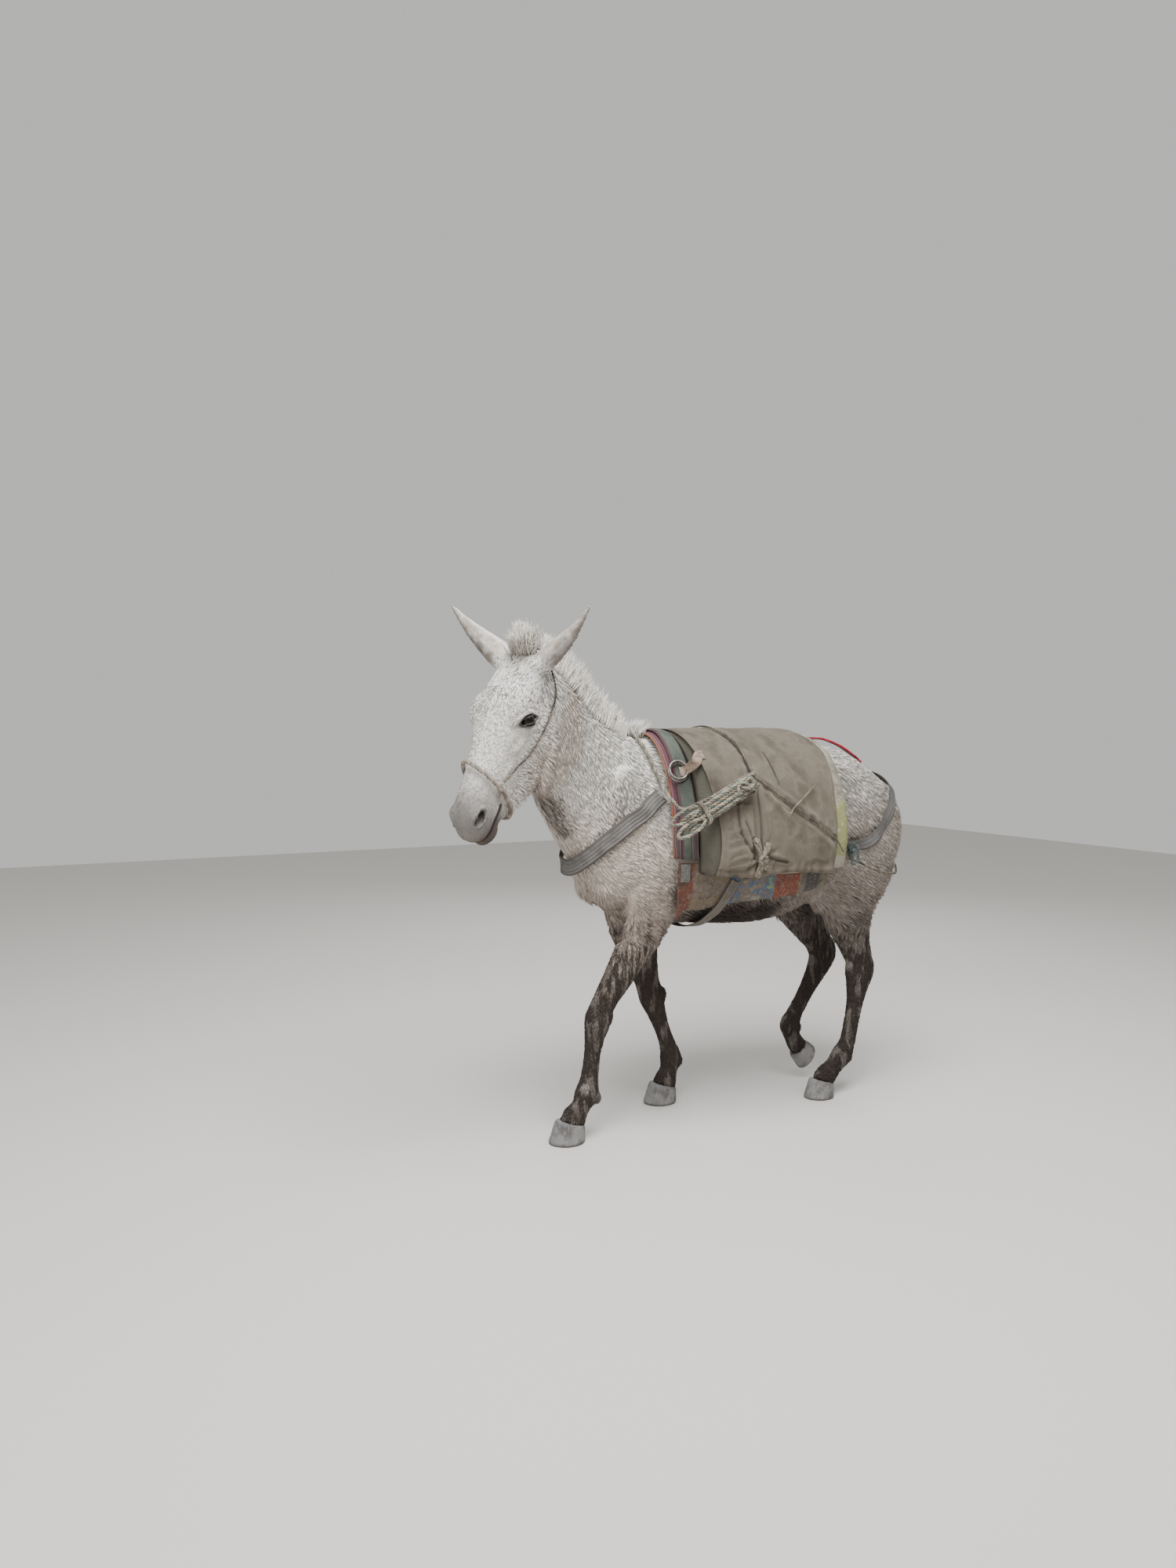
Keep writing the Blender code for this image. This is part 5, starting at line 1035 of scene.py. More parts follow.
def tufts(name, numbers, count, length, width, slope, keep=None, size_at=None):
    """A piece of coat: tufts on the open skin, drawn longer or shorter by place."""
    spare = 1.35 if NECK in numbers or TORSO in numbers else 1.08
    roots, facing, regions = scattered(numbers, int(count * spare), keep)
    open_here = cover(roots, facing, over_coat, PACK_REACH) > PACK_REACH - 0.0005
    off = roots - PACK_MIDDLE
    turned = np.degrees(np.arctan2(np.abs(off[:, 0]), off[:, 2]))
    open_here &= ((turned < 96) | (turned > liner_end(off[:, 1]) - 2.5)
                  | (off[:, 1] < -0.250) | (off[:, 1] > 0.346))
    roots, facing, regions = roots[open_here][:count], facing[open_here][:count], regions[open_here][:count]
    free = np.minimum(1.0, cover(roots, facing, on_coat, STRAP_REACH) / STRAP_GAP)
    free = np.where(free >= 1, 1.0, PRESSED)
    lie = lie_of(roots, facing, regions)
    size = draw.uniform(0.70, 1.30, len(roots)) * free
    if size_at is not None:
        size = size * size_at(roots)
    angle = np.radians(slope) * draw.uniform(0.4, 1.6, len(roots)) * free
    reach = (length * size)[:, None]
    depth = (COAT_DEPTHS[regions] * draw.uniform(0.75, 1.15, len(roots)) * free)[:, None]
    rise = np.minimum(np.sin(angle)[:, None] * reach, depth * np.maximum(size, 1)[:, None] ** 1.5)
    start = roots - facing * 0.0010
    bend = start + lie * reach * 0.52 + facing * rise * 1.05
    tip = start + lie * reach + facing * (rise * 0.80 + 0.0006)
    wide = width * draw.uniform(0.75, 1.25, len(roots)) * np.sqrt(size)
    places = unwrapped(roots, facing, regions)
    obj = add_hair(name, (start, bend, tip), wide, 0.42, facing, places, roots=roots)
    ear, ear_low = ear_shares(roots, regions)
    marks = {"mark": dark_skin_and_shade(roots), "ear": ear, "ear_low": ear_low}
    step = len(obj.data.vertices) // len(roots)
    mark_points(obj, **{key: np.repeat(values, step) for key, values in marks.items()})
    coat_hair.paint(obj)
    "leg_coat" if "legs" in name else "coat"


def face_size(points):
    """Hair gets longer from the muzzle to the cheeks, and longest under the jaw."""
    head = to_head(points)
    size = np.interp(head[:, 0], (0.18, 0.36, 0.50, 0.58), (1.1, 0.95, 0.55, 0.40))
    jaw = np.clip((-head[:, 2] - 0.10) / 0.09, 0, 1) * np.clip((0.52 - head[:, 0]) / 0.10, 0, 1)
    near_eye = np.minimum(*[np.linalg.norm(head - EYE * (1, side, 1), axis=1) for side in (1, -1)])
    bare = 1 - 0.72 * np.clip(dark_skin_and_shade(points) * 1.5, 0, 1)
    return size * bare * (1 + 2.1 * jaw) * np.clip((near_eye - 0.026) / 0.03, 0.30, 1)


def leg_size(points):
    return np.interp(points[:, 2], (0.08, 0.20, 0.40, 0.62), (0.85, 0.75, 0.80, 0.95))


def body_size(points):
    """Longer on the breast and belly."""
    low = np.clip((0.85 - points[:, 2]) / 0.12, 0, 1)
    return 1 - 0.35 * low + 0.45 * low * np.clip((points[:, 1] + 0.14) / 0.08, 0, 1)


SIZES = {"coat_head": face_size, "coat_forelegs": leg_size, "coat_hindlegs": leg_size, "coat_ears": None}
for name, settings in COATS.items():
    keep = None
    if name.endswith("_left"):
        keep = lambda middle: middle[:, 0] > -MIDDLE.x
    elif name.endswith("_right"):
        keep = lambda middle: middle[:, 0] <= -MIDDLE.x
    tufts(name, *settings, keep, SIZES.get(name, body_size))


# Mane, forelock and tail: coarse cream hair, clipped to stand up along the crest, a loose tuft
# between the ears, and long grey-brown hair on a short dock. They grow from the neck, poll and rump.
CREST_LINE = ((0.150, -0.738, 1.628), (0.118, -0.655, 1.580), (0.085, -0.575, 1.512), (0.043, -0.480, 1.432),
              (0.014, -0.385, 1.388), (0.004, -0.346, 1.374))
MANE_HEIGHTS = (0.088, 0.100, 0.106, 0.100, 0.076, 0.036)
MANE_LOCKS, FORELOCK_LOCKS, TAIL_LOCKS, WITHERS_LOCKS = 3700, 1300, 1600, 260
LOCK_FLAT = 0.38
# The tail's middle line, with its half width and half depth at each place
TAIL_LINE = (
    (0.000, 0.770, 1.180, 0.030, 0.028), (0.000, 0.826, 1.115, 0.032, 0.025),
    (0.000, 0.834, 1.030, 0.034, 0.024), (0.000, 0.824, 0.930, 0.040, 0.025),
    (0.000, 0.790, 0.830, 0.044, 0.028), (0.000, 0.742, 0.740, 0.040, 0.028),
    (0.000, 0.698, 0.660, 0.030, 0.022), (0.000, 0.672, 0.590, 0.012, 0.010),
)


def long_hair(name, light, dark, roughness=0.55):
    """Locks that darken to their roots, each in its own shade."""
    made = Finish(name, roughness, specular_ior_level=0.25)
    shade, share = made.value("shade"), made.value("share")
    patch = made.value("root", 1).noise(26.0, 2.0)
    color = (shade * 0.65 + patch * 0.7).between(0.45, 1.15).mix(light, dark)
    color = (share.between(0.40, 0.0) * 0.30).mix(color, [c * 0.5 for c in dark])
    made.feed(color)
    return made


def crest_at(share):
    """Place, height, way along, aside and up at shares of the crest's length."""
    rows = eased(np.concatenate((placed(*CREST_LINE), np.array(MANE_HEIGHTS)[:, None]), 1), 24)
    spot = share * (len(rows) - 1)
    row = np.stack([np.interp(spot, np.arange(len(rows)), rows[:, k]) for k in range(4)], 1)
    ways = unit(np.gradient(rows[:, :3], axis=0))
    along = np.stack([np.interp(spot, np.arange(len(rows)), ways[:, k]) for k in range(3)], 1)
    aside = unit(np.cross(along, (0, 0, 1)))
    return row[:, :3], row[:, 3], along, aside, np.cross(aside, along)


share = draw.random(MANE_LOCKS) * 0.985
place, height, along, aside, up = crest_at(share)
across = draw.uniform(-1, 1, MANE_LOCKS)
wave = 0.16 * np.sin(share * 57) + 0.10 * np.sin(share * 131 + 1)
lean = draw.normal(0.02, 0.13, MANE_LOCKS) + wave
tufty = 0.12 * np.sin(share * 173 + 0.9 * across) * np.sin(share * 61)
reach = height * (draw.uniform(0.55, 1.16, MANE_LOCKS) + tufty) * (1 - 0.22 * across ** 2)
root = place + aside * (across * 0.026)[:, None] - up * (0.004 + 0.017 * across ** 2)[:, None]
bend = (root + up * (reach * 0.55)[:, None] + aside * (across * 0.012)[:, None]
        + along * (reach * lean * 0.3)[:, None])
side_lean = -across * 0.019 + draw.normal(0, 0.008, MANE_LOCKS) + 0.010 * np.sin(share * 83)
tip = root + up * reach[:, None] + along * (reach * lean)[:, None] + aside * side_lean[:, None]
width = draw.uniform(0.0020, 0.0047, MANE_LOCKS)
facing = unit(aside * np.sign(across + 1e-6)[:, None] + along * draw.normal(0, 0.6, MANE_LOCKS)[:, None])
mane = add_hair("mane_hair", (root, bend, tip), width, LOCK_FLAT, facing,
                unwrapped(root, up, np.full(MANE_LOCKS, NECK)), 4)
cream_hair = long_hair("cream_hair", (0.70, 0.67, 0.61), (0.43, 0.385, 0.335))
cream_hair.paint(mane)
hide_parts("mane")

# The mane's last tuft stands alone on the withers, between the rope and the blanket
root = placed((0.0, -0.300, 1.362))[0] + draw.normal(0, 1, (WITHERS_LOCKS, 3)) * (0.011, 0.016, 0.0)
reach = draw.uniform(0.030, 0.078, WITHERS_LOCKS)[:, None]
fan = (draw.normal(0, 0.22, WITHERS_LOCKS), draw.normal(0.15, 0.30, WITHERS_LOCKS), np.ones(WITHERS_LOCKS))
fan = unit(np.stack(fan, 1))
width = draw.uniform(0.0022, 0.0048, WITHERS_LOCKS)
facing = unit(draw.normal(0, 1, (WITHERS_LOCKS, 3)))
line = (root, root + fan * reach * 0.5, root + (fan + (0, 0.15, 0)) * reach)
withers = add_hair("withers_tuft", line, width, 0.4, facing,
                   unwrapped(root, fan, np.full(WITHERS_LOCKS, NECK)), 3)
cream_hair.paint(withers)

# The forelock springs up between the ears and leans to the left
forward = draw.uniform(-0.050, 0.012, FORELOCK_LOCKS)
across = draw.normal(0.009, 0.017, FORELOCK_LOCKS)
reach = draw.uniform(0.40, 1.15, FORELOCK_LOCKS) * (0.104 - 0.55 * np.abs(across - 0.009))
back = draw.uniform(-0.004, 0.022, FORELOCK_LOCKS)
root = on_head(np.stack((forward, across, np.full(FORELOCK_LOCKS, -0.004)), 1))
bend = on_head(np.stack((forward - back * 0.2, across * 1.15 + 0.006, reach * 0.55), 1))
spread = across * 1.35 + draw.normal(0.020, 0.008, FORELOCK_LOCKS)
tip = on_head(np.stack((forward - back, spread, reach), 1))
width = draw.uniform(0.0020, 0.0048, FORELOCK_LOCKS)
facing = unit(draw.normal(0, 0.5, (FORELOCK_LOCKS, 3)) + HEAD_WAYS[0])
forelock = add_hair("forelock_hair", (root, bend, tip), width, LOCK_FLAT, facing,
                    unwrapped(root, facing, np.full(FORELOCK_LOCKS, HEAD)), 4)
cream_hair.paint(forelock)
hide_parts("forelock")

# The tail's locks start all round the dock and overlap down to its end
tail_rows = np.array(TAIL_LINE)
tail_rows[:, :3] = placed(*TAIL_LINE)
tail_rows = eased(tail_rows, 24)
tail_back = unit(np.cross((1.0, 0.0, 0.0), np.gradient(tail_rows[:, :3], axis=0)))
last = len(tail_rows) - 1


def round_tail(spot, turn, reach):
    """Places round the tail's middle line, with the way to the back there."""
    row = np.stack([np.interp(spot, np.arange(last + 1), tail_rows[:, k]) for k in range(5)], 1)
    back = np.stack([np.interp(spot, np.arange(last + 1), tail_back[:, k]) for k in range(3)], 1)
    off = (row[:, 3] * reach * np.cos(turn))[:, None] * np.array((1.0, 0, 0))
    return row[:, :3] + off + back * (row[:, 4] * reach * np.sin(turn))[:, None], back


start = draw.random(TAIL_LOCKS) ** 0.8 * last * 0.80
end = np.minimum(start + draw.uniform(0.22, 0.42, TAIL_LOCKS) * last, last)
turn = draw.uniform(0, 2 * math.pi, TAIL_LOCKS)
inner = draw.uniform(0.55, 0.90, TAIL_LOCKS)
root, back = round_tail(start, turn, inner)
bend, _ = round_tail((start + end) / 2, turn + draw.normal(0, 0.12, TAIL_LOCKS), inner + 0.28)
tip, _ = round_tail(end, turn + draw.normal(0, 0.22, TAIL_LOCKS), inner * 0.9 + 0.15)
width = draw.uniform(0.004, 0.009, TAIL_LOCKS)
out = np.stack((np.cos(turn), np.zeros(TAIL_LOCKS), np.zeros(TAIL_LOCKS)), 1)
out = unit(out + back * np.sin(turn)[:, None])
tail_map = np.stack((0.02 + 0.3 * turn / 2 / math.pi, 0.02 + 0.3 * start / last), 1)
tail = add_hair("tail_hair", (root, bend, tip), width, LOCK_FLAT, out, tail_map, 5)
core_rings, core_turns = [], np.arange(16) * math.pi / 8
for i in range(0, last + 1, 6):
    reach = 0.80 if i < last * 0.9 else 0.4
    core_rings.append(round_tail(np.full(16, float(i)), core_turns, np.full(16, reach))[0])
tail_core = add_piece("tail_dock", *lofted(core_rings))
tail_paint = long_hair("tail_hair", (0.21, 0.175, 0.145), (0.085, 0.066, 0.055))
tail_paint.paint(tail, tail_core)
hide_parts("tail")
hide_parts("tail")


# Eyes: nearly black, wet, with a level slot of a pupil. Thick dark lids close round them, with a fold
# above the upper one and a row of pale lashes.
EYE_RADIUS = 0.024
# The lid's rows from its rim out: how large, how far lifted and how high its opening is
LID_ROWS = (
    (0.96, 0.0000, 0.60), (1.00, 0.0014, 0.66), (1.05, 0.0032, 0.76), (1.12, 0.0038, 0.88),
    (1.22, 0.0028, 0.98), (1.34, 0.0012, 1.05), (1.48, -0.0008, 1.10),
)
LASH_COUNT, LASH_WIDTH = 46, 0.0011
head_tree = BVHTree.FromPolygons(skin_points.tolist(), skin_faces.tolist())


def eye_material():
    """A dark iris with faint rays, round a level slot."""
    made = Finish("eye_wet", 0.14, coat_weight=0.0, ior=1.28)
    slot = abs(made.value("high")).between(0.0045, 0.0030) * abs(made.value("wide")).between(0.011, 0.0085)
    made.feed(layered(
        made.value("axis").between(0.86, 0.80).mix((0.006, 0.0035, 0.0025), (0.013, 0.009, 0.008)),
        (made.place.noise(600.0, 2.0).between(0.45, 0.7) * 0.4, (0.022, 0.012, 0.007)),
        (slot, (0.003, 0.003, 0.004)),
    ))
    return made


eye_wet = eye_material()
lid_skin = Finish("lid_skin", 0.45, coat_weight=0.12, coat_roughness=0.4)
crease = lid_skin.place.noise(500.0, 2.0)
color = crease.between(0.3, 0.75).mix((0.016, 0.013, 0.012), (0.045, 0.038, 0.035))
color = lid_skin.value("share").between(0.66, 1.0).mix(color, (0.34, 0.32, 0.30))
lid_skin.feed(color, None, crease, 0.4, 0.0006)
lashes = Finish("lashes", 0.5)
lashes.feed(lashes.value("share").mix((0.05, 0.042, 0.038), (0.40, 0.37, 0.33)))
for side, label in SIDES:
    out, along, up = lid_ways(side)
    middle = EYE * (1, side, 1)
    rings = []
    for k in range(25):
        lean = math.pi * k / 24
        bulge = 1.0 + 0.055 * math.exp(-(lean / 0.42) ** 2)
        ring = []
        for turn in 2 * math.pi * np.arange(40) / 40:
            flat = along * math.cos(turn) + up * math.sin(turn) * side
            way = out * math.cos(lean) + flat * max(math.sin(lean), 0.004)
            ring.append(middle + way * EYE_RADIUS * bulge)
        rings.append(on_head(ring))
    points, quads, ends = lofted(rings)
    ball = add_piece("eyeball_" + label, points, quads, ends)
    off = to_head(points) - middle
    mark_points(ball, axis=off @ (out / EYE_RADIUS), wide=off @ along, high=off @ up)
    eye_wet.paint(ball)
    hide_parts("eye_" + label)

    rows = []
    for grow, lift, slim in LID_ROWS:
        row = []
        for place in opening(side, grow, 64, slim):
            flat = place - middle
            flat_length = np.linalg.norm(flat)
            over_ball = math.sqrt(max((EYE_RADIUS * 1.02) ** 2 - flat_length ** 2, 0.0))
            start = on_head([place + out * 0.08])[0]
            near = head_tree.ray_cast(Vector(start), Vector(-(out @ HEAD_WAYS)), 0.12)[3] or 0.07
            over_skin = 0.08 - near
            if grow < 1.08:
                level = max(over_ball, over_skin - 0.004 if grow > 1.02 else 0.0)
            else:
                level = max(over_skin, over_ball * (1.3 - grow) / 0.3 if grow < 1.3 else over_skin)
            row.append(place + out * (level + lift))
        rows.append(on_head(row))
    # The lid's rows close on themselves, so the tube's own ends are left out
    count = len(rows[0])
    rows = np.array(rows)
    for _ in range(3):
        rows[1:-1] = rows[1:-1] * 0.5 + (np.roll(rows[1:-1], 1, 1) + np.roll(rows[1:-1], -1, 1)) * 0.25
    inner = rows[::-1] - (out @ HEAD_WAYS) * 0.0022
    points, quads, _ = lofted(np.concatenate((rows, inner)), True)
    lids = add_piece("lids_" + label, points, quads)
    share = np.arange(len(LID_ROWS)) / (len(LID_ROWS) - 1)
    mark_points(lids, share=np.repeat(np.concatenate((share, share[::-1])), count))
    lid_skin.paint(lids)

    sign = 1.0 if up[2] > 0 else -1.0
    turns = draw.uniform(0.12, 0.88, LASH_COUNT) * math.pi * sign
    flat = np.cos(turns)[:, None] * along * EYE_HALF_LENGTH
    flat = flat + np.abs(np.sin(turns) ** 1.4)[:, None] * up * EYE_HALF_HEIGHT * sign
    over_ball = np.sqrt(np.maximum(EYE_RADIUS ** 2 - (flat ** 2).sum(1), 0.0))[:, None]
    root = middle + flat * 1.02 + out * over_ball + out * 0.003
    reach = draw.uniform(0.010, 0.021, LASH_COUNT)[:, None]
    fan = unit(flat + out * 0.012 - up * sign * 0.004)
    bend = root + (out * 0.8 + fan * 0.5) * reach * 0.6
    tip = bend + (out * 0.55 - up * sign * 0.45 + fan * 0.3) * reach * 0.6
    places = unwrapped(on_head(root), np.tile(head_y * side, (LASH_COUNT, 1)), np.full(LASH_COUNT, HEAD))
    hair = add_hair("lashes_" + label, (on_head(root), on_head(bend), on_head(tip)),
                    np.full(LASH_COUNT, LASH_WIDTH), 1.0, np.tile(head_x, (LASH_COUNT, 1)), places, 3)
    lashes.paint(hair)


# Hooves: slate-grey horn, dusty, with growth rings, worn paler at the toe and dark at the lower rim.
# The coronet's hair falls over their upper edge.
horn = Finish("horn", 0.62)
z = horn.place.parts()[2]
tone, grit = horn.place.noise(22.0, 4.0), horn.place.noise(260.0, 3.0)
growth = (z * 900.0 + horn.place.noise(18.0, 2.0) * 14.0).sine()
streaks = horn.place.stretched(1, 1, 0.12).noise(160.0, 2.0)
color = layered(
    tone.between(0.38, 0.64).mix((0.19, 0.185, 0.18), (0.085, 0.080, 0.076)),
    (streaks.between(0.55, 0.7) * 0.5, (0.28, 0.275, 0.265)),
    (z.between(0.014, 0.002) * 0.65, (0.060, 0.052, 0.046)),
    (grit.between(0.55, 0.8) * 0.35, (0.30, 0.29, 0.275)),
)
horn.feed(color, 0.55 + grit * 0.25, growth * 0.35 + grit * 0.7, 0.5, 0.0012)


def softened(names, voxel, rounds, reach=0.0):
    """CAD nodes as one rounded shape of small faces."""
    points, faces = remeshed(*swollen(names, reach), voxel)
    return relaxed(points, edges_of(faces), rounds), faces


for name in ("hoof_fore_left", "hoof_fore_right", "hoof_hind_left", "hoof_hind_right"):
    points, faces = softened([name], 0.0030, 5, 0.0004)
    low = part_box(name)[0].z
    points[:, 2] = np.maximum(points[:, 2], low)
    hoof = add_piece(name.replace("hoof", "horn"), points, faces)
    horn.paint(hoof)
    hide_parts(name)


# Halter: a noseband of three-strand rope, knotted at both cheeks, and a thin dark cord that is tied to
# it and runs over the poll, behind the ears.
NOSEBAND = (
    (0.414, 0.000, 0.002), (0.430, 0.034, -0.012), (0.440, 0.053, -0.050), (0.438, 0.056, -0.085),
    (0.446, 0.049, -0.130), (0.456, 0.034, -0.190), (0.458, 0.000, -0.222), (0.452, -0.034, -0.190),
    (0.436, -0.049, -0.130), (0.424, -0.056, -0.085), (0.410, -0.053, -0.050), (0.400, -0.034, -0.012),
)
NOSE_KNOT = np.array((0.438, 0.056, -0.080))
CROWN = (
    (0.412, 0.058, -0.090), (0.346, 0.061, -0.112), (0.285, 0.066, -0.138), (0.205, 0.078, -0.146),
    (0.112, 0.086, -0.140), (0.036, 0.082, -0.118), (-0.036, 0.066, -0.054), (-0.058, 0.036, 0.000),
    (-0.062, 0.000, 0.010),
)
NOSE_ROPE, CROWN_CORD = 0.0070, 0.0036


flesh_tree = tree_of("head", "neck")
nose_line, _ = cling(on_head(NOSEBAND + NOSEBAND[:1]), 0.012, NOSE_ROPE + 0.0045, flesh_tree, 10)
nose_line = evenly(eased(nose_line, 6), 0.003)
parts = strands(nose_line, NOSE_ROPE, 0.036)
for side, back in ((1, 0.0), (-1, 0.014)):
    place = on_head((NOSE_KNOT - (back, 0, 0)) * (1, side, 1))
    near, normal, _, _ = flesh_tree.find_nearest(Vector(place))
    out = np.array(normal)
    first = unit(head_x * math.cos(0.87) - HEAD_WAYS[2] * math.sin(0.87))
    first = unit(first - out * (first @ out))
    ways = np.stack((first, np.cross(out, first), out))
    parts += knotted(np.array(near) + out * 0.0125, ways, (0.019, 0.014, 0.011), 0.0058)
    tail_line = np.array(near) + out * 0.010 + np.outer(np.linspace(0, 1, 12), first * 0.030)
    tail_line = tail_line - np.outer(np.linspace(0, 1, 12) ** 2, (0, 0, 0.014))
    parts += strands(evenly(tail_line, 0.003), 0.0045, 0.03)
noseband = add_strands("halter_rope", parts)
halter_rope = rope_finish("halter_rope", (0.42, 0.33, 0.29), (0.17, 0.135, 0.115), (0.23, 0.235, 0.185))
halter_rope.paint(noseband)
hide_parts("halter_noseband")

crown_line, _ = cling(on_head(both_sides(CROWN, 1)), 0.018, CROWN_CORD + 0.0028, flesh_tree, 8)
crown = add_rope("halter_cord", evenly(eased(crown_line, 6), 0.0035), CROWN_CORD, 0.022, 2)
dark_cord = rope_finish("dark_cord", (0.13, 0.105, 0.085), (0.045, 0.037, 0.031), (0.21, 0.175, 0.13))
dark_cord.paint(crown)
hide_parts("halter_crown")


# Straps over the hide: the grey ribbed breast strap with a rolled lower edge, and the wide breeching
# band. Both are old woven belt, sewn, and tied to the pack on each side.
BREAST_LINE = (
    (0.176, -0.294, 1.166), (0.172, -0.330, 1.137), (0.166, -0.386, 1.093), (0.144, -0.443, 1.041),
    (0.107, -0.500, 0.984), (0.060, -0.548, 0.938), (0.000, -0.574, 0.920),
)
BAND_LINE = (
    (0.262, 0.425, 0.968), (0.240, 0.541, 0.975), (0.226, 0.605, 1.005), (0.208, 0.672, 1.075),
    (0.178, 0.712, 1.150), (0.110, 0.735, 1.215), (0.000, 0.740, 1.245),
)


def add_belt(name, rows, width, thick, ribs=0, rib_height=0.0008, roll=0.0, wave=0.0, samples=23):
    """A woven belt along rows of place and facing: raised ribs lengthwise, and a rolled edge if any."""
    line = rows[:, :3]
    _, across, out = frames_along(line, rows[:, 3:])
    share = np.linspace(-1, 1, samples)
    body = thick / 2 * np.sqrt(np.clip(1.06 - share ** 8, 0.12, 1))
    upper = body + rib_height * np.cos(share * math.pi * ribs) * (ribs > 0)
    upper = upper + roll * np.exp(-((share - 0.86) / 0.13) ** 2)
    place = np.concatenate((share, share[::-1][1:-1]))
    high = np.concatenate((upper, -body[::-1][1:-1]))
    run = run_of(line)
    ripple = wave * np.sin(run * 41 + 0.7) * np.sin(run * 17)
    ring = line[:, None] + across[:, None] * (place * width / 2)[None, :, None]
    ring = ring + out[:, None] * (high[None, :] + ripple[:, None] * place[None, :])[:, :, None]
    obj = add_piece(name, *lofted(ring))
    mark_points(obj, across=np.concatenate((np.tile(place, len(line)), (0.0, 0.0))),
                run=np.concatenate((np.repeat(run, len(place)), (0.0, run[-1]))))
    return obj


def woven(name, base, dark, edge, pitch=0.0022, edge_at=0.82, stitch=None):
    """A woven belt: yarns along and across, dirt in patches, darker edges and a row of stitches."""
    made = Finish(name, 0.85)
    across, run = made.value("across"), made.value("run")
    weft, warp = (run * (2 * math.pi / pitch)).sine(), (across * 62.0).sine()
    dirt, fuzz = made.place.noise(28.0, 4.0), made.place.noise(520.0, 2.0)
    color = dirt.between(0.38, 0.68).mix(base, dark)
    color = ((weft * warp) * 0.5 + 0.5).between(0.2, 1.0).mix(darker(dark, 0.72), color)
    side = abs(across)
    color = (side.between(edge_at, edge_at + 0.08) * 0.85).mix(color, edge)
    if stitch is not None:
        dash = (run * (2 * math.pi / 0.007)).sine().between(-0.1, 0.3)
        row = side.between(edge_at - 0.13, edge_at - 0.09) * side.between(edge_at - 0.02, edge_at - 0.06)
        color = (dash * row * 0.8).mix(color, stitch)
    rib = (across * 15.0 + dirt * 2.0).sine()
    color = layered(
        color,
        (rib.between(0.2, 0.9) * 0.40, darker(dark, 0.55)),
        (fuzz.between(0.55, 0.8) * 0.22, darker(base, 1.6)),
    )
    made.feed(color, None, weft * warp * 0.5 + fuzz, 0.55, 0.0010)
    return made


trunk_tree = tree_of("neck", "torso")
over_tree = tree_of("neck", "torso", *PACK, *LINERS)
BREAST_LIFT, BAND_LIFT = 0.0025 + 0.012, 0.008
line, facing = cling(placed(*both_sides(BREAST_LINE)), 0.042, BREAST_LIFT, over_tree, 14)
rows = evenly(eased(np.concatenate((line, facing), 1), 8), 0.006)
breast = add_belt("breast_belt", rows, 0.056, 0.0055, ribs=5, rib_height=0.0009, roll=0.0040, wave=0.0022,
                  samples=31)
grey_belt = woven("grey_belt", (0.225, 0.215, 0.205), (0.105, 0.096, 0.088), (0.060, 0.052, 0.047),
                  pitch=0.0035, edge_at=0.72)
grey_belt.paint(breast)
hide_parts("breast_strap")

line, facing = cling(placed(*both_sides(BAND_LINE)), 0.045, BAND_LIFT, trunk_tree, 8)
rows = evenly(eased(np.concatenate((line, facing), 1), 8), 0.006)
breeching = add_belt("breeching_belt", rows, 0.042, 0.0042, ribs=3, rib_height=0.0005, wave=0.0016)
rump_belt = woven("rump_belt", (0.20, 0.195, 0.19), (0.10, 0.094, 0.088), (0.055, 0.047, 0.042), edge_at=0.74)
rump_belt.paint(breeching)
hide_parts("breeching_band")


# Pack saddle: a striped blanket, a woven padded band at the front and burlap pads stuffed with straw,
# all lying over the back. Each is made in rays from a line along the back, as the solids are.
CANVAS_PROFILE = np.array((
    (0.0, 0.397), (12.5, 0.397), (25.0, 0.394), (37.5, 0.388), (50.0, 0.378), (62.5, 0.364),
    (75.0, 0.352), (87.5, 0.345), (100.0, 0.341), (109.0, 0.338),
))
BLANKET_LIFT, BLANKET_THICK, BAND_THICK, CANVAS_THICK = 0.009, 0.009, 0.010, 0.004
PAD_LIFT = BLANKET_LIFT + BLANKET_THICK + 0.0012
# The angles round the back at which blanket and canvas end, and an angle's length at the canvas
FAN_EDGE, HEM_ANGLE, METRES_A_DEGREE = 100.0, 109.0, 0.0062
# The blanket's stripes: where each starts along the back, and its colour
BLANKET_STRIPES = (
    (-0.2555, (0.075, 0.060, 0.072)), (-0.2605, (0.30, 0.085, 0.095)),
    (-0.2650, (0.085, 0.070, 0.085)), (-0.2690, (0.40, 0.15, 0.055)),
)


def profile(degrees):
    return np.interp(np.abs(degrees), CANVAS_PROFILE[:, 0], CANVAS_PROFILE[:, 1])


def ray(y, degrees, reach):
    """Places from their rows along the back, their angles from straight up and their way out."""
    y, turn, reach = np.broadcast_arrays(np.asarray(y, float), np.radians(degrees), reach)
    off = np.stack((np.sin(turn) * reach, y, np.cos(turn) * reach), -1)
    return PACK_MIDDLE + off


def reach_over(tree, y, degrees):
    """How far out a surface lies on rays from the pack's axis."""
    made = np.zeros(y.shape)
    for index in np.ndindex(y.shape):
        start, end = ray(y[index], degrees[index], 0.9), ray(y[index], degrees[index], 0.0)
        hit = tree.ray_cast(Vector(start), Vector(unit(end - start)))
        made[index] = np.linalg.norm(np.array(hit[0]) - end) if hit[0] else np.nan
    return made


def pads_end(degrees):
    return 0.336 + 0.055 * np.minimum(1.0, np.sin(np.radians(np.abs(degrees))) / 0.6)


def canvas_start(degrees):
    return -0.187 + 0.030 * np.sin(np.radians(np.abs(degrees))) ** 6


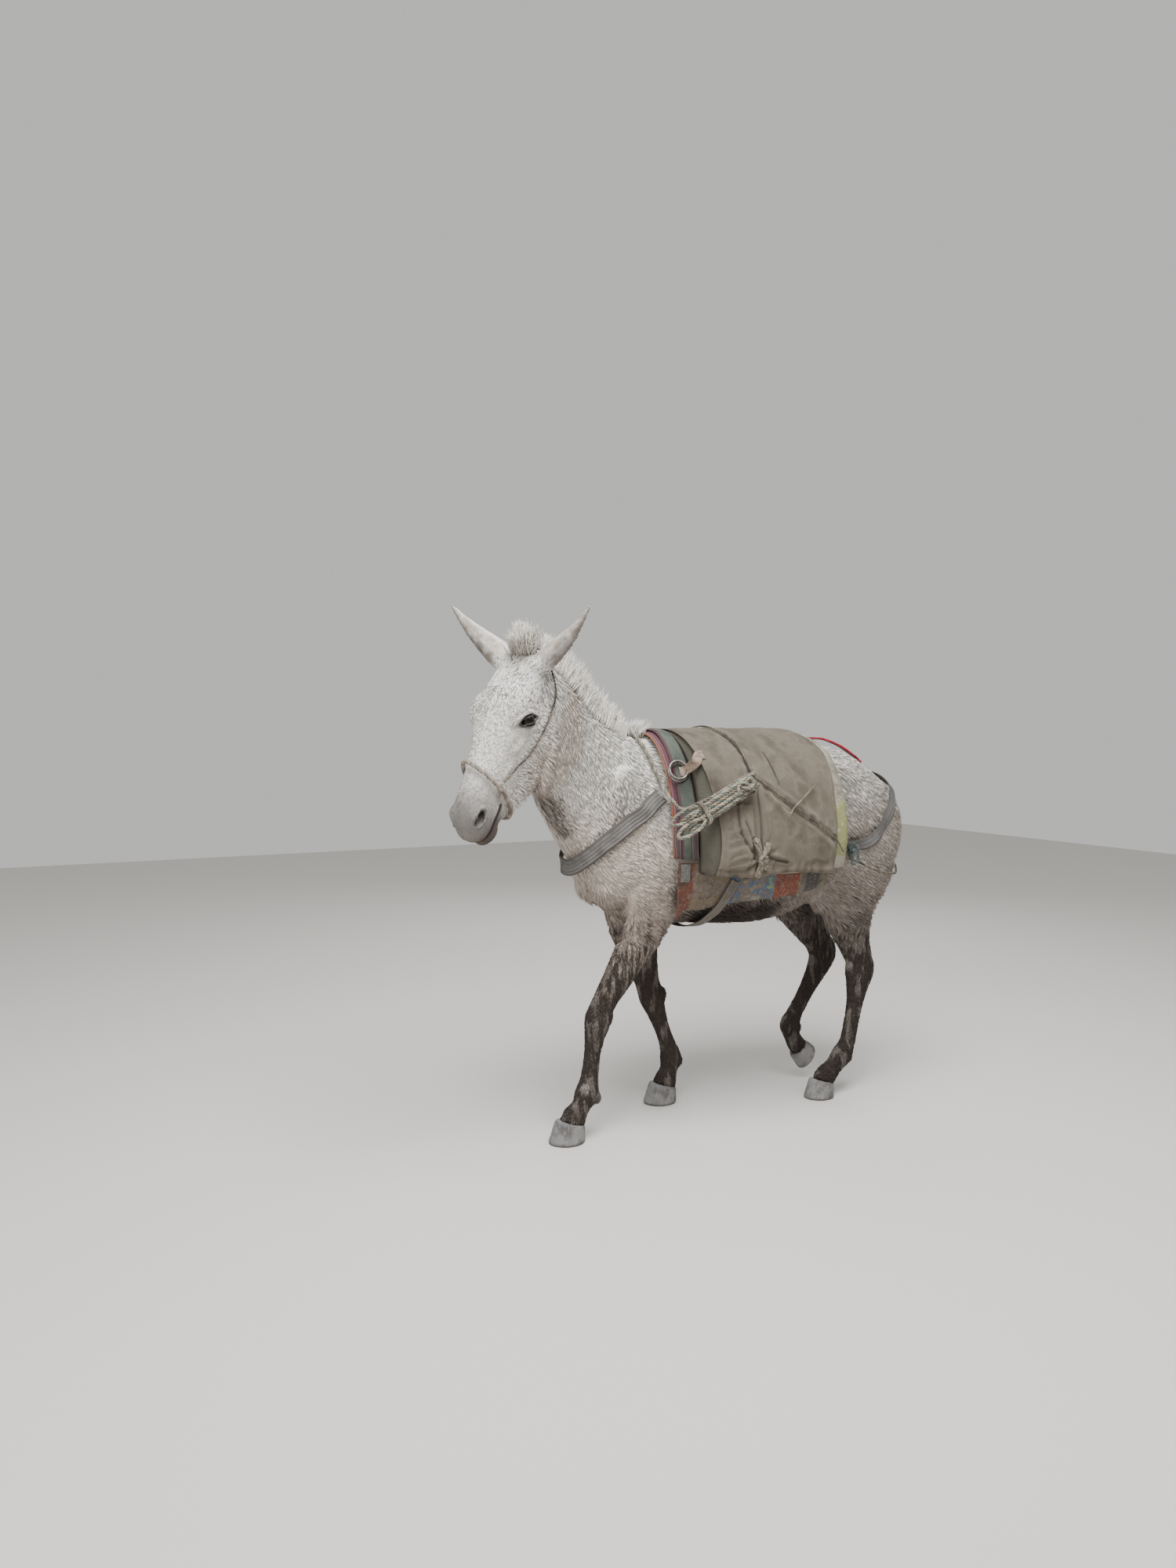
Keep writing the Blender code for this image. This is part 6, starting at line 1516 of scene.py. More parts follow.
def smooth_grid(values, rounds):
    for _ in range(rounds):
        for axis in (0, 1):
            pad = [(1, 1) if k == axis else (0, 0) for k in range(2)]
            wide = np.pad(values, pad, mode="edge")
            before = wide.take(range(0, values.shape[axis]), axis)
            after = wide.take(range(2, values.shape[axis] + 2), axis)
            values = values * 0.5 + (before + after) * 0.25
    return values


def shell(outer, inner):
    """A closed layer between two grids of places, rounded at its rims."""
    rows, columns = outer.shape[:2]
    index = np.arange(rows * columns).reshape(rows, columns)
    points = np.concatenate((outer.reshape(-1, 3), inner.reshape(-1, 3)))
    other = index + rows * columns
    quads = [np.stack((index[:-1, :-1], index[1:, :-1], index[1:, 1:], index[:-1, 1:]), -1).reshape(-1, 4),
             np.stack((other[:-1, :-1], other[:-1, 1:], other[1:, 1:], other[1:, :-1]), -1).reshape(-1, 4)]
    border = np.concatenate((index[0, :-1], index[:-1, -1], index[-1, :0:-1], index[:0:-1, 0]))
    after = np.roll(border, -1)
    quads.append(np.stack((border, after, after + rows * columns, border + rows * columns), -1))
    return points, np.concatenate(quads)


def add_layer(name, y, degrees, outer, inner):
    """A layer of the pack, with its place along and round the pack kept for its finish."""
    obj = add_piece(name, *shell(ray(y, degrees, outer), ray(y, degrees, inner)))
    mark_points(obj, run=np.tile(degrees.ravel(), 2), across=np.tile(y.ravel(), 2))
    return obj


def grid(angles, start, end, rows):
    """Angles and rows of a layer whose ends change with the angle."""
    degrees = np.broadcast_to(angles[None], (rows, len(angles)))
    share = np.linspace(0, 1, rows)[:, None]
    first, last = np.broadcast_to(start, angles.shape), np.broadcast_to(end, angles.shape)
    return first + (last - first) * share, degrees


def rounded(share, size):
    """1 inside a layer, falling to 0 at its rims, where share runs from 0 to 1."""
    edge = np.clip(np.minimum(share, 1 - share) / size, 0, 1)
    return np.sqrt(1 - (1 - edge) ** 2)


def over_back(y, degrees, lift):
    """How far out a layer lies, lifted off the back's highest places near each ray."""
    tops = np.max([reach_over(trunk_tree, y, degrees + near) for near in (-5.0, 0.0, 5.0)], axis=0)
    return smooth_grid(tops, 2) + lift


def cloth(name, base, dark, yarn, roughness=0.95):
    """Plain weave with dirt: the finish, its colour, the places round and along, and the weave."""
    made = Finish(name, roughness, specular_ior_level=0.25)
    run, across = made.value("run"), made.value("across")
    warp = (run * (METRES_A_DEGREE * 2 * math.pi / yarn)).sine()
    weft = (across * (2 * math.pi / yarn)).sine()
    stain, fuzz = made.place.noise(11.0, 5.0, 0.65), made.place.noise(480.0, 2.0)
    color = stain.between(0.40, 0.66).mix(base, dark)
    color = (fuzz.between(0.52, 0.80) * 0.35).mix(color, darker(dark, 0.55))
    return made, color, run, across, warp * weft + fuzz * 0.8


# Blanket: wool, purple-red with narrow stripes and an orange edge, seen in front of the band
angles = np.linspace(-FAN_EDGE, FAN_EDGE, 61)
y, degrees = grid(angles, -0.272, 0.330, 22)
under = over_back(y, degrees, BLANKET_LIFT)
swell = rounded(np.linspace(0, 1, 22)[:, None], 0.05) * rounded(np.linspace(0, 1, 61)[None], 0.02)
ripple = 0.0012 * np.sin(degrees * 0.33 + y * 25) * np.sin(degrees * 0.121)
outer = under + 0.003 + (BLANKET_THICK - 0.003) * swell + ripple * swell
blanket = add_layer("blanket", y, degrees, outer, under)
wool, color, _, across, weave = cloth("wool", (0.115, 0.050, 0.062), (0.070, 0.034, 0.042), 0.0030)
for row, stripe in BLANKET_STRIPES:
    color = across.between(row, row - 0.001).mix(color, stripe)
color = (wool.place.noise(45.0, 4.0).between(0.5, 0.7) * 0.45).mix(color, (0.11, 0.085, 0.080))
wool.feed(color, None, weave, 0.6, 0.0012)
wool.paint(blanket)
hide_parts("pack_blanket")

# Front band: a long quilted cushion of green-grey cloth with dark edges
angles = np.linspace(-FAN_EDGE, FAN_EDGE, 121)
y, degrees = grid(angles, -0.2495, -0.1885, 11)
under = over_back(y, degrees, PAD_LIFT)
quilt = 0.5 + 0.5 * np.abs(np.sin(np.radians(degrees * 9)))
swell = rounded(np.linspace(0, 1, 11)[:, None], 0.42) * rounded(np.linspace(0, 1, 121)[None], 0.02)
outer = under + 0.002 + (BAND_THICK - 0.003) * swell * (0.72 + 0.28 * quilt)
band = add_layer("front_band", y, degrees, outer, under)
quilted, color, run, across, weave = cloth("band_cloth", (0.088, 0.106, 0.086), (0.045, 0.053, 0.044), 0.0034)
check = (run * 2.6).sine() * (across * 820.0).sine()
color = layered(
    color,
    (check.between(0.1, 0.5) * 0.5, (0.145, 0.165, 0.135)),
    (across.between(-0.2400, -0.2415), (0.085, 0.050, 0.052)),
    (across.between(-0.1975, -0.1960), (0.075, 0.050, 0.048)),
)
quilted.feed(color, None, weave, 0.6, 0.0012)
quilted.paint(band)
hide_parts("pack_band")

# Pads: burlap over straw, whitish and frayed, with a green-yellow patch behind the canvas
angles = np.linspace(-HEM_ANGLE, HEM_ANGLE, 93)
y, degrees = grid(angles, -0.188, pads_end(angles), 34)
under = over_back(y, degrees, PAD_LIFT)
outer = profile(degrees) - CANVAS_THICK - 0.0008
swell = rounded(np.linspace(0, 1, 34)[:, None], 0.035) * rounded(np.linspace(0, 1, 93)[None], 0.020)
lumps = 0.0022 * np.sin(degrees * 0.42 + y * 31) * np.sin(degrees * 0.17 - y * 12)
shown = (y > pads_end(degrees) - 0.040) | (y < canvas_start(degrees) - 0.002)
inner = under + 0.004
outer = inner + (outer - inner) * (0.25 + 0.75 * swell) + lumps * shown * swell
pads = add_layer("stuffed_pads", y, degrees, outer, under)
burlap, color, _, across, weave = cloth("burlap", (0.40, 0.37, 0.305), (0.22, 0.20, 0.155), 0.0042, 1.0)
patch = burlap.place.reach(placed((0.345, 0.340, 1.045))[0]) + (burlap.place.noise(16.0) - 0.5) * 0.08
color = layered(
    color,
    (patch.between(0.100, 0.080) * 0.88, (0.30, 0.31, 0.125)),
    (burlap.place.noise(90.0, 3.0).between(0.54, 0.7) * 0.5, (0.62, 0.60, 0.54)),
    # Painted shade across the pads' front, seen in the gap between the front band and the canvas
    (across.between(-0.12, -0.14) * 0.92, (0.105, 0.100, 0.078)),
)
burlap.feed(color, None, weave, 0.75, 0.0022)
burlap.paint(pads)
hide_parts("pack_pads")


# Canvas: one beige tarpaulin over the pads, folded over at the near front, wrinkled along its hem,
# with a double seam and a slit, and gathered into a knot low on each side.
CANVAS_ROWS, CANVAS_COLUMNS = 106, 290
PACK_RADIUS = 0.36
TIE_ANGLE, TIE_PITCH = 97.0, 0.29
# Lines on the canvas, between places given as row and angle: seam, slit, lash cord, and the edges of
# the near side's pocket with the folds that run from it to the knot
SEAM, SLIT = ((-0.004, 18.0), (-0.013, 50.0)), ((0.087, 33.7), (0.099, 57.8))
LASH_LINE = ((0.350, 96.0), (0.310, 88.0), (0.215, 77.0), (0.115, 66.0), (0.045, 58.0), (-0.007, 50.0),
             (-0.006, 36.0), (-0.012, 20.8), (-0.020, 0.0))
FOLD_LINES = (
    ((0.004, 52.0), (0.002, 93.0)), ((-0.010, 58.0), (-0.090, 65.0)), ((-0.090, 65.0), (-0.084, 82.0)),
    ((-0.084, 82.0), (-0.022, 97.0)), ((-0.064, 76.0), (-0.018, 95.0)), ((0.118, 101.0), (0.022, 96.0)),
)
angles = np.linspace(-HEM_ANGLE, HEM_ANGLE, CANVAS_COLUMNS)
rear_edge = pads_end(angles) - 0.042 - 0.024 * np.clip((np.abs(angles) - 35) / 30, 0, 1)
y, degrees = grid(angles, canvas_start(angles), rear_edge, CANVAS_ROWS)
side_angle = np.abs(degrees)
share = np.linspace(0, 1, CANVAS_ROWS)[:, None] * np.ones_like(degrees)


def fold_noise(u, v, seed, octaves=4):
    """Soft folds from crossing waves, each octave finer and lower."""
    waves = np.random.default_rng(seed)
    made = np.zeros_like(u)
    for k in range(octaves):
        for _ in range(4):
            way = waves.uniform(0, 2 * math.pi)
            scale = 1.7 ** k * waves.uniform(0.7, 1.3)
            run = (u * math.cos(way) + v * math.sin(way)) * scale
            made += np.sin(run + waves.uniform(0, 6.28)) / 1.55 ** k
    return made / 8


def off_segment(first, last):
    """How far each place is off a line between two places, and its share of the way."""
    a, b = [np.array((row, math.radians(angle) * PACK_RADIUS)) for row, angle in (first, last)]
    way = b - a
    t = np.clip(((y - a[0]) * way[0] + (around - a[1]) * way[1]) / (way @ way), 0, 1)
    return np.hypot(y - a[0] - way[0] * t, around - a[1] - way[1] * t), t


# Round the pack and along it in metres, so that folds have one scale
around = np.radians(degrees) * PACK_RADIUS
folds = fold_noise(around * 22, y * 34, 5, 5)
sharp = 1 - np.abs(fold_noise(around * 17, y * 26, 9, 3)) * 2.6
lift = 0.0042 * folds + 0.0052 * np.clip(sharp, 0, 1) ** 3 * np.clip((side_angle - 20) / 40, 0.25, 1)
# The hem's rolled edge hangs in scallops between the ties
scallop = 0.5 + 0.5 * np.cos(y / TIE_PITCH * 2 * math.pi)
hem = np.clip((side_angle - 98) / 11, 0, 1)
roll, flutter = ridge(side_angle - 106.2, 2.0), np.sin(y * 150 + 2 * np.sin(y * 31))
lift += 0.0065 * roll * (0.5 + 0.5 * scallop) + 0.0030 * hem * flutter
drop = -2.2 * hem * (1 - scallop) * 0.9
# Gathers run to each knot, and pleats are stacked in front of it
for sign in (1, -1):
    u = (np.radians(degrees) - math.radians(TIE_ANGLE) * sign) * 0.345
    gather, turn = np.hypot(u, y), np.arctan2(y, u)
    pleats = np.abs(np.sin(turn * 4.5 + 0.7 * sign)) - 0.25
    lift += 0.0085 * ridge(gather, 0.085) * pleats * np.clip(gather / 0.02, 0, 1)
pleat_zone = np.clip((degrees - 76) / 5, 0, 1) * np.clip((105 - degrees) / 5, 0, 1)
pleat_zone = pleat_zone * np.clip((y + 0.140) / 0.012, 0, 1) * np.clip((-0.020 - y) / 0.012, 0, 1)
saw = ((degrees - 76) / 5.2 + (y + 0.14) * 6) % 1.0
lift += pleat_zone * 0.0090 * (1 - saw) ** 1.5
# A flap is folded over the near front, from its upper edge down past the pleats
FLAP_TOP, FLAP_FOOT = 66, 104
flap_edge = y + 0.024 + 0.0006 * (degrees - FLAP_TOP)
flap = np.clip((degrees - FLAP_TOP) / 1.2, 0, 1) * np.clip((FLAP_FOOT - degrees) / 2, 0, 1)
flap = flap * np.clip(-flap_edge / 0.006, 0, 1)
lift += 0.0070 * flap + 0.0060 * ridge(flap_edge, 0.006) * (flap > 0.02)
# The double seam and the slit, the grooves that the lash cord pulls, and the pocket's edges
seam_away, _ = off_segment(*SEAM)
slit_away, slit_share = off_segment(*SLIT)
seam_grooves = 0.0016 * ridge(seam_away - 0.004, 0.0016), 0.0016 * ridge(seam_away, 0.0014)
lift += 0.0020 * ridge(seam_away, 0.010) - seam_grooves[0] - seam_grooves[1]
slit_open = np.sin(math.pi * np.clip(slit_share, 0, 1))
lift += slit_open * (0.0035 * ridge(slit_away - 0.007, 0.005) - 0.0050 * ridge(slit_away, 0.0040))
for first, last in zip(LASH_LINE, LASH_LINE[1:]):
    for sign in (1, -1):
        away, _ = off_segment((first[0], first[1] * sign), (last[0], last[1] * sign))
        lift = lift - 0.0045 * ridge(away, 0.010) + 0.0026 * ridge(away - 0.022, 0.009)
# The fold lines are pressed in, and painted shade darkens their grooves
painted_fold_shade = np.zeros_like(lift)
for first, last in FOLD_LINES:
    away, _ = off_segment(first, last)
    lift = lift - 0.0060 * ridge(away, 0.0045) + 0.0040 * ridge(away - 0.014, 0.008)
    painted_fold_shade = np.maximum(painted_fold_shade, 0.62 * ridge(away, 0.0040))
edge = rounded(share, 0.012) * rounded(np.linspace(0, 1, CANVAS_COLUMNS)[None], 0.004)
outer = profile(degrees) + np.clip(lift - 0.0015, -0.0040, 0.0125) * np.clip(edge + 0.2, 0, 1)
hem_degrees = degrees + np.sign(degrees) * drop
canvas = add_layer("canvas_cover", y, hem_degrees, outer - 0.0012 * (1 - edge), outer - 0.0030)
# Dark marks on the canvas: painted shade in the open slit and in the fold grooves, and a dark line along the
# double seam
mark = ridge(slit_away, 0.0032) * (slit_open > 0.2) + 0.65 * ridge(seam_away - 0.002, 0.0015) + painted_fold_shade
mark_points(canvas, lift=np.tile((lift * 150).ravel(), 2), mark=np.tile(np.clip(mark, 0, 1).ravel(), 2))
tarpaulin, color, run, _, weave = cloth("canvas", (0.268, 0.234, 0.182), (0.170, 0.146, 0.112), 0.0016)
high = tarpaulin.value("lift")
crease = tarpaulin.place.noise(11.0, 5.0, 0.62)
# Painted shade where the folds sink and a painted highlight where they rise, read from the lift kept on each
# point; painted shade too in the hollows of the crease bump
color = layered(
    color,
    (high.between(0.15, -0.40) * 0.62, (0.085, 0.070, 0.054)),
    (high.between(0.45, 1.3) * 0.45, (0.35, 0.30, 0.245)),
    (tarpaulin.place.noise(36.0, 4.0, 0.7).between(0.56, 0.72) * 0.35, (0.20, 0.165, 0.125)),
    (run.between(96.0, 109.0) * 0.30, (0.235, 0.185, 0.135)),
    (tarpaulin.value("mark") * 0.9, (0.050, 0.040, 0.032)),
    (crease.between(0.50, 0.40) * 0.40, (0.125, 0.103, 0.082)),
)
tarpaulin.feed(color, None, weave * 0.06 + crease, 0.85, 0.020)
tarpaulin.paint(canvas)
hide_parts("pack_canvas")
places = ray(y, hem_degrees, outer)


# Ties: two corners of the canvas on each side, twisted, drawn through one another and knotted over the
# hem. The row and angle of each end are given, and the knot lies between them.
TIES = ((-0.030, 85.0), (0.025, 88.0), (-0.006, 108.0), (0.028, 103.0))


def on_pack(y, degrees, lift):
    """A place lifted off the canvas, by its row and angle."""
    return ray(y, degrees, profile(degrees) + lift)


def twist(line, radius, pleats=5, turns=0.35):
    """A twisted corner of cloth: a tube with deep lengthwise pleats that turn as it goes."""
    _, across, out = frames_along(line)
    angle = -2 * math.pi * np.arange(30) / 30
    run = np.linspace(0, 1, len(line))[:, None]
    size = radius[:, None] * (1 + 0.20 * np.cos(pleats * (angle[None] + turns * 2 * math.pi * run)))
    ring = across[:, None] * (np.cos(angle) * size)[..., None]
    return lofted(line[:, None] + (ring + out[:, None] * (np.sin(angle) * size)[..., None]))


for side, label in SIDES:
    knot = on_pack(0.000, TIE_ANGLE * side, 0.014)
    parts = []
    for y_end, angle in TIES:
        end = on_pack(y_end, angle * side, 0.009)
        bow = (knot + end) / 2 + unit(knot - PACK_MIDDLE * (1, 0, 1) - np.array((0, knot[1], 0))) * 0.004
        line = evenly(eased([knot, bow, end], 12), 0.0035)
        share = np.linspace(0, 1, len(line))
        radius = 0.0070 + 0.0055 * share ** 1.3 - 0.0100 * np.clip((share - 0.86) / 0.14, 0, 1) ** 2
        parts.append(twist(line, radius))
    wrap_out = unit(knot - on_pack(0.000, TIE_ANGLE * side, -0.05))
    wrap_ways = np.stack((np.array((0.0, 1.0, 0.0)), np.cross(wrap_out, (0.0, 1.0, 0.0)), wrap_out))
    for tilt in (0.0, 0.9, -0.7):
        t = np.linspace(0, 2 * math.pi, 33)
        loop = np.stack((np.cos(t) * 0.013, np.sin(t) * 0.010, 0.004 + 0.006 * np.cos(t * 2 + tilt)), 1)
        c, s = math.cos(tilt), math.sin(tilt)
        spin = np.array(((c, s, 0), (-s, c, 0), (0, 0, 1)))
        line = knot + (loop @ spin) @ wrap_ways
        parts.append(twist(line, np.full(len(line), 0.0062), 4, 2.0))
    tie = add_piece("tie_" + label, *joined(parts))
    tie_paint = Finish("tie_cloth_" + label, 0.92)
    crumple = tie_paint.place.noise(140.0, 4.0)
    # Painted shade in the hollows of the crumples, which the same noise raises as a bump
    tie_color = crumple.between(0.40, 0.62).mix((0.125, 0.103, 0.080), (0.27, 0.232, 0.182))
    weave = tie_paint.place.noise(900.0, 2.0)
    tie_paint.feed(tie_color, None, weave + crumple, 0.6, 0.0015)
    tie_paint.paint(tie)
    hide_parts("canvas_tie_" + label)


# Liners: a sheet of printed vinyl under the canvas on each flank, in patches of worn colour. It hangs
# against the hide below the canvas, shorter behind the girth.
LINER_TOP, LINER_LIFT, LINER_THICK = 103.0, 0.015, 0.0025
LINER_ROWS, LINER_COLUMNS = 90, 60
for side, label in SIDES:
    y, share = grid(np.linspace(0, 1, LINER_COLUMNS), -0.255, 0.352, LINER_ROWS)
    degrees = LINER_TOP + (liner_end(y) - LINER_TOP) * share
    under = [reach_over(trunk_tree, y, (degrees + near) * side) for near in (-5, 0, 5)]
    sag = 0.0028 * fold_noise(degrees * 0.30, y * 26, 3 + side, 3)
    billow = 0.0018 * np.sin(y * 75 + degrees * 0.1) * np.clip((degrees - 118) / 20, 0, 1)
    sag += 0.0022 * ridge(degrees - liner_end(y) + 3, 2.5) + billow
    outer = smooth_grid(np.max(under, axis=0), 3) + LINER_LIFT + sag
    if side < 0:
        y, degrees, outer = y[:, ::-1], degrees[:, ::-1], outer[:, ::-1]
    liner = add_layer("liner_" + label, y, degrees * side, outer, outer - LINER_THICK)
    vinyl, color, _, across, weave = cloth("vinyl_" + label, (0.205, 0.162, 0.128), (0.120, 0.092, 0.074),
                                           0.0014, 0.6)
    tints = vinyl.place.stretched(1.0, 1.0, 1.5).noise(13.0, 2.0)
    spots, scuff = vinyl.place.noise(33.0, 3.0), vinyl.place.noise(70.0, 4.0, 0.7)
    blue = across.between(-0.09, -0.07) * across.between(0.12, 0.10) * spots.between(0.47, 0.53)
    pale = across.between(-0.07, -0.05) * across.between(0.13, 0.11) * spots.between(0.42, 0.38)
    color = layered(
        color,
        (tints.between(0.50, 0.56), (0.175, 0.135, 0.090)),
        (blue, (0.075, 0.125, 0.205)),
        (pale, (0.26, 0.25, 0.22)),
        (across.between(0.00, 0.02) * spots.between(0.58, 0.62), (0.19, 0.27, 0.12)),
        (across.between(-0.190, -0.205), (0.165, 0.052, 0.032)),
        (across.between(0.100, 0.110) * across.between(0.215, 0.205), (0.205, 0.050, 0.026)),
        (across.between(0.235, 0.245) * across.between(0.315, 0.305), (0.055, 0.050, 0.050)),
        (scuff.between(0.47, 0.62) * 0.60, (0.24, 0.20, 0.165)),
        (scuff.between(0.42, 0.34) * 0.5, (0.30, 0.27, 0.235)),
        (vinyl.place.noise(19.0, 3.0).between(0.52, 0.66) * 0.6, (0.075, 0.062, 0.052)),
    )
    color = vinyl.node("HueSaturation", None, {"Value": 0.55 + 0.3 * spots, "Color": color})
    vinyl.feed(color, 0.45 + scuff * 0.4, weave * 0.3 + scuff, 0.35, 0.0010)
    vinyl.paint(liner)
    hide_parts("pack_liner_" + label)
    places = ray(y, degrees * side, outer)


# Fittings on each side: a double steel ring on a riveted leather tab, two woven flaps, a pale plastic
# panel at the liner's corner, and the girth that holds the pack down
over_all = tree_of("torso", "neck", *PACK, *LINERS)


def laid(y, degrees, lift):
    """A place lifted off the pack on a ray from its axis, with the way the surface faces there."""
    places, faced = [], np.zeros(3)
    for shift in (-0.015, 0.0, 0.015):
        start, end = ray(y + shift, degrees, 0.9), ray(y + shift, degrees, 0.0)
        hit, normal = [np.array(v) for v in over_all.ray_cast(Vector(start), Vector(unit(end - start)))[:2]]
        places.append(hit)
        faced = faced + normal * (1.0 if normal @ (start - hit) > 0 else -1.0)
    faced = unit(faced)
    tops = max((place - places[1]) @ faced for place in places)
    return places[1] + faced * (lift + max(tops, 0.0)), faced


def belt_on_pack(name, stops, width, thick, lift, **settings):
    """A belt laid over the pack through places given as row, angle and lift."""
    pairs = [laid(y, degrees, lift + extra) for y, degrees, extra in stops]
    rows = np.array([np.concatenate(pair) for pair in pairs])
    return add_belt(name, evenly(eased(rows, 10), 0.004), width, thick, **settings)


def worn(name, speck, middle, light, dark, rough, **fixed):
    """A hard surface with specks of wear, which are rougher too."""
    made = Finish(name, **fixed)
    wear = made.place.noise(*speck)
    made.feed(wear.between(*middle).mix(light, dark), rough[0] + wear * rough[1], wear, 0.3, rough[2])
    return made


steel = worn("steel", (140.0, 4.0, 0.7), (0.46, 0.66), (0.30, 0.285, 0.265), (0.11, 0.078, 0.055),
             (0.28, 0.45, 0.0006), roughness=0.38, metallic=1.0)
panel_paint = worn("pale_panel", (90.0, 4.0, 0.7), (0.42, 0.68), (0.125, 0.125, 0.112),
                   (0.070, 0.068, 0.060), (0.35, 0.35, 0.0008), roughness=0.45)
leather = Finish("tab_leather", 0.55)
pores, wear = leather.place.noise(650.0, 2.0), leather.place.noise(60.0, 3.0)
color = wear.between(0.38, 0.66).mix((0.27, 0.205, 0.15), (0.14, 0.10, 0.075))
leather.feed(color, 0.45 + wear * 0.3, pores, 0.45, 0.0008)
dark_weave = woven("dark_weave", (0.125, 0.080, 0.082), (0.065, 0.043, 0.046), (0.19, 0.13, 0.12),
                   pitch=0.0016, stitch=(0.32, 0.26, 0.22))
RING_ROW, RING_ANGLE, CIRCLE = -0.238, 38, 2 * math.pi * np.arange(56) / 56
# Each ring's radius, wire, lift and shift, each row of the tab with its lift, and each rivet's place
RINGS = ((0.034, 0.0042, 0.0, 0.0), (0.0325, 0.0036, 0.0075, 0.004))
TAB_STOPS = ((-0.230, 0), (-0.214, 0.001), (-0.1975, 0), (-0.183, 0.001), (-0.162, 0))
RIVETS = ((-0.214, 36.6), (-0.214, 39.4), (-0.172, 36.6), (-0.172, 39.4))
for side, label in SIDES:
    middle, out = laid(RING_ROW, RING_ANGLE * side, 0.0075)
    first = unit(np.cross(out, (0, 1, 0)))
    ways = np.stack((first, np.cross(out, first), out))
    parts = []
    for radius, wire, lift, shift in RINGS:
        circle = (np.cos(CIRCLE) * radius + shift, np.sin(CIRCLE) * radius, np.full(len(CIRCLE), lift))
        parts.append(tube(middle + np.stack(circle, 1) @ ways, wire, 12, True))
    rings = add_piece("steel_rings_" + label, *joined(parts))
    steel.paint(rings)
    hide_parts("pack_ring_" + label)
    stops = [(row, RING_ANGLE * side, lift) for row, lift in TAB_STOPS]
    tab = belt_on_pack("tab_" + label, stops, 0.036, 0.0034, 0.004)
    leather.paint(tab)
    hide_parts("ring_strap_" + label)
    rivets, t = [], 2 * math.pi * np.arange(14)[:, None] / 14
    for row, angle in RIVETS:
        place, face = laid(row, angle * side, 0.0066)
        first = unit(np.cross(face, (0, 1, 0)))
        second = np.cross(face, first)
        rivets.append(lofted([place + (first * np.cos(t) + second * np.sin(t)) * radius + face * high
                              for radius, high in ((0.0022, -0.001), (0.0022, 0.0006), (0.0012, 0.0014))]))
    rivets = add_piece("rivets_" + label, *joined(rivets))
    steel.paint(rivets)
    # Each strip: the node, its row, its upper and lower angle, width, thickness, ribs and wave
    for name, row, low, high, width, thick, ribs, wave, paint, slot in (
        ("flap_front_", -0.262, 76.0, 99.0, 0.020, 0.0032, 2, 0.0012, dark_weave, "dark_webbing"),
        ("flap_rear_", -0.2055, 70.0, 99.5, 0.022, 0.0032, 2, 0.0012, dark_weave, "dark_webbing"),
        ("pack_panel_", -0.233, 103.8, 117.0, 0.034, 0.0034, 4, 0.0, panel_paint, "pale_plastic"),
    ):
        stops = [(row, (low + (high - low) * k / 5) * side, 0.0) for k in range(6)]
        piece = belt_on_pack(name.replace("pack_", "") + "piece_" + label, stops, width, thick, 0.0070,
                             ribs=ribs, rib_height=0.0005, wave=wave)
        paint.paint(piece)
        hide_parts(name + label)

# The girth runs from the canvas's hem down both flanks and under the belly
GIRTH_LINE = (
    (-0.052, 114.0, 0.008), (-0.068, 122.0, 0.008), (-0.083, 130.0, 0.008), (-0.094, 137.0, 0.009),
    (-0.096, 143.5, 0.020), (-0.102, 152.0, 0.016), (-0.107, 161.0, 0.013), (-0.110, 170.0, 0.012),
    (-0.111, 180.0, 0.012),
)
stops = list(GIRTH_LINE) + [(y, 360.0 - degrees, lift) for y, degrees, lift in GIRTH_LINE[-2::-1]]
girth = belt_on_pack("girth_belt", stops, 0.036, 0.0042, 0.0, ribs=4, rib_height=0.0005, wave=0.0010)
girth_weave = woven("girth_weave", (0.20, 0.18, 0.155), (0.115, 0.098, 0.084), (0.070, 0.058, 0.050),
                    pitch=0.0028, stitch=(0.34, 0.30, 0.24))
girth_weave.paint(girth)
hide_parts("girth")


# Crupper and breeching: a red cord doubled with a thin black one along the croup, and a thin rope
# round the haunches, hitched to the pack on each side
RED_LINE = ((0.010, 0.400, 1.350), (0.012, 0.500, 1.345), (0.012, 0.600, 1.305), (0.010, 0.700, 1.255))
BREECH_LINE = (
    (0.262, 0.428, 0.932), (0.240, 0.520, 0.900), (0.228, 0.605, 0.868),
    (0.190, 0.710, 0.856), (0.120, 0.810, 0.862), (0.000, 0.862, 0.868),
)
torso_tree = tree_of("torso")
line, _ = cling(placed(*RED_LINE), 0.04, 0.024, torso_tree)
line = evenly(eased(line, 8), 0.003)
red = add_rope("crupper_red", line, 0.0045, 0.030)
red_paint = rope_finish("red_cord", (0.44, 0.020, 0.040), (0.21, 0.012, 0.022), (0.50, 0.045, 0.06))
red_paint.paint(red)
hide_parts("crupper_cord")
black = add_rope("crupper_black", line - np.array((0.016, 0, 0)), 0.0030, 0.020, 2)
black_paint = rope_finish("black_cord", (0.040, 0.034, 0.034), (0.018, 0.016, 0.016), (0.085, 0.072, 0.068))
black_paint.paint(black)
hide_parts("crupper_cord_dark")

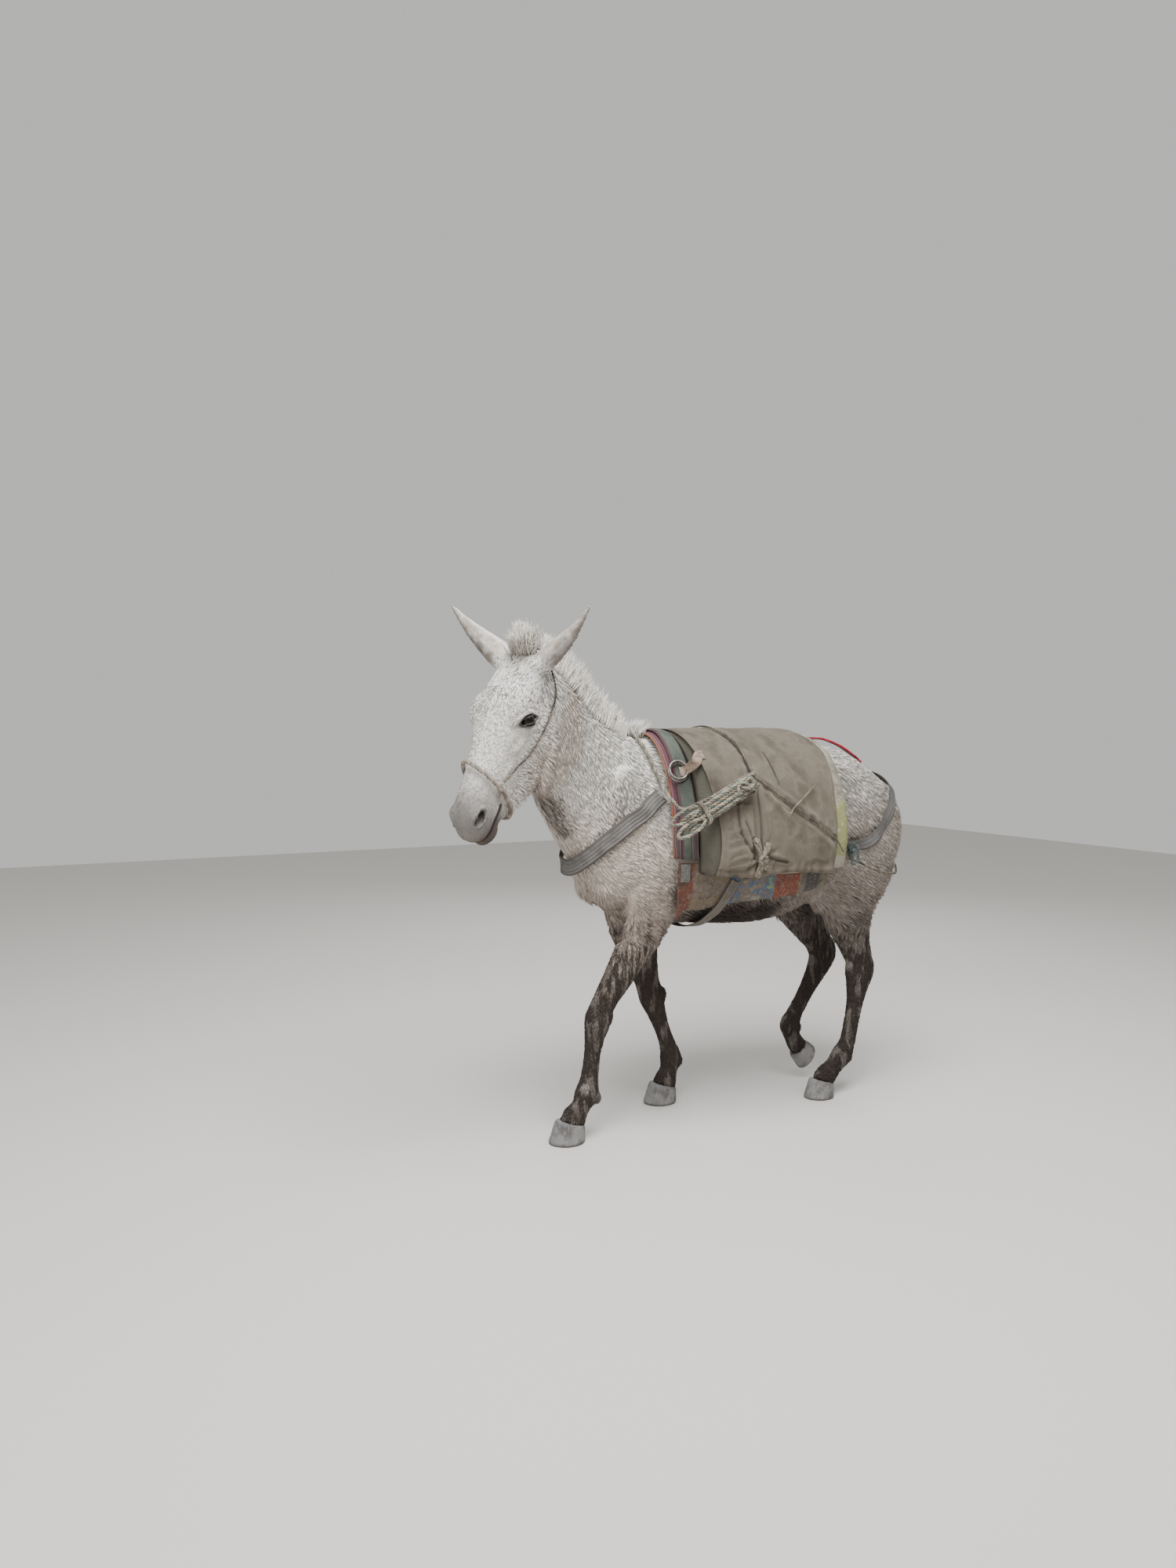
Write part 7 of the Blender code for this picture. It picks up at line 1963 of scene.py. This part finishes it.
line, _ = cling(placed(*both_sides(BREECH_LINE)), 0.055, 0.012, tree_of("torso", "tail"), 30)
rump_rope = add_rope("breeching_line", evenly(eased(line, 8), 0.0035), 0.0040, 0.026)
dark_cord.paint(rump_rope)
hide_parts("breeching_rope")
teal = rope_finish("teal_cord", (0.070, 0.105, 0.10), (0.032, 0.036, 0.034), (0.145, 0.175, 0.155))
for side, label in SIDES:
    middle = placed((0.300 * side, 0.424, 0.966))[0]
    ways = np.array(((0.0, 1.0, 0.0), (0.0, 0.0, 1.0), (float(side), 0.0, 0.0)))
    parts = knotted(middle, ways, (0.022, 0.030, 0.015), 0.0062, 0.02)
    loop_middle = placed((0.303 * side, 0.436, 0.945))[0]
    t = np.linspace(0, 2 * math.pi, 60)
    loop = loop_middle + np.stack((0.003 * np.sin(2 * t), np.cos(t) * 0.018, np.sin(t) * 0.034), 1)
    parts += strands(evenly(loop, 0.0022), 0.0040, 0.022)
    for reach, fall in ((0.026, 0.050), (-0.014, 0.060)):
        s = np.linspace(0, 1, 14)
        line = loop_middle + np.stack((0.004 * side * np.sin(s * 3), reach * s, 0.020 - fall * s ** 1.2), 1)
        parts += strands(evenly(line, 0.0022), 0.0022, 0.014)
    knot = add_strands("hitch_" + label, parts)
    teal.paint(knot)
    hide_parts("breeching_knot_" + label)


# Lashing: a dark waxed cord laid tight over the canvas to both sides. One loose end of paler cord hangs
# in a V on the near side.
LASH_TAIL = ((0.030, 60.5), (0.060, 66.0), (0.110, 73.0), (0.135, 70.0), (0.237, 58.8))
LASH_RADIUS = 0.0031
rows = [(y, degrees) for y, degrees in LASH_LINE] + [(y, -degrees) for y, degrees in LASH_LINE[-2::-1]]
line = np.array([on_pack(y, degrees, LASH_RADIUS + 0.0040) for y, degrees in rows])
lash = add_rope("lash_cord", evenly(eased(line, 10), 0.0035), LASH_RADIUS, 0.020)
dark_cord.paint(lash)
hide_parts("lash_rope")
line = np.array([on_pack(y, degrees, 3 * LASH_RADIUS + 0.0070) for y, degrees in LASH_TAIL])
lash_tail = add_rope("lash_tail", evenly(eased(line, 10), 0.003), LASH_RADIUS * 0.8, 0.016, 2)
pale_cord = rope_finish("pale_cord", (0.30, 0.25, 0.18), (0.12, 0.095, 0.070), (0.36, 0.31, 0.23))
pale_cord.paint(lash_tail)
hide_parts("lash_end")
